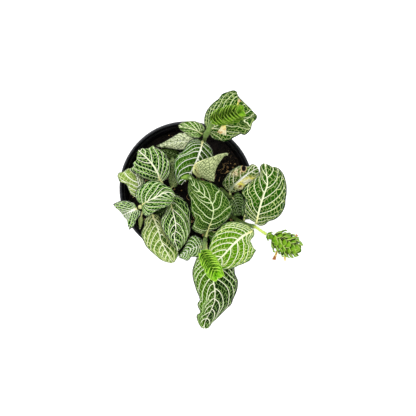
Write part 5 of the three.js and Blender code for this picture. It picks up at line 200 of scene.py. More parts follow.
  vb=[(-.05,-.041,-.027,-.009,.011,.033,.058,.084,.111,.14,.17),(.03,.042,.062,.086,.113,.144,.177,.212,.25,.289,.33),(.11,.125,.15,.18,.215,.254,.296,.341,.388,.438,.49),(.21,.228,.256,.292,.332,.377,.425,.477,.532,.59,.65),(.33,.348,.378,.415,.458,.504,.555,.609,.667,.727,.79),(.46,.478,.508,.545,.588,.634,.685,.739,.797,.857,.92),(.6,.617,.644,.678,.716,.759,.805,.855,.907,.962,1.02),(.74,.754,.776,.803,.834,.869,.906,.946,.989,1.033,1.08),(.87,.88,.895,.914,.937,.961,.987,1.016,1.046,1.077,1.11)]),
 "leaf_bud_centre": dict(bulge=0.3,
  pet=[(16.25,-35.01,98.19)],
  mid=[(16.79,-34.21,98.5),(17.1,-34.45,98.88),(17.42,-34.69,99.19),(17.73,-34.93,99.45),(18.07,-35.14,99.66),(18.43,-35.32,99.81),(18.8,-35.49,99.92),(19.16,-35.67,99.98),(19.52,-35.85,100),(19.88,-36.03,99.97),(20.23,-36.24,99.86),(20.57,-36.47,99.7),(20.91,-36.7,99.47),(21.25,-36.94,99.18),(21.59,-37.18,98.84),(21.93,-37.42,98.44),(22.27,-37.66,98)],
  a=[(16.64,-32.16,98.5),(17.08,-31.97,98.33),(17.53,-31.77,98.31),(17.97,-31.56,98.45),(18.39,-31.53,98.66),(18.8,-31.79,98.81),(19.2,-32.06,98.92),(19.6,-32.32,98.98),(20.01,-32.59,99),(20.41,-32.86,98.97),(20.66,-33.28,98.89),(20.91,-33.7,98.8),(21.15,-34.13,98.65),(21.39,-34.55,98.46),(21.64,-34.98,98.22),(21.88,-35.42,97.95),(22.13,-35.84,97.75)],
  b=[(16.79,-36.18,98.5),(16.98,-36.55,98.33),(17.17,-36.91,98.31),(17.37,-37.26,98.45),(17.56,-37.61,98.66),(17.75,-37.97,98.81),(18,-38.26,98.92),(18.38,-38.41,98.98),(18.76,-38.56,99),(19.14,-38.71,98.97),(19.52,-38.86,98.89),(19.91,-38.9,98.8),(20.31,-38.81,98.65),(20.71,-38.73,98.46),(21.11,-38.64,98.22),(21.51,-38.56,97.95),(21.91,-38.48,97.75)],
  va=[(-.05,-.041,-.027,-.009,.011,.033,.058,.084,.111,.14,.17),(.03,.042,.062,.086,.113,.144,.177,.212,.25,.289,.33),(.11,.125,.15,.18,.215,.254,.296,.341,.388,.438,.49),(.21,.228,.256,.292,.332,.377,.425,.477,.532,.59,.65),(.33,.348,.378,.415,.458,.504,.555,.609,.667,.727,.79),(.46,.478,.508,.545,.588,.634,.685,.739,.797,.857,.92),(.6,.617,.644,.678,.716,.759,.805,.855,.907,.962,1.02),(.74,.754,.776,.803,.834,.869,.906,.946,.989,1.033,1.08),(.87,.88,.895,.914,.937,.961,.987,1.016,1.046,1.077,1.11)],
  vb=[(-.05,-.041,-.027,-.009,.011,.033,.058,.084,.111,.14,.17),(.03,.042,.062,.086,.113,.144,.177,.212,.25,.289,.33),(.11,.125,.15,.18,.215,.254,.296,.341,.388,.438,.49),(.21,.228,.256,.292,.332,.377,.425,.477,.532,.59,.65),(.33,.348,.378,.415,.458,.504,.555,.609,.667,.727,.79),(.46,.478,.508,.545,.588,.634,.685,.739,.797,.857,.92),(.6,.617,.644,.678,.716,.759,.805,.855,.907,.962,1.02),(.74,.754,.776,.803,.834,.869,.906,.946,.989,1.033,1.08),(.87,.88,.895,.914,.937,.961,.987,1.016,1.046,1.077,1.11)]),
 "leaf_lower_east": dict(bulge=0.8,
  pet=[(42.48,-23.67,95.7)],
  mid=[(42.39,-21.22,97.5),(42.93,-20.07,98.25),(43.47,-18.93,98.88),(44.11,-17.85,99.4),(44.88,-16.85,99.81),(45.66,-15.86,100.12),(46.44,-14.86,100.34),(47.23,-13.87,100.46),(48.02,-12.88,100.5),(48.82,-11.89,100.43),(49.64,-10.9,100.23),(50.56,-10,99.89),(51.49,-9.1,99.44),(52.42,-8.19,98.86),(53.47,-7.4,98.18),(54.55,-6.62,97.39),(55.63,-5.84,96.5)],
  a=[(40.2,-19.03,97.5),(40.21,-17.59,97.17),(40.22,-16.15,97.12),(40.2,-14.7,97.4),(40.8,-13.41,97.81),(41.43,-12.12,98.12),(42.06,-10.84,98.34),(42.97,-9.76,98.46),(44.09,-8.86,98.5),(45.21,-7.96,98.43),(46.42,-7.2,98.28),(47.79,-6.74,98.1),(49.18,-6.28,97.81),(50.57,-5.84,97.41),(52.03,-5.59,96.93),(53.48,-5.35,96.4),(54.94,-5.1,96)],
  b=[(43.86,-23.05,97.5),(45.45,-22.93,96.9),(47.01,-22.8,96.68),(48.53,-22.57,96.9),(49.9,-21.86,97.31),(51.28,-21.16,97.62),(52.65,-20.44,97.84),(53.64,-19.25,97.96),(54.64,-18.05,98),(55.64,-16.85,97.93),(56.43,-15.54,97.8),(56.87,-14.04,97.65),(57.32,-12.54,97.4),(57.78,-11.03,97.05),(57.35,-9.54,96.62),(56.89,-8.06,96.15),(56.41,-6.57,95.88)],
  va=[(-.05,-.041,-.027,-.009,.011,.033,.058,.084,.111,.14,.17),(.03,.042,.062,.086,.113,.144,.177,.212,.25,.289,.33),(.11,.125,.15,.18,.215,.254,.296,.341,.388,.438,.49),(.21,.228,.256,.292,.332,.377,.425,.477,.532,.59,.65),(.33,.348,.378,.415,.458,.504,.555,.609,.667,.727,.79),(.46,.478,.508,.545,.588,.634,.685,.739,.797,.857,.92),(.6,.617,.644,.678,.716,.759,.805,.855,.907,.962,1.02),(.74,.754,.776,.803,.834,.869,.906,.946,.989,1.033,1.08),(.87,.88,.895,.914,.937,.961,.987,1.016,1.046,1.077,1.11)],
  vb=[(-.05,-.041,-.027,-.009,.011,.033,.058,.084,.111,.14,.17),(.03,.042,.062,.086,.113,.144,.177,.212,.25,.289,.33),(.11,.125,.15,.18,.215,.254,.296,.341,.388,.438,.49),(.21,.228,.256,.292,.332,.377,.425,.477,.532,.59,.65),(.33,.348,.378,.415,.458,.504,.555,.609,.667,.727,.79),(.46,.478,.508,.545,.588,.634,.685,.739,.797,.857,.92),(.6,.617,.644,.678,.716,.759,.805,.855,.907,.962,1.02),(.74,.754,.776,.803,.834,.869,.906,.946,.989,1.033,1.08),(.87,.88,.895,.914,.937,.961,.987,1.016,1.046,1.077,1.11)]),
 "leaf_lower_south": dict(bulge=0.8,
  pet=[(16.88,-32.4,91.56),(21.43,-32.39,91.77),(25.98,-32.37,91.98)],
  mid=[(26.35,-35.22,95),(27.14,-36,95.75),(27.94,-36.78,96.38),(28.73,-37.57,96.9),(29.53,-38.36,97.31),(30.33,-39.15,97.62),(31.13,-39.95,97.84),(31.94,-40.75,97.96),(32.74,-41.55,98),(33.62,-42.29,97.93),(34.52,-43.01,97.73),(35.42,-43.74,97.39),(36.33,-44.48,96.94),(37.31,-45.13,96.36),(38.32,-45.76,95.68),(39.33,-46.39,94.89),(40.35,-47.03,94)],
  a=[(27.82,-33.01,95),(29.2,-33.02,94.67),(30.57,-33.02,94.62),(31.93,-33.01,94.9),(33.25,-33.17,95.31),(34.43,-33.84,95.62),(35.61,-34.51,95.84),(36.8,-35.19,95.96),(37.98,-35.87,96),(38.88,-36.9,95.93),(39.77,-37.95,95.78),(40.65,-39.01,95.6),(41.54,-40.08,95.31),(41.78,-41.39,94.91),(41.8,-42.79,94.43),(41.83,-44.19,93.9),(41.85,-45.59,93.5)],
  b=[(25.24,-37.42,95),(25.35,-38.8,94.67),(25.45,-40.18,94.62),(25.54,-41.54,94.9),(25.79,-42.83,95.31),(26.55,-43.96,95.62),(27.3,-45.08,95.84),(28.06,-46.22,95.96),(29.02,-47.12,96),(30.28,-47.67,95.93),(31.54,-48.22,95.78),(32.81,-48.77,95.6),(34.11,-49.11,95.31),(35.49,-48.96,94.91),(36.87,-48.82,94.43),(38.25,-48.68,93.9),(39.64,-48.53,93.5)],
  va=[(-.05,-.041,-.027,-.009,.011,.033,.058,.084,.111,.14,.17),(.03,.042,.062,.086,.113,.144,.177,.212,.25,.289,.33),(.11,.125,.15,.18,.215,.254,.296,.341,.388,.438,.49),(.21,.228,.256,.292,.332,.377,.425,.477,.532,.59,.65),(.33,.348,.378,.415,.458,.504,.555,.609,.667,.727,.79),(.46,.478,.508,.545,.588,.634,.685,.739,.797,.857,.92),(.6,.617,.644,.678,.716,.759,.805,.855,.907,.962,1.02),(.74,.754,.776,.803,.834,.869,.906,.946,.989,1.033,1.08),(.87,.88,.895,.914,.937,.961,.987,1.016,1.046,1.077,1.11)],
  vb=[(-.05,-.041,-.027,-.009,.011,.033,.058,.084,.111,.14,.17),(.03,.042,.062,.086,.113,.144,.177,.212,.25,.289,.33),(.11,.125,.15,.18,.215,.254,.296,.341,.388,.438,.49),(.21,.228,.256,.292,.332,.377,.425,.477,.532,.59,.65),(.33,.348,.378,.415,.458,.504,.555,.609,.667,.727,.79),(.46,.478,.508,.545,.588,.634,.685,.739,.797,.857,.92),(.6,.617,.644,.678,.716,.759,.805,.855,.907,.962,1.02),(.74,.754,.776,.803,.834,.869,.906,.946,.989,1.033,1.08),(.87,.88,.895,.914,.937,.961,.987,1.016,1.046,1.077,1.11)]),
}
STEMS = {
 "stem_top": (1.5, [(9.5,23,62),(9.9,25,74),(12.2,32,90),(13.8,36.2,102),(14.1,37.4,110.5)]),
 "stem_left": (1.45, [(-21,-6,62),(-23,-7.5,74),(-27.5,-11,86),(-30.5,-12.7,95),(-33,-14,107)]),
 "stem_middle": (1.4, [(-12,2,62),(-12.3,1.2,74),(-13.5,-1,86),(-14.6,-2.8,97)]),
 "stem_centre": (1.6, [(14.5,-22,62),(14.6,-24,74),(14.6,-30,88),(14.2,-36.3,97),(13.9,-38,104.5)]),
 "stem_right": (1.6, [(27,-14,62),(31,-18,74),(38.5,-24,88),(44.5,-26.8,98),(49.3,-28,106.5)]),
 "stem_east": (1.35, [(24,1,62),(26,0,74),(30.5,-4.5,84),(32.9,-6.2,91)]),
 "stem_inner": (1.3, [(8,5,62),(8.5,6.5,74),(9.6,8.5,84),(9.9,8.6,92)]),
}
STALKS = {
 "spike_top_stalk": [(14.11,37.46,110.9),(15.14,38.01,117),(16.96,40.58,125.5),(19.35,45.36,132.2)],
 "spike_right_stalk": [(49.5,-28.05,106.85),(51.08,-28.93,110.2),(54.53,-31.38,112),(57.7,-33.4,113.3)],
 "spike_bottom_stalk": [(13.88,-38.09,104.89),(13.77,-39.59,111.5),(13.38,-43.14,118.5),(13,-45.6,124.6)],
}
SPIKES = {
 "spike_top_bracts": ((19.63,45.91,132.98), (37.95,48.75,156.5), 5.8, 4.4),
 "spike_right_bracts": ((58.34,-33.81,113.56), (80.32,-44.67,122.5), 7.6, 5.2),
 "spike_bottom_bracts": ((12.95,-45.9,125.34), (22.35,-59.66,150), 5.6, 4.4),
}
WITHERED = {
 "withered_flower_top_large": ((27.7,43.89,139), (25.72,36.74,128.5), 0.6, 3.0, 0.1),
 "withered_flower_top_small": ((35.9,55.08,150.5), (37.12,56.5,153), 0.6, 0.95, 0.5),
 "withered_flower_right_long": ((65.35,-44.99,112), (63.3,-52.03,107), 0.55, 1.2, 1.0),
 "withered_flower_right_top": ((77.44,-35.45,119), (78.66,-33.17,120), 0.5, 1.0, 0.8),
 "withered_flower_right_short": ((70.37,-48.39,114.5), (70.98,-52.39,112), 0.7, 0.85, 0.0),
}

# ------------------------------------------------------------------ small helpers
def lin(c):
    """sRGB 0-255 to linear rgba"""
    out = []
    for v in c[:3]:
        v = v / 255.0
        out.append(v / 12.92 if v <= 0.04045 else ((v + 0.055) / 1.055) ** 2.4)
    return (*out, 1.0)

def spline(P, n, u=None):
    """smooth resample of a chain of points at n even steps (Catmull-Rom)"""
    P = np.asarray(P, float)
    x = np.linspace(0, len(P) - 1, n) if u is None else np.asarray(u) * (len(P) - 1)
    i = np.clip(np.floor(x).astype(int), 0, len(P) - 2)
    f = (x - i)[:, None]
    Q = np.vstack([2 * P[0] - P[1], P, 2 * P[-1] - P[-2]])
    p0, p1, p2, p3 = Q[i], Q[i + 1], Q[i + 2], Q[i + 3]
    return 0.5 * (2 * p1 + (p2 - p0) * f + (2 * p0 - 5 * p1 + 4 * p2 - p3) * f ** 2 + (3 * p1 - p0 - 3 * p2 + p3) * f ** 3)

def smoothstep(x, lo, hi):
    t = np.clip((x - lo) / (hi - lo), 0, 1)
    return t * t * (3 - 2 * t)

_lat = np.random.default_rng(5).random((64, 64, 64))
def noise3(p, scale):
    """tileable value noise in 0..1 for an (..,3) array"""
    q = np.asarray(p) * scale + 100.37
    i = np.floor(q).astype(int); f = q - i; f = f * f * (3 - 2 * f)
    r = 0
    for dx in (0, 1):
        for dy in (0, 1):
            for dz in (0, 1):
                w = (f[..., 0] if dx else 1 - f[..., 0]) * (f[..., 1] if dy else 1 - f[..., 1]) * (f[..., 2] if dz else 1 - f[..., 2])
                r = r + w * _lat[(i[..., 0] + dx) % 64, (i[..., 1] + dy) % 64, (i[..., 2] + dz) % 64]
    return r
def fbm(p, scale, octaves=4, gain=0.5):
    r, a, s = 0, 1.0, 0
    for k in range(octaves):
        r = r + a * noise3(p, scale * 2 ** k); s += a; a *= gain
    return r / s

def new_mesh(name, verts, quads, mats, mat_index=None, smooth=True):
    """mesh object from millimetre vertices and faces (lists or an (n,4)/(n,3) array)"""
    me = bpy.data.meshes.new(name)
    v = np.asarray(verts, np.float32) * MM
    if isinstance(quads, np.ndarray):
        n, k = quads.shape
        me.vertices.add(len(v)); me.vertices.foreach_set("co", v.ravel())
        me.loops.add(n * k); me.loops.foreach_set("vertex_index", quads.astype(np.int32).ravel())
        me.polygons.add(n); me.polygons.foreach_set("loop_start", np.arange(0, n * k, k, dtype=np.int32))
        me.update(calc_edges=True)
    else:
        me.from_pydata([tuple(x) for x in v.tolist()], [], quads)
    for m in mats:
        me.materials.append(m)
    if mat_index is not None:
        me.polygons.foreach_set("material_index", np.asarray(mat_index, np.int32))
    me.polygons.foreach_set("use_smooth", [smooth] * len(me.polygons))
    me.validate()
    me.update()
    ob = bpy.data.objects.new(name, me)
    bpy.context.scene.collection.objects.link(ob)
    return ob

def attr(ob, name, data, kind="FLOAT"):
    a = ob.data.attributes.new(name, kind, "POINT")
    a.data.foreach_set("value" if kind == "FLOAT" else "vector", np.asarray(data, np.float32).ravel())

def frames(P):
    """tangent and two cross directions along a chain of points, with no twist"""
    P = np.asarray(P, float)
    T = np.gradient(P, axis=0); T /= np.linalg.norm(T, axis=1)[:, None] + 1e-12
    ref = np.array([0, 0, 1.0]) if abs(T[0][2]) < 0.9 else np.array([1.0, 0, 0])
    N = []
    n = ref - T[0] * ref.dot(T[0]); n /= np.linalg.norm(n)
    for t in T:
        n = n - t * n.dot(t); n /= np.linalg.norm(n); N.append(n)
    N = np.array(N)
    return T, N, np.cross(T, N)

def tube_arrays(P, R, sides=12, offset=0):
    """closed tube along points P with radius per point; returns verts, quads (as lists)"""
    P = np.asarray(P, float); T, N, B = frames(P)
    a = np.arange(sides) / sides * 2 * math.pi
    ring = np.cos(a)[None, :, None] * N[:, None] + np.sin(a)[None, :, None] * B[:, None]
    V = (P[:, None] + ring * np.asarray(R)[:, None, None]).reshape(-1, 3)
    F = []
    n = len(P)
    for i in range(n - 1):
        for j in range(sides):
            k = (j + 1) % sides
            F.append((offset + i * sides + j, offset + i * sides + k, offset + (i + 1) * sides + k, offset + (i + 1) * sides + j))
    V = np.vstack([V, P[:1], P[-1:]])
    c0, c1 = offset + n * sides, offset + n * sides + 1
    for j in range(sides):
        k = (j + 1) % sides
        F.append((c0, offset + k, offset + j))
        F.append((c1, offset + (n - 1) * sides + j, offset + (n - 1) * sides + k))
    return V, F

# ------------------------------------------------------------------ node helper
class G:
    def __init__(self, name):
        self.m = bpy.data.materials.new(name); self.m.use_nodes = True
        self.t = self.m.node_tree; self.t.nodes.clear()
        self.out = self.t.nodes.new("ShaderNodeOutputMaterial")
        self.b = self.t.nodes.new("ShaderNodeBsdfPrincipled")
        self.t.links.new(self.b.outputs[0], self.out.inputs[0])
    def n(self, kind, **kw):
        x = self.t.nodes.new(kind)
        for k, v in kw.items():
            setattr(x, k, v)
        return x
    def put(self, sock, v):
        if isinstance(v, bpy.types.NodeSocket):
            self.t.links.new(v, sock)
        else:
            sock.default_value = v
    def math(self, op, a, b=None, c=None, clamp=False):
        x = self.n("ShaderNodeMath", operation=op, use_clamp=clamp)
        self.put(x.inputs[0], a)
        if b is not None: self.put(x.inputs[1], b)
        if c is not None: self.put(x.inputs[2], c)
        return x.outputs[0]
    def ramp(self, v, lo, hi, a=0.0, b=1.0, smooth=True):
        x = self.n("ShaderNodeMapRange", interpolation_type="SMOOTHSTEP" if smooth else "LINEAR")
        for i, w in enumerate((v, lo, hi, a, b)):
            self.put(x.inputs[i], w)
        return x.outputs[0]
    def mix(self, f, a, b, mode="MIX"):
        x = self.n("ShaderNodeMix", data_type="RGBA", blend_type=mode)
        self.put(x.inputs[0], f); self.put(x.inputs[6], a); self.put(x.inputs[7], b)
        return x.outputs[2]
    def fmix(self, f, a, b):
        x = self.n("ShaderNodeMix", data_type="FLOAT")
        self.put(x.inputs[0], f); self.put(x.inputs[2], a); self.put(x.inputs[3], b)
        return x.outputs[0]
    def attr(self, name):
        x = self.n("ShaderNodeAttribute", attribute_type="GEOMETRY", attribute_name=name)
        return x
    def xyz(self, v):
        x = self.n("ShaderNodeSeparateXYZ"); self.put(x.inputs[0], v)
        return x.outputs
    def noise(self, vec, scale, detail=3.0, rough=0.55):
        x = self.n("ShaderNodeTexNoise")
        if vec is not None: self.put(x.inputs["Vector"], vec)
        x.inputs["Scale"].default_value = scale; x.inputs["Detail"].default_value = detail; x.inputs["Roughness"].default_value = rough
        return x.outputs["Fac"]
    def voro(self, vec, scale, feature="DISTANCE_TO_EDGE", rand=1.0, dims="3D", out=0):
        x = self.n("ShaderNodeTexVoronoi", feature=feature, voronoi_dimensions=dims)
        self.put(x.inputs["Vector"], vec); x.inputs["Scale"].default_value = scale; x.inputs["Randomness"].default_value = rand
        return x.outputs[out]
    def obj(self):
        return self.n("ShaderNodeTexCoord").outputs["Object"]
    def bump(self, h, dist, strength=1.0):
        x = self.n("ShaderNodeBump"); x.inputs["Strength"].default_value = strength; x.inputs["Distance"].default_value = dist
        self.put(x.inputs["Height"], h)
        self.t.links.new(x.outputs[0], self.b.inputs["Normal"])
    def set(self, **kw):
        for k, v in kw.items():
            self.put(self.b.inputs[k.replace("_", " ")], v)
        return self

# ------------------------------------------------------------------ leaf finish
LEAF_LOOK = {
 # dark cell, light cell, vein, width and strength of the net, side vein width, midrib width, cell length, cell width (mm)
 "leaf_top_right": ((0, 34, 0), (46, 104, 0), (236, 246, 196), 0.22, 0.7, 0.4, 0.8, 2.5, 2.8),
 "leaf_top_left": ((0, 38, 0), (84, 132, 4), (248, 252, 206), 0.22, 1.0, 0.48, 1.0, 2.3, 2.4),
 "leaf_centre_top": ((0, 20, 0), (62, 118, 0), (252, 255, 240), 0.24, 0.5, 0.46, 1.9, 2.3, 3.0),
 "leaf_folded_pale":      ((120, 142, 84), (190, 204, 146), (214, 222, 176), 0.30, 0.5, 0.4, 0.8, 2.0, 2.4),
 "leaf_damaged": ((0, 38, 0), (66, 112, 14), (250, 252, 226), 0.32, 0.8, 0.5, 2.4, 2.3, 2.6),
 "leaf_right": ((0, 36, 0), (48, 106, 0), (248, 254, 214), 0.24, 0.85, 0.42, 1.9, 2.8, 3.4),
 "leaf_centre": ((0, 32, 0), (48, 100, 0), (226, 242, 186), 0.16, 0.9, 0.44, 1.25, 2.5, 2.7),
 "leaf_lower_right": ((34, 90, 0), (110, 164, 0), (252, 255, 222), 0.32, 0.75, 0.54, 2.3, 2.4, 3.2),
 "leaf_bottom": ((0, 28, 0), (64, 102, 0), (250, 254, 220), 0.28, 0.9, 0.48, 1.3, 2.7, 3.2),
 "leaf_small_bottom": ((0, 36, 0), (56, 102, 10), (248, 255, 232), 0.3, 0.95, 0.44, 0.7, 1.7, 1.7),
 "leaf_lower_left": ((6, 50, 0), (110, 146, 52), (244, 250, 210), 0.4, 1.0, 0.56, 1.6, 2.6, 3.4),
 "leaf_dark_left": ((0, 16, 0), (8, 60, 0), (250, 254, 222), 0.3, 1.0, 0.46, 1.5, 2.5, 2.5),
 "leaf_left_centre": ((0, 30, 0), (30, 92, 0), (250, 254, 222), 0.3, 1.0, 0.46, 1.5, 2.5, 2.4),
 "leaf_far_left": ((0, 34, 0), (30, 90, 0), (252, 255, 236), 0.3, 1.0, 0.46, 1.8, 2.6, 2.4),
 "leaf_upper_left": ((0, 20, 0), (10, 64, 0), (250, 254, 220), 0.32, 1.0, 0.46, 1.8, 2.6, 2.5),
 "leaf_rim_left": ((18, 62, 0), (138, 168, 72), (250, 254, 232), 0.26, 0.9, 0.7, 0.9, 2.2, 2.6),
 "leaf_old_grey": ((62, 88, 38), (224, 234, 190), (252, 255, 236), 0.2, 0.35, 0.16, 0.6, 1.7, 2.0),
 # painted shade: a low leaf under the others, with dimmed greens and grey-green veins
 "leaf_dark_under_right": ((6, 34, 0), (44, 74, 14), (168, 188, 142), 0.20, 0.55, 0.42, 0.7, 2.0, 2.4),
 "leaf_grey_mid": ((60, 88, 34), (150, 174, 108), (190, 204, 156), 0.34, 0.4, 0.4, 0.6, 1.7, 2.0),
 # painted shade: a low leaf under the others, with dimmed greens and grey-green veins
 "leaf_dark_upper":       ((6, 32, 0), (40, 72, 12), (140, 162, 104), 0.20, 0.5, 0.42, 0.7, 2.0, 2.4),
 "leaf_young_left": ((146, 168, 88), (208, 218, 150), (234, 240, 184), 0.2, 0.3, 0.3, 0.5, 1.3, 1.6),
 # painted shade: a low leaf under the others, with dimmed greens and grey-green veins
 "leaf_dark_between":     ((2, 30, 0), (32, 66, 8), (150, 172, 120), 0.18, 0.5, 0.4, 0.6, 1.9, 2.2),
 "leaf_bud_centre":       ((40, 92, 8), (112, 160, 48), (240, 248, 214), 0.18, 0.5, 0.36, 0.6, 1.3, 1.6),
 "leaf_lower_east":       ((10, 48, 0), (50, 98, 14), (222, 238, 196), 0.18, 0.55, 0.44, 0.7, 2.1, 2.6),
 "leaf_lower_south":      ((10, 48, 0), (50, 98, 14), (222, 238, 196), 0.18, 0.55, 0.44, 0.7, 2.1, 2.6),
}

GREEN_NET = ("leaf_bottom", "leaf_small_bottom", "leaf_top_left", "leaf_centre_top", "leaf_dark_under_right", "leaf_lower_east", "leaf_lower_south")
TIGHT = ("leaf_dark_left", "leaf_upper_left", "leaf_left_centre", "leaf_far_left")   # nets of short brick-like cells

def leaf_top(name, look):
    dark, light, vein, w3, c3, w2, w1, cell, roww = look
    g = G(name + "_upper")
    net = g.attr("net").outputs["Vector"]
    ph = g.xyz(g.attr("phase").outputs["Vector"])      # P, mm per P, q
    dm = g.xyz(g.attr("dist").outputs["Vector"])       # mm to midrib, mm to margin, t
    tone_and_painted_light = g.attr("tone_and_painted_light").outputs["Fac"]
    sc = g.attr("cellmm").outputs["Fac"]
    plain = g.attr("plain").outputs["Fac"]
    q = ph[2]
    # the net: each strip between two side veins is cut into cells at its own places
    nx = g.xyz(net)
    own = g.n("ShaderNodeTexWhiteNoise", noise_dimensions="1D")
    g.put(own.inputs["W"], g.math("FLOOR", nx[0]))
    wob = g.n("ShaderNodeTexNoise"); wob.inputs["Scale"].default_value = 0.8; wob.inputs["Detail"].default_value = 2.0
    g.put(wob.inputs["Vector"], net)
    wx = g.xyz(wob.outputs["Color"])
    tight = name in TIGHT
    cu = g.math("MULTIPLY_ADD", g.math("SUBTRACT", wx[0], 0.5), 0.18 if tight else 0.25, nx[0])
    cv = g.math("ADD", g.math("MULTIPLY_ADD", own.outputs["Value"], 5.0, nx[1]), g.math("MULTIPLY", wx[1], 0.55 if tight else 0.9))
    cc = g.n("ShaderNodeCombineXYZ"); g.put(cc.inputs[0], cu); g.put(cc.inputs[1], cv)
    d3 = g.math("MULTIPLY", g.voro(cc.outputs[0], 1.0, rand=0.36 if tight else 0.5, dims="2D"), sc)
    fr = g.math("ABSOLUTE", g.math("SUBTRACT", g.math("FRACT", g.math("ADD", ph[0], 0.5)), 0.5))
    d2 = g.math("MULTIPLY", fr, ph[1])
    # a loop that joins the side veins near the margin
    arch = g.math("ABSOLUTE", g.math("SINE", g.math("MULTIPLY", ph[0], math.pi)))
    loop_at = g.math("MULTIPLY_ADD", arch, 0.07, 0.84)
    width = g.math("DIVIDE", dm[1], g.math("MAXIMUM", g.math("SUBTRACT", 1.0, q), 0.02))
    dl = g.math("MULTIPLY", g.math("ABSOLUTE", g.math("SUBTRACT", q, loop_at)), width)
    soft = 0.10
    w3n = g.math("MULTIPLY_ADD", g.noise(net, 1.3, 2.0), w3 * 0.5, w3 * 0.25)
    m3 = g.ramp(d3, w3n, g.math("ADD", w3n, soft), 1.0, 0.0)
    w2n = g.fmix(q, w2 * 0.58, w2 * 0.32)
    # where side veins run close together they sink into the blade
    free = g.ramp(ph[1], 0.4 if name == "leaf_far_left" else 0.75, 0.9 if name == "leaf_far_left" else 1.5, 0.0, 1.0)
    m2 = g.math("MULTIPLY", g.ramp(d2, w2n, g.math("ADD", w2n, soft), 1.0, 0.0), g.ramp(q, 0.82, 0.92, 1.0, 0.3))
    fade = g.attr("fade").outputs["Fac"]
    m2 = g.math("MULTIPLY", g.math("MULTIPLY", m2, free), fade)
    ml = g.math("MULTIPLY", g.ramp(dl, w2 * 0.12, w2 * 0.12 + soft, 0.6, 0.0), g.math("MULTIPLY", free, fade))
    w1n = g.fmix(g.math("POWER", dm[2], 0.7), w1 * 0.55, w1 * 0.17)
    m1 = g.ramp(dm[0], w1n, g.math("ADD", w1n, soft * 1.2), 1.0, 0.0)
    strength = g.math("MULTIPLY", g.ramp(q, 0.15, 0.75, c3 * 0.75, min(c3 * 1.35, 1.0)), g.ramp(g.noise(net, 0.5, 2.0), 0.35, 0.65, 0.75, 1.0))
    m3 = g.math("MULTIPLY", m3, strength)
    # the net fades where the blade's tones run dark, sinking into the painted shade
    m3 = g.math("MULTIPLY", m3, g.ramp(tone_and_painted_light, -0.4, -0.1, 0.65, 1.0))
    m3 = g.math("MULTIPLY", m3, g.math("MULTIPLY", g.ramp(dm[1], 0.2, 1.2, 0.0, 1.0), g.ramp(sc, 0.9, 1.4, 0.0, 1.0)))
    big = g.math("MAXIMUM", g.math("MAXIMUM", m1, m2), g.math("MULTIPLY", ml, g.math("MULTIPLY_ADD", m2, 0.3, min(c3 + 0.15, 0.9))))
    bare = g.math("SUBTRACT", 1.0, plain, clamp=True)
    mask = g.math("MULTIPLY", g.math("MAXIMUM", big, m3, clamp=True), bare)
    # cell colour: painted shade darker against the sunken veins, painted light paler on the swollen middle, with
    # blotches, and the blade's tones with their painted light and shade
    pos = g.obj()
    blot = g.noise(pos, 240.0, 3.0)
    fine = g.noise(pos, 2200.0, 2.0)
    dome = g.ramp(d3, 0.1, cell * 0.42, 0.0, 1.0)
    f = g.math("ADD", g.math("MULTIPLY", dome, 0.30), g.math("MULTIPLY_ADD", blot, 0.6, -0.16))
    f = g.math("ADD", g.math("ADD", f, tone_and_painted_light), g.math("MULTIPLY_ADD", fine, 0.5, -0.25), clamp=True)
    cellc = g.mix(f, lin(dark), lin(light))
    if name in ("leaf_old_grey", "leaf_grey_mid"):
        # an old blade is mottled all over and its veins hardly show
        cellc = g.mix(g.ramp(g.noise(pos, 900.0, 4.0, 0.65), 0.40, 0.60), lin(dark), lin(light))
    # beyond the range of the two greens the blade goes on to a pale painted sheen, standing in for light glancing off
    # it
    cellc = g.mix(g.ramp(g.math("ADD", tone_and_painted_light, g.math("MULTIPLY", fine, 0.3)), 0.75, 1.7, 0.0, 0.75), cellc, lin(tuple(0.45 * a + 0.55 * b for a, b in zip(light, vein))))
    # painted shade: a dark line runs round the very edge of the blade
    cellc = g.mix(g.ramp(dm[1], 0.3, 1.1, 0.8, 0.0), cellc, lin(tuple(0.7 * a for a in dark)))
    if name == "leaf_centre":
        # the tip is curled over and shows its plain light green
        cellc = g.mix(g.math("MULTIPLY", plain, g.ramp(blot, 0.25, 0.5, 0.7, 1.0)), cellc, lin((132, 168, 72)))
    vc = g.mix(g.ramp(dm[2], 0.0, 0.10 if name == "leaf_damaged" else 0.2, 1.0, 0.0), lin(vein), lin((250, 247, 178)))
    vc = g.mix(g.ramp(dm[0], 0.8, 2.4, 1.0, 0.0), lin(vein), vc)
    if name == "leaf_damaged":
        # the shaded foot of the blade has dim veins
        vc = g.mix(g.ramp(dm[2], 0.16, 0.34, 0.75, 0.0), vc, lin((96, 122, 70)))
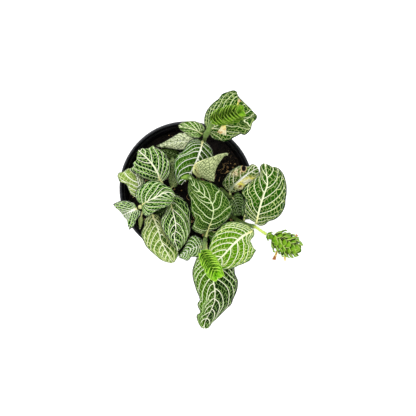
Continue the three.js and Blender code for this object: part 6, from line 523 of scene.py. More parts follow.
    # the net is greener than the veins
    k = 0.6 if name == "leaf_centre" else 0.86 if name in TIGHT else 0.72
    netc = tuple((1 - k) * a + k * b for a, b in zip(light, vein)); netc = (172, 214, 118) if tight or name in GREEN_NET else (netc[0], netc[1], netc[2] * 0.84)
    col = g.mix(g.math("MULTIPLY", m3, bare), cellc, lin(netc))
    col = g.mix(g.math("MULTIPLY", big, bare, clamp=True), col, vc)
    if name == "leaf_damaged":
        dead = g.attr("dead").outputs["Fac"]; brown = g.attr("brown").outputs["Fac"]; hole_with_painted_shade = g.attr("hole_with_painted_shade").outputs["Fac"]
        dn = g.noise(pos, 420.0, 3.0)
        white = g.attr("white").outputs["Fac"]
        dc = g.mix(g.ramp(dn, 0.35, 0.62), lin((232, 222, 92)), lin((252, 246, 196)))
        dc = g.mix(g.ramp(white, 0.1, 0.7), dc, lin((255, 250, 222)))
        dc = g.mix(g.ramp(g.noise(pos, 420.0, 2.0), 0.6, 0.72, 0.0, 0.5), dc, lin((176, 140, 52)))
        dc = g.mix(g.ramp(white, -0.15, -0.5, 0.0, 0.9), dc, lin((120, 72, 24)))
        bc = g.mix(g.ramp(dn, 0.38, 0.62), lin((128, 96, 58)), lin((226, 200, 160)))
        bc = g.mix(g.math("MULTIPLY", m3, 0.9), bc, lin((246, 240, 196)))
        col = g.mix(g.math("MULTIPLY", brown, g.ramp(g.noise(pos, 640.0, 3.0), 0.40, 0.56, 0.1, 1.0)), col, bc)
        col = g.mix(g.math("MULTIPLY", dead, g.ramp(g.noise(pos, 800.0, 4.0), 0.28, 0.5, 0.8, 1.0)), col, dc)
        col = g.mix(g.math("MULTIPLY", m1, g.math("MULTIPLY", g.ramp(dm[2], 0.32, 0.42), g.ramp(dm[2], 0.60, 0.8, 1.0, 0.2))), col, lin((255, 255, 246)))
        # the perforation is not cut: a tan rim of dried tissue, then a near-black middle, painted shade standing in
        # for the dark seen through it
        col = g.mix(g.ramp(hole_with_painted_shade, 0.30, 0.48), col, lin((206, 178, 130)))
        col = g.mix(g.ramp(hole_with_painted_shade, 0.5, 0.75), col, lin((10, 6, 9)))
    g.set(Base_Color=col)
    g.set(Roughness=g.math("ADD", g.math("MULTIPLY", mask, 0.12), g.math("MULTIPLY_ADD", fine, 0.2, 0.42)))
    g.b.inputs["Specular IOR Level"].default_value = 0.03
    h = g.math("SUBTRACT", g.math("MULTIPLY", dome, 0.8), g.math("MULTIPLY", big, 0.25))
    h = g.math("ADD", h, g.math("MULTIPLY", fine, 0.12))
    g.bump(h, 0.00012 if name == "leaf_old_grey" else 0.00045, 0.9)
    return g.m

def leaf_under(name, dark, light):
    g = G(name + "_under")
    net = g.attr("net").outputs["Vector"]
    ph = g.xyz(g.attr("phase").outputs["Vector"]); dm = g.xyz(g.attr("dist").outputs["Vector"])
    sc = g.attr("cellmm").outputs["Fac"]
    d3 = g.math("MULTIPLY", g.voro(net, 1.0, rand=0.6, dims="2D"), sc)
    fr = g.math("ABSOLUTE", g.math("SUBTRACT", g.math("FRACT", g.math("ADD", ph[0], 0.5)), 0.5))
    m2 = g.ramp(g.math("MULTIPLY", fr, ph[1]), 0.1, 0.4, 0.6, 0.0)
    m1 = g.ramp(dm[0], 0.3, 0.8, 1.0, 0.0)
    pos = g.obj()
    grain = g.noise(pos, 900.0, 4.0, 0.7)
    sp = g.math("MULTIPLY", g.ramp(grain, 0.3, 0.66, 0.35, 1.0), g.ramp(d3, 0.08, 0.42, 0.0, 1.0))
    # the blade's tones, with their painted light and shade, lighten and darken the underside too
    sp = g.math("ADD", sp, g.math("MULTIPLY", g.attr("tone_and_painted_light").outputs["Fac"], 0.8), clamp=True)
    col = g.mix(sp, lin(dark), lin(light))
    col = g.mix(g.math("MULTIPLY", g.math("MAXIMUM", m1, m2), 0.45), col, lin((200, 210, 160)))
    col = g.mix(g.ramp(dm[2], 0.0, 0.22, 0.75, 0.0), col, lin((214, 206, 128)))
    g.set(Base_Color=col)
    g.b.inputs["Roughness"].default_value = 0.62
    g.b.inputs["Specular IOR Level"].default_value = 0.08
    h = g.math("ADD", g.math("MULTIPLY", g.math("MAXIMUM", m1, m2), 0.8), g.math("MULTIPLY", sp, 0.5))
    g.bump(h, 0.0004, 0.9)
    return g.m

def bell(t):
    return np.clip(t / 0.15, 0, 1) ** 0.7 * (0.25 + 0.75 * np.clip((1 - t) / 0.4, 0, 1) ** 0.6)

def vein_phase(t, q, curves):
    """which side vein a point lies on: integer on a vein, with the point's own start along the midrib"""
    K = [np.array(c, float) for c in curves]
    g0, g1 = K[1][0] - K[0][0], max(K[-1][0] - K[-2][0], 0.08)
    g0 = max(g0, 0.07)
    while K[0].max() > -0.05:
        K.insert(0, K[0] - g0)
    while K[-1].min() < 1.05:
        K.append(K[-1] + g1 * np.linspace(1.0, 0.9, 11))
    steps = np.linspace(0, 1, 11)
    C = np.array([np.interp(q, steps, c) for c in K])
    C = np.maximum.accumulate(C + np.arange(len(K))[:, None, None] * 1e-5, axis=0)
    T = np.array([c[0] for c in K])
    k = np.clip((C <= t[None]).sum(0) - 1, 0, len(K) - 2)
    I, J = np.indices(t.shape)
    c0, c1 = C[k, I, J], C[k + 1, I, J]
    fr = np.clip((t - c0) / np.maximum(c1 - c0, 1e-4), 0, 1)
    return k + fr, T[k] + fr * (T[k + 1] - T[k])

# how far, from where and up to where along the blade the side veins fade
FADES = {"leaf_centre": (0.5, 0.55, 0.85), "leaf_dark_left": (0.65, 0.68, 0.9), "leaf_left_centre": (0.45, 0.55, 0.85), "leaf_lower_left": (0.4, 0.7, 0.95)}

def build_leaf(name, L):
    look = LEAF_LOOK[name]
    cell, roww = look[7], look[8]
    big = len(L["mid"]) > 20
    nt, nh = (96, 36) if big else (58, 21)
    tt = np.linspace(0, 1, nt)
    M, A, B = (spline(L[k], nt) for k in ("mid", "a", "b"))
    length = np.linalg.norm(np.diff(M, axis=0), axis=1).sum()
    s = np.linspace(-1, 1, 2 * nh + 1)
    seed = sum(ord(c) * (i + 3) for i, c in enumerate(name)) % 977
    r = np.random.default_rng(seed)
    t = np.repeat(tt[:, None], len(s), 1); q = np.repeat(np.abs(s)[None], nt, 0)
    E = np.where((s > 0)[None, :, None], A[:, None], B[:, None])
    W = np.linalg.norm(E - M[:, None], axis=2)
    P = M[:, None] + (E - M[:, None]) * q[..., None]
    under = (s[None] > 0) & (name == "leaf_folded_pale")
    P[..., 2] = M[:, None, 2] + (E[..., 2] - M[:, None, 2]) * q ** np.where(under, 0.7, 1.7) + np.where(under, 0, L["bulge"] * 4 * q * (1 - q) * bell(t))
    # side veins
    phase, t0 = np.zeros_like(t), np.zeros_like(t)
    for half, spec in ((s > 0, L["va"]), (s <= 0, L["vb"])):
        phase[:, half], t0[:, half] = vein_phase(t[:, half], q[:, half], spec)
    # swelling between the side veins and a ripple along the margin
    fr = phase - np.floor(phase)
    body = smoothstep(q, 0.02, 0.3) * (1 - 0.75 * smoothstep(q, 0.8, 1.0)) * bell(t)
    P[..., 2] += 0.42 * (np.sin(math.pi * fr) ** 0.8 - 0.5) * body
    waves = r.uniform(2.5, 4.5, 2); ph0 = r.uniform(0, 6.28, 2)
    side = (s > 0).astype(int)
    P[..., 2] += 0.55 * q ** 3 * np.sin(2 * math.pi * waves[side][None] * t + ph0[side][None]) * bell(t)
    P[..., 2] += 0.35 * (noise3(P, 0.13) - 0.5) * bell(t)
    P[..., 2] -= 0.35 * np.exp(-(q * W / 1.1) ** 2) * bell(t)          # the midrib lies in a groove
    # skins
    dT = np.gradient(P, axis=0); dS = np.gradient(P, axis=1)
    nr = np.cross(dT, dS); nr /= np.linalg.norm(nr, axis=2)[..., None] + 1e-12
    sign = -1.0 if np.median(nr[:, s < -0.1, 2] if name == "leaf_folded_pale" else nr[..., 2]) < 0 else 1.0
    nr *= sign
    th = 0.42 * (0.35 + 0.65 * (1 - smoothstep(q, 0.9, 1.0))) / 2
    top, low = P + nr * th[..., None], P - nr * th[..., None]
    R, C = nt, len(s)
    V = np.vstack([top.reshape(-1, 3), low.reshape(-1, 3)])
    idx = np.arange(R * C).reshape(R, C)
    a, b, c, d = idx[:-1, :-1].ravel(), idx[1:, :-1].ravel(), idx[1:, 1:].ravel(), idx[:-1, 1:].ravel()
    n0 = R * C
    up = np.stack([a, b, c, d], 1); dn = np.stack([a, d, c, b], 1) + n0
    loop = np.concatenate([idx[:-1, 0], idx[-1, :-1], idx[:0:-1, -1], idx[0, :0:-1]])
    nx = np.roll(loop, -1)
    edge = np.stack([loop, loop + n0, nx + n0, nx], 1)
    F = np.vstack([up, dn, edge])
    if sign < 0:
        F = F[:, ::-1]
    mi = np.r_[np.zeros(len(up)), np.ones(len(dn)), np.zeros(len(edge))].astype(int)
    # fields for the finish
    gx, gy = np.gradient(phase, axis=0), np.gradient(phase, axis=1)
    lt, ls = np.linalg.norm(dT, axis=2) + 1e-9, np.linalg.norm(dS, axis=2) + 1e-9
    # mm per unit of phase: physical gradient from the two grid directions (they aren't square to each other)
    cosx = (dT * dS).sum(2) / (lt * ls)
    sin2 = np.maximum(1 - cosx ** 2, 0.05)
    fa, fb = gx / lt, gy / ls
    # one-sided differences on the midrib column keep the two halves apart
    mid = nh
    fb[:, mid] = (phase[:, mid] - phase[:, mid - 1]) / ls[:, mid]
    grad = np.sqrt(np.maximum((fa ** 2 + fb ** 2 - 2 * fa * fb * cosx) / sin2, 1e-6))
    mmP = np.clip(1 / grad, 0.4, 9.0)
    # rows of cells between two side veins, by how far apart those are
    u, mm_row = np.zeros_like(t), np.ones_like(t)
    for half in (s > 0, s <= 0):
        ph_, mm_, q_ = phase[:, half], mmP[:, half], q[:, half]
        k_ = np.floor(ph_).astype(int); total = 0.0
        for k in range(k_.max() + 1):
            here = (k_ == k) & (q_ > 0.15) & (q_ < 0.95)
            rows = int(np.clip(round(np.percentile(mm_[here], 65) / roww), 1, 3)) if here.any() else 1
            on = k_ == k
            tmp = u[:, half]; tmp[on] = total + (ph_[on] - k) * rows; u[:, half] = tmp
            tmp = mm_row[:, half]; tmp[on] = mm_[on] / rows; mm_row[:, half] = tmp
            total += rows
    arc = np.sqrt((q * W) ** 2 + ((t - t0) * length) ** 2)
    v = (arc + 0.55 * t0 * length) / cell + side[None] * 37.0 + seed
    u = u + side[None] * 40.0 + seed % 50
    cellmm = np.sqrt(np.clip(mm_row, 0.5, 4.5) * cell)
    # broad tones on the blade: random patches of lighter and darker green, plus each leaf's painted light and painted
    # shade from the table of tones
    tone_and_painted_light = 0.30 * (fbm(P, 0.09, 3) - 0.5) + 0.05
    dead, brown, hole_with_painted_shade, plain, white = (np.zeros_like(t) for _ in range(5))
    fade = 1 - FADES.get(name, (0, 0.5, 1))[0] * smoothstep(t, *FADES.get(name, (0, 0.5, 1))[1:])
    X, Y = P[..., 0], P[..., 1]
    def blob(x, y, rx, ry, ang=0.0):
        ca, sa = math.cos(ang), math.sin(ang)
        ex, ey = (X - x) * ca + (Y - y) * sa, -(X - x) * sa + (Y - y) * ca
        return np.exp(-((ex / rx) ** 2 + (ey / ry) ** 2))
    tone_and_painted_light = tone_and_painted_light + TONES_AND_PAINTED_LIGHT.get(name, lambda *k: 0)(t, s[None] * np.ones_like(t), X, Y, blob)
    if name == "leaf_centre":
        plain = smoothstep(t, 0.88, 0.94)
    if name == "leaf_damaged":
        dead = np.clip(2.8 * blob(43.6, 3.6, 6.4, 3.1, 0.42) * (s[None] < -0.04) - 0.25, 0, 1)
        white = np.clip(1.6 * blob(44.9, 4.5, 3.0, 1.7, 0.3) - 0.25, 0, 1) - np.clip(1.3 * blob(39.3, 1.2, 1.5, 0.8, 0.5) - 0.2, 0, 1)
        brown = np.clip(1.5 * blob(37.3, 11.2, 4.4, 2.3, 0.42) + 1.2 * blob(41.4, 10.9, 1.6, 1.2) - 0.15, 0, 1) * (s[None] > 0)
        # a perforation painted on the blade: its dried rim and its painted-shade middle
        hole_with_painted_shade = np.clip(1.25 * blob(42.0, 14.0, 1.9, 2.6), 0, 1)
    ob = new_mesh(name + "_blade", V, F, [UNDER["folded"] if name == "leaf_folded_pale" else leaf_top(name, look), UNDER[UNDER_OF.get(name, "green")]], mi)
    two = lambda x: np.concatenate([x.reshape(-1), x.reshape(-1)])
    vec = lambda x, y, z: np.stack([two(x), two(y), two(z)], 1)
    attr(ob, "net", vec(u, v, np.zeros_like(u)), "FLOAT_VECTOR")
    attr(ob, "phase", vec(phase, mmP, q), "FLOAT_VECTOR")
    attr(ob, "dist", vec(q * W, (1 - q) * W, t), "FLOAT_VECTOR")
    attr(ob, "tone_and_painted_light", two(tone_and_painted_light)); attr(ob, "cellmm", two(cellmm))
    attr(ob, "dead", two(dead)); attr(ob, "brown", two(brown)); attr(ob, "hole_with_painted_shade", two(hole_with_painted_shade)); attr(ob, "plain", two(plain))
    attr(ob, "fade", two(fade)); attr(ob, "white", two(white))
    # own flat layout, upper side first
    uv = ob.data.uv_layers.new(name="OFBake")
    li = np.zeros(len(ob.data.loops), np.int32); ob.data.loops.foreach_get("vertex_index", li)
    low_side = li >= n0; k = li % n0; i, j = k // C, k % C
    fx, fy = j / (C - 1), i / (R - 1)
    # margins of the flat layout follow the blade, so that the edge faces keep some room
    uu = np.where(low_side, 0.70 + 0.29 * fx, 0.01 + 0.67 * fx)
    uv.data.foreach_set("uv", np.stack([uu, 0.01 + 0.98 * fy], 1).astype(np.float32).ravel())
    # the petiole and the midrib's keel under the blade
    keel_n = 30
    kt = np.linspace(0, 0.86, keel_n)
    K = spline(low.reshape(R, C, 3)[:, mid], keel_n, kt)
    Kn = spline(nr[:, mid], keel_n, kt)
    rad = 0.62 * (1 - kt / 0.86) ** 0.8 + 0.1
    if not big: rad = rad * 0.75
    K = K - Kn * (rad * 0.45)[:, None]
    if L["pet"]:
        pet = np.array(L["pet"], float)
        full = np.vstack([pet, K[1:2]])
        npt = 4 * len(full)
        Pp = spline(full, npt)[:-1]
        rp = np.linspace(0.98, 0.72, len(Pp)) * (1.0 if big else 0.7)
        path = np.vstack([Pp, K[1:]]); rads = np.r_[rp, rad[1:]]
    else:
        path, rads = K, rad
    # smooth the joint of the two runs
    for _ in range(3):
        path[1:-1] = 0.5 * path[1:-1] + 0.25 * (path[:-2] + path[2:]); rads[1:-1] = 0.5 * rads[1:-1] + 0.25 * (rads[:-2] + rads[2:])
    TV, TF = tube_arrays(path, rads, 10)
    keel = new_mesh(name + "_petiole", TV, TF, [PETIOLE])
    attr(keel, "along", np.r_[np.repeat(np.linspace(0, 1, len(path)), 10), 0, 1])
    return ob, keel

# painted light and shade for each leaf: one half of a blade lit and the other shaded, lighter bands and patches of
# painted sheen, painted shade at the foot of a blade; only the folded pale leaf gets random mottling, its own colour
TONES_AND_PAINTED_LIGHT = {
 "leaf_centre_top": lambda t, s, X, Y, blob: 0.12 * np.clip(smoothstep(np.abs(s), 0.12, 0.5) * (s > 0), 0, 1) * smoothstep(t, 0.15, 0.4) - 0.2 * (s < 0),
 "leaf_right": lambda t, s, X, Y, blob: 0.2 * np.exp(-((np.abs(s) - 0.35) / 0.25) ** 2) * smoothstep(t, 0.1, 0.4) - 0.08,
 "leaf_centre": lambda t, s, X, Y, blob: 0.15 * np.exp(-((s + 0.3) / 0.35) ** 2) - 0.3 * smoothstep(-t, -0.25, 0.0) + 0.3 * (s > 0) * smoothstep(np.abs(s), 0.88, 0.97) * smoothstep(t, 0.4, 0.6) + 0.2 * smoothstep(t, 0.86, 0.94),
 "leaf_bottom": lambda t, s, X, Y, blob: 0.38 * (s > 0) * smoothstep(np.abs(s), 0.05, 0.5) - 0.35 * (s < 0) + 0.25 * smoothstep(t, 0.85, 1.0),
 "leaf_lower_left": lambda t, s, X, Y, blob: 0.35 * (s > 0) * smoothstep(t, 0.15, 0.4) + 0.22 * smoothstep(t, 0.6, 0.9) - 0.25 * (s < 0) * (1 - smoothstep(t, 0.6, 0.9)),
 "leaf_rim_left": lambda t, s, X, Y, blob: 0.35 * (s > 0) - 0.3 * (s < 0),
 "leaf_dark_left": lambda t, s, X, Y, blob: 0.1 * blob(-9, -22, 8, 10) - 0.05,
 "leaf_damaged": lambda t, s, X, Y, blob: 0.35 * smoothstep(t, 0.3, 0.6) - 0.15,
 "leaf_folded_pale": lambda t, s, X, Y, blob: 0.3 * (fbm(np.stack([X, Y, 0 * X], -1), 0.4, 3) - 0.4),
}
UNDER = {
 "green": leaf_under("leaf_green", (74, 108, 44), (132, 158, 92)),
 "folded": leaf_under("leaf_folded", (62, 86, 34), (204, 214, 156)),
 "pale": leaf_under("leaf_pale", (132, 152, 96), (204, 214, 160)),
}
UNDER_OF = {"leaf_folded_pale": "pale", "leaf_old_grey": "pale"}

def fleshy(name, a, b, c, rough=0.5, scale=300.0):
    """soft green tissue: two greens in streaks, lighter towards the far end, and a fine velvety grain"""
    g = G(name); pos = g.obj()
    al = g.attr("along").outputs["Fac"]
    col = g.mix(g.ramp(g.noise(pos, scale, 3.0), 0.3, 0.7), lin(a), lin(b))
    col = g.mix(g.ramp(al, 0.0, 0.6, 0.0, 0.65), col, lin(c))
    fine = g.noise(pos, 2600.0, 2.0)
    col = g.mix(g.ramp(fine, 0.5, 0.8, 0.0, 0.35), col, lin((222, 232, 190)))
    g.set(Base_Color=col, Roughness=g.math("MULTIPLY_ADD", fine, 0.25, rough - 0.1))
    g.b.inputs["Specular IOR Level"].default_value = 0.35
    g.b.inputs["Subsurface Weight"].default_value = 0.1
    g.b.inputs["Subsurface Radius"].default_value = (0.6, 1.0, 0.3)
    g.b.inputs["Subsurface Scale"].default_value = 0.0015
    g.bump(fine, 0.00015, 0.6)
    return g.m
PETIOLE = fleshy("petiole_skin", (176, 184, 104), (212, 218, 142), (236, 238, 176))
# the hidden stems get dark greens: painted shade, for they stand low under the leaves
STEM_SHADED = fleshy("stem_shaded_skin", (54, 80, 26), (88, 112, 44), (112, 140, 62))
STEM_PALE = fleshy("stem_pale_skin", (128, 146, 66), (196, 206, 116), (246, 248, 176))
STALK = fleshy("stalk_skin", (186, 208, 84), (214, 232, 112), (222, 238, 124))
STALK_SOFT = fleshy("stalk_soft_skin", (92, 124, 50), (172, 196, 122), (138, 178, 76), 0.5, 520.0)

# the bottom spike's stalk: the stalk greens taken dark as painted shade low down, paling towards its top
STALK_SHADED = fleshy("stalk_shaded_skin", (40, 62, 20), (82, 110, 46), (160, 192, 112))

pieces = []
for name, L in LEAVES.items():
    blade, keel = build_leaf(name, L)
    for o in (blade, keel):
        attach(o, "root")
    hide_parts(name)

# ------------------------------------------------------------------ hairs, tubes, stems and stalks
def hairs(P, R, count, length, width, r, spread=0.35):
    """fine tapering hairs that stand off a tube: one mesh of thin three-sided points"""
    P = np.asarray(P, float); T, N, B = frames(P)
    V, F = [], []
    for _ in range(count):
        x = r.uniform(0.02, 0.98) * (len(P) - 1); i = int(x); f = x - i
        c = P[i] * (1 - f) + P[i + 1] * f; rad = R[i] * (1 - f) + R[i + 1] * f
        a = r.uniform(0, 2 * math.pi)
        d = math.cos(a) * N[i] + math.sin(a) * B[i]
        d2 = d + T[i] * r.uniform(-spread, spread) + r.normal(0, 0.15, 3); d2 /= np.linalg.norm(d2)
        s = np.cross(d2, T[i]); s /= np.linalg.norm(s) + 1e-9; w = np.cross(d2, s)
        root = c + d * rad * 0.93; ln = length * r.uniform(0.6, 1.25)
        k = len(V)
        for m in range(3):
            b = m * 2.0944
            V.append(root + (math.cos(b) * s + math.sin(b) * w) * width)
        V.append(root + d2 * ln + r.normal(0, 0.06, 3))
        F += [(k, k + 1, k + 3), (k + 1, k + 2, k + 3), (k + 2, k, k + 3), (k + 2, k + 1, k)]
    return V, F

def stem_piece(name, line, radius, mat, swell=0.18, hair=None, seed=1, taper=1.0):
    r = np.random.default_rng(seed)
    n = 56
    P = spline(line, n)
    x = np.linspace(0, 1, n)
    R = radius * (1 + (taper - 1) * x) * np.ones(n)
    # swollen joints at a few places along the stem
    for c in (0.06, 0.42, 0.96):
        R = R * (1 + swell * np.exp(-((x - c) / 0.035) ** 2))
    P[1:-1] += r.normal(0, 0.02, (n - 2, 3))
    V, F = tube_arrays(P, R, 16)
    V = np.asarray(V); ang = np.arctan2(*(V - V.mean(0))[:, :2].T)
    wav = 0.05 * (fbm(V, 0.9, 2)[:, None] - 0.5)
    C = np.repeat(P, 16, 0); D = V[:-2] - C; D /= np.linalg.norm(D, axis=1)[:, None]
    V[:-2] += D * wav[:-2]
    al = list(np.r_[np.repeat(x, 16), 0, 1])
    V = V.tolist()
    if hair:
        HV, HF = hairs(P, R, hair[0], hair[1], hair[2] if len(hair) > 2 else 0.035, r)
        k = len(V); V += [list(v) for v in HV]; F += [tuple(i + k for i in f) for f in HF]; al += [1.6] * len(HV)
    ob = new_mesh(name, V, F, [mat])
    attr(ob, "along", al)
    return ob

for i, (name, (radius, line)) in enumerate(STEMS.items()):
    o = stem_piece(name + "_shown", line, radius * 0.93, STEM_PALE if name == "stem_left" else STEM_SHADED, 0.12, (260, 0.7), 20 + i)
    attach(o, "root"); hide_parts(name)
for i, (name, line) in enumerate(STALKS.items()):
    o = stem_piece(name + "_shown", line, 0.86, STALK if name == "spike_right_stalk" else STALK_SHADED if name == "spike_bottom_stalk" else STALK_SOFT, 0.10, (1300, 1.5, 0.085) if name == "spike_top_stalk" else (620, 0.85), 40 + i)
    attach(o, "root"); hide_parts(name)

# ------------------------------------------------------------------ flower spikes
srgb = lin
def bract_skin(name, gain):
    g = G("bract_skin_" + name); pos = g.obj()
    # every colour is scaled by gain: painted light and shade, the same finish lit or shaded for each spike
    lin = lambda c: (*(min(x * gain, 1.0) for x in srgb(c)[:3]), 1.0)
    v = g.xyz(g.attr("leafy").outputs["Vector"])       # along the bract, across it, its own number
    ac = g.math("ABSOLUTE", v[1])
    # a pale midrib and three pairs of pale ribs that run with the bract
    mid = g.ramp(ac, 0.03, 0.12, 1.0, 0.0)
    fan = g.math("DIVIDE", ac, g.math("MAXIMUM", g.math("SINE", g.math("MULTIPLY", v[0], 3.0)), 0.25))
    rib = g.ramp(g.math("ABSOLUTE", g.math("SUBTRACT", g.math("FRACT", g.math("MULTIPLY", fan, 3.2)), 0.5)), 0.05, 0.22, 1.0, 0.0)
    ribs = g.math("MAXIMUM", mid, g.math("MULTIPLY", rib, 0.5))
    base = g.mix(g.ramp(g.noise(pos, 420.0, 3.0), 0.3, 0.7), lin((82, 148, 6)), lin((146, 208, 30)))
    base = g.mix(g.ramp(v[0], 0.0, 0.3, 0.4, 0.0), base, lin((34, 92, 0)))
    base = g.mix(g.ramp(v[0], 0.70, 0.95, 0.0, 0.85), base, lin((160, 206, 62)))
    own = g.math("FRACT", g.math("MULTIPLY", g.math("SINE", g.math("MULTIPLY", v[2], 12.9)), 43.7))
    base = g.mix(g.math("MULTIPLY", own, 0.35), base, lin((150, 204, 40)))
    col = g.mix(g.math("MULTIPLY", ribs, 0.35), base, lin((170, 210, 70)))
    rim = g.ramp(ac, 0.66, 0.92, 0.0, 0.9)
    col = g.mix(rim, col, lin((226, 250, 140) if name == "right" else (196, 232, 96)))
    fine = g.noise(pos, 3000.0, 2.0)
    g.set(Base_Color=col, Roughness=g.math("MULTIPLY_ADD", fine, 0.2, 0.42))
    g.b.inputs["Specular IOR Level"].default_value = 0.12
    g.bump(g.math("ADD", g.math("MULTIPLY", ribs, 0.7), g.math("MULTIPLY", fine, 0.3)), 0.0002, 0.8)
    return g.m
# lit and shaded copies of one bract finish: dimmed for the top and right spikes, brightened for the bottom spike
BRACT = {"spike_top_bracts": bract_skin("top", 0.74), "spike_right_bracts": bract_skin("right", 0.70), "spike_bottom_bracts": bract_skin("bottom", 1.28)}

def spike_piece(name, foot, tip, w, h, seed, turn=math.pi / 4, spread=1.3):
    r = np.random.default_rng(seed)
    foot, tip = np.array(foot, float), np.array(tip, float)
    D = tip - foot; L = np.linalg.norm(D); D /= L
    X = np.array([-D[1], D[0], 0.0]); X /= np.linalg.norm(X); Z = np.cross(X, D)
    if Z[2] < 0: Z = -Z
    V, F, A, MI = [], [], [], []
    # core
    n = 14; P = foot + D * np.linspace(0, L * 0.93, n)[:, None]
    R = np.linspace(0.3, 0.06, n) * w
    TV, TF = tube_arrays(P, R, 8); V += TV.tolist(); F += TF; A += [(0.1, 0.5, 0.0)] * len(TV)
    plump = w > 6          # short, broad scales like a hop's
    step = 1.75 if plump else 1.55
    per = 6 if plump else 2                     # scales to a tier
    pairs = int((L - (5.2 if plump else 2.0)) / step)
    nu, nv = ((11, 9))
    for k in range(pairs + 1):
        u = (k * step + (2.7 if plump and k else 0.0)) / L    # a short bare neck above the lowest scales
        fat = min(1.0, ((0.58 + 0.26 * k if k else 0.40) if plump else (0.86 + u * 1.5))) * (1 - 0.5 * smoothstep(u, 0.55, 1.0))
        for side in range(per):
            phi = 2 * math.pi / per * side + (math.pi / per) * (k % 2) + turn + r.normal(0, 0.10)
            rw = math.cos(phi) * X * w + math.sin(phi) * Z * h
            reach = np.linalg.norm(rw) * fat * (1.16 if plump else spread) * r.uniform(0.9, 1.04)
            rad = rw / np.linalg.norm(rw)
            tan = np.cross(D, rad)
            ln = (5.3 if plump else 6.9) * (0.72 + 0.28 * fat) * r.uniform(0.92, 1.06) * (0.66 if plump and k == 0 else 1.0)
            ln = min(ln, L + 0.4 - u * L)
            half = (0.75 if plump and k == 0 else 1.0) * (2.9 if plump else 3.6) * (0.7 + 0.3 * fat) * r.uniform(0.93, 1.05)
            flare = r.uniform(0.85, 1.1)
            b0 = foot + D * (u * L)
            k0 = len(V)
            for skin in (1, -1):
                for i in range(nu):
                    t = i / (nu - 1)
                    out = 0.7 + (reach - 0.7) * (math.sin(min(t * flare * (1.42 if plump else 1.0), 1.5 if plump else 1.0) * math.pi / 2) ** 0.85)
                    along = ln * (0.10 * t + 0.90 * t ** 1.12)
                    hw = half * max(math.sin(math.pi * min(t ** (0.85 if plump else 0.68), 1.0)), 0.0) ** (0.5 if plump else 0.62) + 0.03 + 0.4 * (1 - t) ** 3
                    for j in range(nv):
                        s = -1 + 2 * j / (nv - 1)
                        x = s * hw
                        dip = 0.115 * x * x + 0.10 * abs(x)
                        th = skin * 0.13 * (1 - 0.7 * abs(s) ** 3)
                        p = b0 + D * (along - 0.05 * x * x) + rad * (out - dip + th) + tan * x
                        V.append(p.tolist()); A.append((t, s, k * 2 + side + seed))
            m = nu * nv
            for i in range(nu - 1):
                for j in range(nv - 1):
                    a = k0 + i * nv + j; b = a + nv
                    F.append((a, a + 1, b + 1, b)); F.append((a + m, b + m, b + 1 + m, a + 1 + m))
            loop = [i * nv for i in range(nu - 1)] + [(nu - 1) * nv + j for j in range(nv - 1)] + [i * nv + nv - 1 for i in range(nu - 1, 0, -1)] + [j for j in range(nv - 1, 0, -1)]
            for q in range(len(loop)):
                a, b = k0 + loop[q], k0 + loop[(q + 1) % len(loop)]
                F.append((a, b, b + m, a + m))
            # short hairs along the bract's two margins
            for _ in range(16):
                i = r.integers(2, nu - 1); sgn = r.choice((-1, 1)); idx = k0 + i * nv + (nv - 1 if sgn > 0 else 0)
                p = np.array(V[idx]); d = tan * sgn * 0.8 + D * 0.6 + rad * r.uniform(-0.2, 0.5) + r.normal(0, 0.1, 3); d /= np.linalg.norm(d)
                c = np.cross(d, rad); c /= np.linalg.norm(c) + 1e-9
                kk = len(V)
                V += [(p - c * 0.035).tolist(), (p + c * 0.035).tolist(), (p + rad * 0.05).tolist(), (p + d * r.uniform(0.4, 0.7)).tolist()]
                A += [(0.9, 1.0, k * 2 + side)] * 4
                F += [(kk, kk + 1, kk + 3), (kk + 1, kk + 2, kk + 3), (kk + 2, kk, kk + 3), (kk, kk + 2, kk + 1)]
    ob = new_mesh(name + "_shown", V, F, [BRACT[name]])
    attr(ob, "leafy", A, "FLOAT_VECTOR")
    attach(ob, "root"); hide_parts(name)
    return ob
for i, (name, (foot, tip, w, h)) in enumerate(SPIKES.items()):
    spike_piece(name, foot, tip, w, h, 60 + i, 1.0 if name == "spike_right_bracts" else math.pi / 4)

# ------------------------------------------------------------------ withered flowers
def petal_skin():
    g = G("withered_petal"); pos = g.obj()
    al = g.attr("along").outputs["Fac"]; age = g.attr("age").outputs["Fac"]
    n = g.noise(pos, 380.0, 4.0)
    col = g.mix(g.ramp(al, 0.1, 0.75), lin((240, 224, 96)), lin((255, 250, 206)))
    col = g.mix(g.math("MULTIPLY", g.ramp(n, 0.5, 0.62, 0.0, 0.9), g.math("MULTIPLY_ADD", age, 0.3, 0.7)), col, lin((226, 168, 52)))
    col = g.mix(g.math("MULTIPLY", age, g.ramp(al, 0.35, 0.75)), col, lin((190, 120, 52)))
    col = g.mix(g.math("MULTIPLY", g.ramp(g.noise(pos, 380.0, 3.0), 0.6, 0.72), g.math("MULTIPLY_ADD", age, 0.6, 0.3)), col, lin((112, 64, 28)))
    g.set(Base_Color=col, Roughness=g.math("MULTIPLY_ADD", n, 0.3, 0.5))
    g.b.inputs["Subsurface Weight"].default_value = 0.1
    g.b.inputs["Subsurface Radius"].default_value = (1.0, 0.8, 0.4)
    g.b.inputs["Subsurface Scale"].default_value = 0.001
    g.bump(n, 0.0003, 0.9)
    return g.m
PETAL = petal_skin()
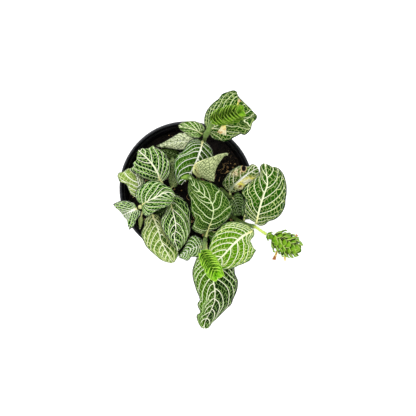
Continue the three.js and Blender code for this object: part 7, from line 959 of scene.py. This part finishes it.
# where the throats of the flowers that stand off their heads come out from between the scales
THROATS = {"withered_flower_right_long": (66.5, -42.7, 113.9), "withered_flower_right_short": (71.4, -46.4, 116.2),
           "withered_flower_top_small": (35.75, 52.85, 151.0)}
def withered(name, root, tip, a, b, age, seed):
    """a collapsed tube of petals: pinched at the root, torn into lobes at the tip, creased along its length"""
    r = np.random.default_rng(seed)
    root, tip = np.array(root, float), np.array(tip, float)
    D = tip - root; L = np.linalg.norm(D); D /= L
    X = np.array([-D[1], D[0], 0.0]); X /= np.linalg.norm(X); Z = np.cross(X, D)
    if Z[2] < 0: Z = -Z
    n, m = ((34, 40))
    th = np.arange(m) / m * 2 * math.pi
    V, A = [], []
    ph = r.uniform(0, 6.28, 4)
    for i in range(n):
        t = i / (n - 1)
        half = a + (b - a) * t
        lobes = 1 + 0.10 * np.sin(5 * th + ph[0]) * t
        flat = 0.34 + 0.16 * math.sin(3.1 * t + ph[1])
        crease = 0.16 * half * np.sin(9 * th + ph[2] + 2.0 * t) + 0.08 * half * np.sin(17 * th + ph[3])
        rx = half * lobes * np.cos(th); rz = (half * flat * np.sin(th) + crease * (0.3 + 0.7 * t))
        tear = (0.9 * np.sin(5 * th + ph[0]) + 0.4 * np.sin(8 * th + ph[3])) * half * 0.35 * max(t - 0.7, 0) / 0.3
        bend = 0.5 * math.sin(math.pi * t)
        c = root + D * (t * L * 0.94)
        P = c[None] + X[None] * rx[:, None] + Z[None] * (rz + bend)[:, None] + D[None] * np.minimum(tear, 0.05 * L)[:, None]
        V.append(P); A += [t] * m
    V = np.array(V).reshape(-1, 3)
    # inner skin closes the torn mouth
    inner = V.reshape(n, m, 3).copy(); cen = inner.mean(1, keepdims=True); inner = cen + (inner - cen) * 0.86
    V = np.vstack([V, inner.reshape(-1, 3)]); A = A + A
    F = []; off = n * m
    for i in range(n - 1):
        for j in range(m):
            k = (j + 1) % m; p, q = i * m, (i + 1) * m
            F.append((p + j, p + k, q + k, q + j)); F.append((off + p + j, off + q + j, off + q + k, off + p + k))
    for j in range(m):
        k = (j + 1) % m; q = (n - 1) * m
        F.append((q + j, q + k, off + q + k, off + q + j)); F.append((j, off + j, off + k, k))
    if name in THROATS:
        p = np.array(THROATS[name])
        TV, TF = tube_arrays(np.array([p, (p + root) / 2, root, root + D * 0.8]), [0.32, 0.38, 0.46, 0.34], 12, len(V))
        V = np.vstack([V, np.array(TV)]); F += TF; A = A + [0.0] * len(TV)
    ob = new_mesh(name + "_shown", V, F, [PETAL])
    attr(ob, "along", A); attr(ob, "age", [age] * len(A))
    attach(ob, "root"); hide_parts(name)
for i, (name, (root, tip, a, b, age)) in enumerate(WITHERED.items()):
    withered(name, root, tip, a, b, age, 80 + i)

# ------------------------------------------------------------------ pot
POT_TOP, SOIL_Z = 88.0, 74.0
def outside(z): return 35 + 12.4 * z / 79.5
def inside(z): return outside(z) - 1.0
PROFILE = [(0, 0), (34, 0), (35, 1), (47.4, 79.5), (48.7, 80.4), (48.9, 85.6), (50, 86.3), (50, 87.4), (49.4, 88), (48.4, 88), (47.9, 87.3),
           (47.7, 80.9), (46.5, 79.9), (inside(2.6), 2.6), (inside(1.6) - 1, 1.6), (0, 1.6)]
def rounded(pr, radius=0.45, k=4):
    """the profile with each corner eased by a small curve"""
    P = [np.array(p, float) for p in pr]; out = [P[0]]
    for i in range(1, len(P) - 1):
        a, b, c = P[i - 1], P[i], P[i + 1]
        la, lc = np.linalg.norm(a - b), np.linalg.norm(c - b)
        d = min(radius, la * 0.45, lc * 0.45)
        p0, p2 = b + (a - b) / la * d, b + (c - b) / lc * d
        for s in np.linspace(0, 1, k + 1):
            out.append((1 - s) ** 2 * p0 + 2 * s * (1 - s) * b + s * s * p2)
    out.append(P[-1]); return out
def plastic():
    g = G("pot_plastic"); pos = g.obj(); x = g.xyz(pos)
    rr = g.math("SQRT", g.math("ADD", g.math("MULTIPLY", x[0], x[0]), g.math("MULTIPLY", x[1], x[1])))
    n1 = g.noise(pos, 90.0, 4.0, 0.6); n2 = g.noise(pos, 900.0, 3.0)
    st = g.n("ShaderNodeMapping"); st.inputs["Scale"].default_value = (1.0, 1.0, 0.12); g.put(st.inputs["Vector"], pos)
    streak = g.noise(st.outputs[0], 260.0, 4.0, 0.65)
    col = g.mix(g.ramp(n1, 0.3, 0.7), lin((4, 5, 8)), lin((15, 16, 22)))
    # dust and dried splashes inside the wall, and a painted highlight in patches on the lip
    low = g.ramp(x[2], 0.070, 0.084, 1.0, 0.12)
    dust = g.math("MULTIPLY", g.ramp(g.math("ADD", g.math("MULTIPLY", n2, 0.5), g.math("MULTIPLY", streak, 0.5)), 0.5, 0.68), low)
    col = g.mix(g.math("MULTIPLY", dust, 0.35), col, lin((82, 70, 56)))
    # painted highlight: a bluish grey band along the top of the lip
    lip = g.ramp(x[2], 0.0866, 0.0878)
    lip_painted_highlight = g.ramp(g.noise(pos, 520.0, 4.0, 0.7), 0.52, 0.72)
    col = g.mix(g.math("MULTIPLY", lip, g.math("MULTIPLY_ADD", lip_painted_highlight, 0.22, 0.05)), col, lin((104, 110, 124)))
    g.set(Base_Color=col)
    g.set(Roughness=g.math("ADD", g.math("MULTIPLY", n2, 0.12), g.math("MULTIPLY_ADD", dust, 0.25, 0.30), clamp=True))
    g.b.inputs["Specular IOR Level"].default_value = 0.32
    g.bump(g.math("ADD", g.math("MULTIPLY", n2, 0.3), g.math("MULTIPLY", streak, 0.5)), 0.0001, 0.6)
    return g.m
def make_pot():
    seg = 192
    pr = rounded(PROFILE)
    # rings on the long walls so that ribs can be raised
    full = [pr[0]]
    for a, b in zip(pr[:-1], pr[1:]):
        n = max(1, int(np.linalg.norm(b - a) / (4)))
        for s in range(1, n + 1):
            full.append(a + (b - a) * s / n)
    full = np.array(full)
    th = np.arange(seg) / seg * 2 * math.pi
    V = []; n = len(full)
    for i, (rr, z) in enumerate(full[1:-1]):
        on_wall = 3 < z < 78 and rr > outside(z) - 0.3
        rib = 0.16 * np.maximum(np.cos(24 * th), 0) ** 6 if on_wall else 0 * th
        ring = 0.0
        R = rr - (0.16 if on_wall else 0) + rib + ring
        V.append(np.stack([R * np.cos(th), R * np.sin(th), np.full(seg, z)], 1))
    V = np.vstack(V + [np.array([[0, 0, 0.0], [0, 0, 1.6]])])
    F = []; m = n - 2
    for i in range(m - 1):
        for j in range(seg):
            k = (j + 1) % seg
            F.append((i * seg + j, i * seg + k, (i + 1) * seg + k, (i + 1) * seg + j))
    c0, c1 = m * seg, m * seg + 1
    for j in range(seg):
        k = (j + 1) % seg
        F.append((c0, k, j)); F.append((c1, (m - 1) * seg + j, (m - 1) * seg + k))
    ob = new_mesh("pot_shown", V, F, [plastic()])
    # drainage holes
    HV, HF = [], []
    for i in range(8):
        a = (i + 0.5) / 8 * 2 * math.pi; cx, cy = 24 * math.cos(a), 24 * math.sin(a)
        P = np.array([[cx, cy, z] for z in (-3.0, 0.8, 4.6)]); k = len(HV)
        tv, tf = tube_arrays(P, [3.6] * 3, 32, k); HV += tv.tolist(); HF += tf
    cut = new_mesh("drill", HV, HF, [])
    md = ob.modifiers.new("holes", "BOOLEAN"); md.operation = "DIFFERENCE"; md.object = cut; md.solver = "EXACT"
    dg = bpy.context.evaluated_depsgraph_get()
    me = bpy.data.meshes.new_from_object(ob.evaluated_get(dg)); ob.modifiers.clear(); ob.data = me
    bpy.data.objects.remove(cut)
    me.set_sharp_from_angle(angle=math.radians(40))
    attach(ob, "root"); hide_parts("pot")
    return ob
make_pot()

# ------------------------------------------------------------------ soil
def lump(x, y):
    return 0.5 * np.sin(0.31 * x + 1.3) * np.cos(0.27 * y - 0.4) + 0.3 * np.sin(0.53 * y + 0.22 * x) + 0.2 * np.cos(0.71 * x - 0.35 * y + 2)
def soil_height(x, y):
    p = np.stack([x, y, 0 * x], -1)
    big = fbm(p, 0.22, 3) - 0.5; mid = fbm(p + 31, 0.75, 3) - 0.5; fine = fbm(p + 77, 2.2, 2) - 0.5
    return SOIL_Z + 0.6 * lump(x, y) + 2.0 * big + 1.5 * mid + 0.7 * fine - 0.35
def earth():
    g = G("potting_soil"); pos = g.obj()
    kind = g.attr("kind").outputs["Fac"]       # 0 peat, 1 brown bark, 2 fibre
    n1 = g.noise(pos, 180.0, 5.0, 0.65); n2 = g.noise(pos, 1500.0, 4.0, 0.7)
    cell = g.voro(pos, 620.0, "F1", 1.0, "3D", 0)
    # peat from black to dark brown: dark peat, taken down to black as painted shade deep in the pot
    col = g.mix(g.ramp(n1, 0.32, 0.68), lin((0, 0, 0)), lin((26, 18, 14)))
    # painted light: a pool of light on the peat at the back right, where its light crumbs show
    xy = g.xyz(pos)
    far = g.math("SQRT", g.math("ADD", g.math("POWER", g.math("ABSOLUTE", g.math("SUBTRACT", xy[0], 0.0365)), 2.0), g.math("POWER", g.math("ABSOLUTE", g.math("SUBTRACT", xy[1], 0.0225)), 2.0)))
    lit_patch = g.ramp(g.math("ADD", far, g.math("MULTIPLY", n1, 0.006)), 0.008, 0.0145, 1.0, 0.08)
    col = g.mix(g.math("MULTIPLY", g.math("MULTIPLY", g.ramp(n2, 0.56, 0.68, 0.0, 0.95), g.ramp(n1, 0.38, 0.6, 0.25, 1.0)), lit_patch), col, lin((176, 146, 116)))
    bark = g.mix(g.ramp(n1, 0.3, 0.7), lin((128, 92, 56)), lin((240, 200, 142)))
    fib = g.mix(g.ramp(n2, 0.3, 0.7), lin((140, 106, 66)), lin((216, 182, 132)))
    col = g.mix(g.ramp(kind, 0.4, 0.6), col, bark)
    col = g.mix(g.ramp(kind, 1.4, 1.6), col, fib)
    g.set(Base_Color=col, Roughness=g.math("MULTIPLY_ADD", n2, 0.2, 0.78))
    g.b.inputs["Specular IOR Level"].default_value = 0.22
    g.bump(g.math("ADD", n2, g.math("MULTIPLY", cell, -0.8)), 0.0007, 0.9)
    return g.m
EARTH = earth()
def make_soil():
    nr, na = ((88, 220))
    rmax = inside(SOIL_Z) - 0.65
    rr = rmax * (np.arange(1, nr + 1) / nr) ** 0.85
    th = np.arange(na) / na * 2 * math.pi
    X, Y = rr[:, None] * np.cos(th)[None], rr[:, None] * np.sin(th)[None]
    Z = np.minimum(soil_height(X, Y), SOIL_Z + 2.4)
    V = [np.stack([X, Y, Z], -1).reshape(-1, 3)]
    foot_r = inside(1.9) - 1.6
    for z in (56.0, 30.0, 4.0, 1.9):
        r_ = min(inside(z) - 0.65, rmax) if z > 2 else foot_r
        V.append(np.stack([r_ * np.cos(th), r_ * np.sin(th), np.full(na, z)], 1))
    V = np.vstack(V + [np.array([[0, 0, float(soil_height(np.array([0.0]), np.array([0.0]))[0])], [0, 0, 1.9]])])
    F = []
    for i in range(nr + 3):
        a = np.arange(na); b = (a + 1) % na
        F += [(int(i * na + p), int((i + 1) * na + p), int((i + 1) * na + q), int(i * na + q)) for p, q in zip(a, b)]
    top, low = (nr + 4) * na, (nr + 4) * na + 1
    for j in range(na):
        k = (j + 1) % na
        F.append((top, j, k)); F.append((low, (nr + 3) * na + k, (nr + 3) * na + j))
    V = V.tolist(); kind = [0.0] * len(V)
    r = np.random.default_rng(3)
    ico_v, ico_f = icosphere()
    def chunk(c, size, squash, k, rough=0.25):
        M = np.linalg.qr(r.normal(size=(3, 3)))[0]
        W = ico_v * (1 + rough * (fbm(ico_v + r.uniform(0, 50, 3), 1.1, 2)[:, None] - 0.5) * 2)
        W = (W * np.array(squash) * size) @ M.T + c
        base = len(V); V.extend(W.tolist()); F.extend([tuple(int(x) + base for x in f) for f in ico_f]); kind.extend([k] * len(W))
    n = 1450
    for _ in range(n):
        a, R = r.uniform(0, 2 * math.pi), (rmax - 1.4) * math.sqrt(r.uniform(0, 1))
        x, y = R * math.cos(a), R * math.sin(a)
        z = float(soil_height(np.array([x]), np.array([y]))[0])
        size = r.choice((0.35, 0.55, 0.85, 1.25), p=(0.3, 0.33, 0.25, 0.12))
        # light bark crumbs go mostly into the painted pool of light at (34, 21); elsewhere nearly all stay dark peat
        chunk(np.array([x, y, z + size * 0.2]), size, (1, r.uniform(0.6, 1), r.uniform(0.5, 0.9)), 0.0 if r.random() > (0.34 if math.hypot(x - 34, y - 21) < 11 else 0.025) else 1.0)
    for _ in range(46):        # flat bits of bark
        a, R = r.uniform(0, 2 * math.pi), (rmax - 4) * math.sqrt(r.uniform(0, 1))
        x, y = R * math.cos(a), R * math.sin(a)
        z = float(soil_height(np.array([x]), np.array([y]))[0])
        # bark flakes are kept mostly in the painted pool of light at (34, 21)
        if math.hypot(x - 34, y - 21) > 12 and r.random() < 0.85: continue
        chunk(np.array([x, y, z + 0.4]), r.uniform(1.2, 2.2), (1, 0.5, 0.22), 1.0, 0.4)
    for _ in range(110):       # root fibres
        a, R = r.uniform(0, 2 * math.pi), (rmax - 6) * math.sqrt(r.uniform(0, 1))
        d = r.uniform(0, 2 * math.pi); ln = r.uniform(3, 9); bend = r.normal(0, 0.5)
        pts = []
        x, y = R * math.cos(a), R * math.sin(a)
        for q in range(7):
            z = float(soil_height(np.array([x]), np.array([y]))[0])
            pts.append((x, y, min(z + r.uniform(0.15, 0.6), SOIL_Z + 2.6)))
            x += math.cos(d) * ln / 6; y += math.sin(d) * ln / 6; d += bend / 2 + r.normal(0, 0.25)
            if math.hypot(x, y) > rmax - 1.2: break
        if len(pts) < 3: continue
        P = spline(pts, 14)
        TV, TF = tube_arrays(P, np.linspace(0.16, 0.07, 14) * r.uniform(0.8, 1.6), 5, len(V))
        V.extend(TV.tolist()); F.extend(TF); kind.extend([2.0] * len(TV))
    ob = new_mesh("soil_shown", V, F, [EARTH])
    attr(ob, "kind", kind)
    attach(ob, "root"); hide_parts("soil")
def icosphere():
    import bmesh
    bm = bmesh.new(); bmesh.ops.create_icosphere(bm, subdivisions=2, radius=1.0)
    v = np.array([x.co[:] for x in bm.verts]); f = [[x.index for x in p.verts] for p in bm.faces]; bm.free()
    return v, f
make_soil()

# ------------------------------------------------------------------ floor, light, camera
def floor():
    g = G("pale_floor")
    n = g.noise(g.obj(), 30.0, 3.0)
    col = g.mix(n, lin((250, 250, 250)), lin((254, 254, 254)))
    g.set(Base_Color=col); g.b.inputs["Roughness"].default_value = 0.9
    g.b.inputs["Specular IOR Level"].default_value = 0.1
    g.b.inputs["Emission Color"].default_value = (1.0, 1.0, 1.0, 1.0); g.b.inputs["Emission Strength"].default_value = 0.35
    s = 3000.0
    ob = new_mesh("floor", [(-s, -s, -0.1), (s, -s, -0.1), (s, s, -0.1), (-s, s, -0.1)], [(0, 1, 2, 3)], [g.m])
floor()

world = bpy.data.worlds.new("studio"); bpy.context.scene.world = world; world.use_nodes = True
world.node_tree.nodes["Background"].inputs["Color"].default_value = (1.0, 1.0, 1.0, 1.0)
world.node_tree.nodes["Background"].inputs["Strength"].default_value = 0.80
def area(name, loc, target, size, power, colour=(1, 1, 1)):
    d = bpy.data.lights.new(name, "AREA"); d.shape = "SQUARE"; d.size = size; d.energy = power; d.color = colour
    o = bpy.data.objects.new(name, d); bpy.context.scene.collection.objects.link(o)
    o.location = loc; o.rotation_mode = "QUATERNION"
    o.rotation_quaternion = (Vector(target) - Vector(loc)).to_track_quat("-Z", "Y")
    return o
area("key", (-0.40, 0.45, 0.95), (0.01, -0.01, 0.1), 0.7, 6.0)
area("fill", (0.6, -0.5, 0.9), (0.01, -0.01, 0.1), 0.9, 4.0)

cam = bpy.data.cameras.new("camera"); cam.sensor_width = 36.0; cam.lens = 65.3535
co = bpy.data.objects.new("camera", cam); bpy.context.scene.collection.objects.link(co)
co.location = (0.01606, -0.01464, 0.650); co.rotation_euler = (0, 0, 0)
cam.clip_start, cam.clip_end = 0.01, 20.0
bpy.context.scene.camera = co
bpy.context.scene.view_settings.view_transform = "Standard"
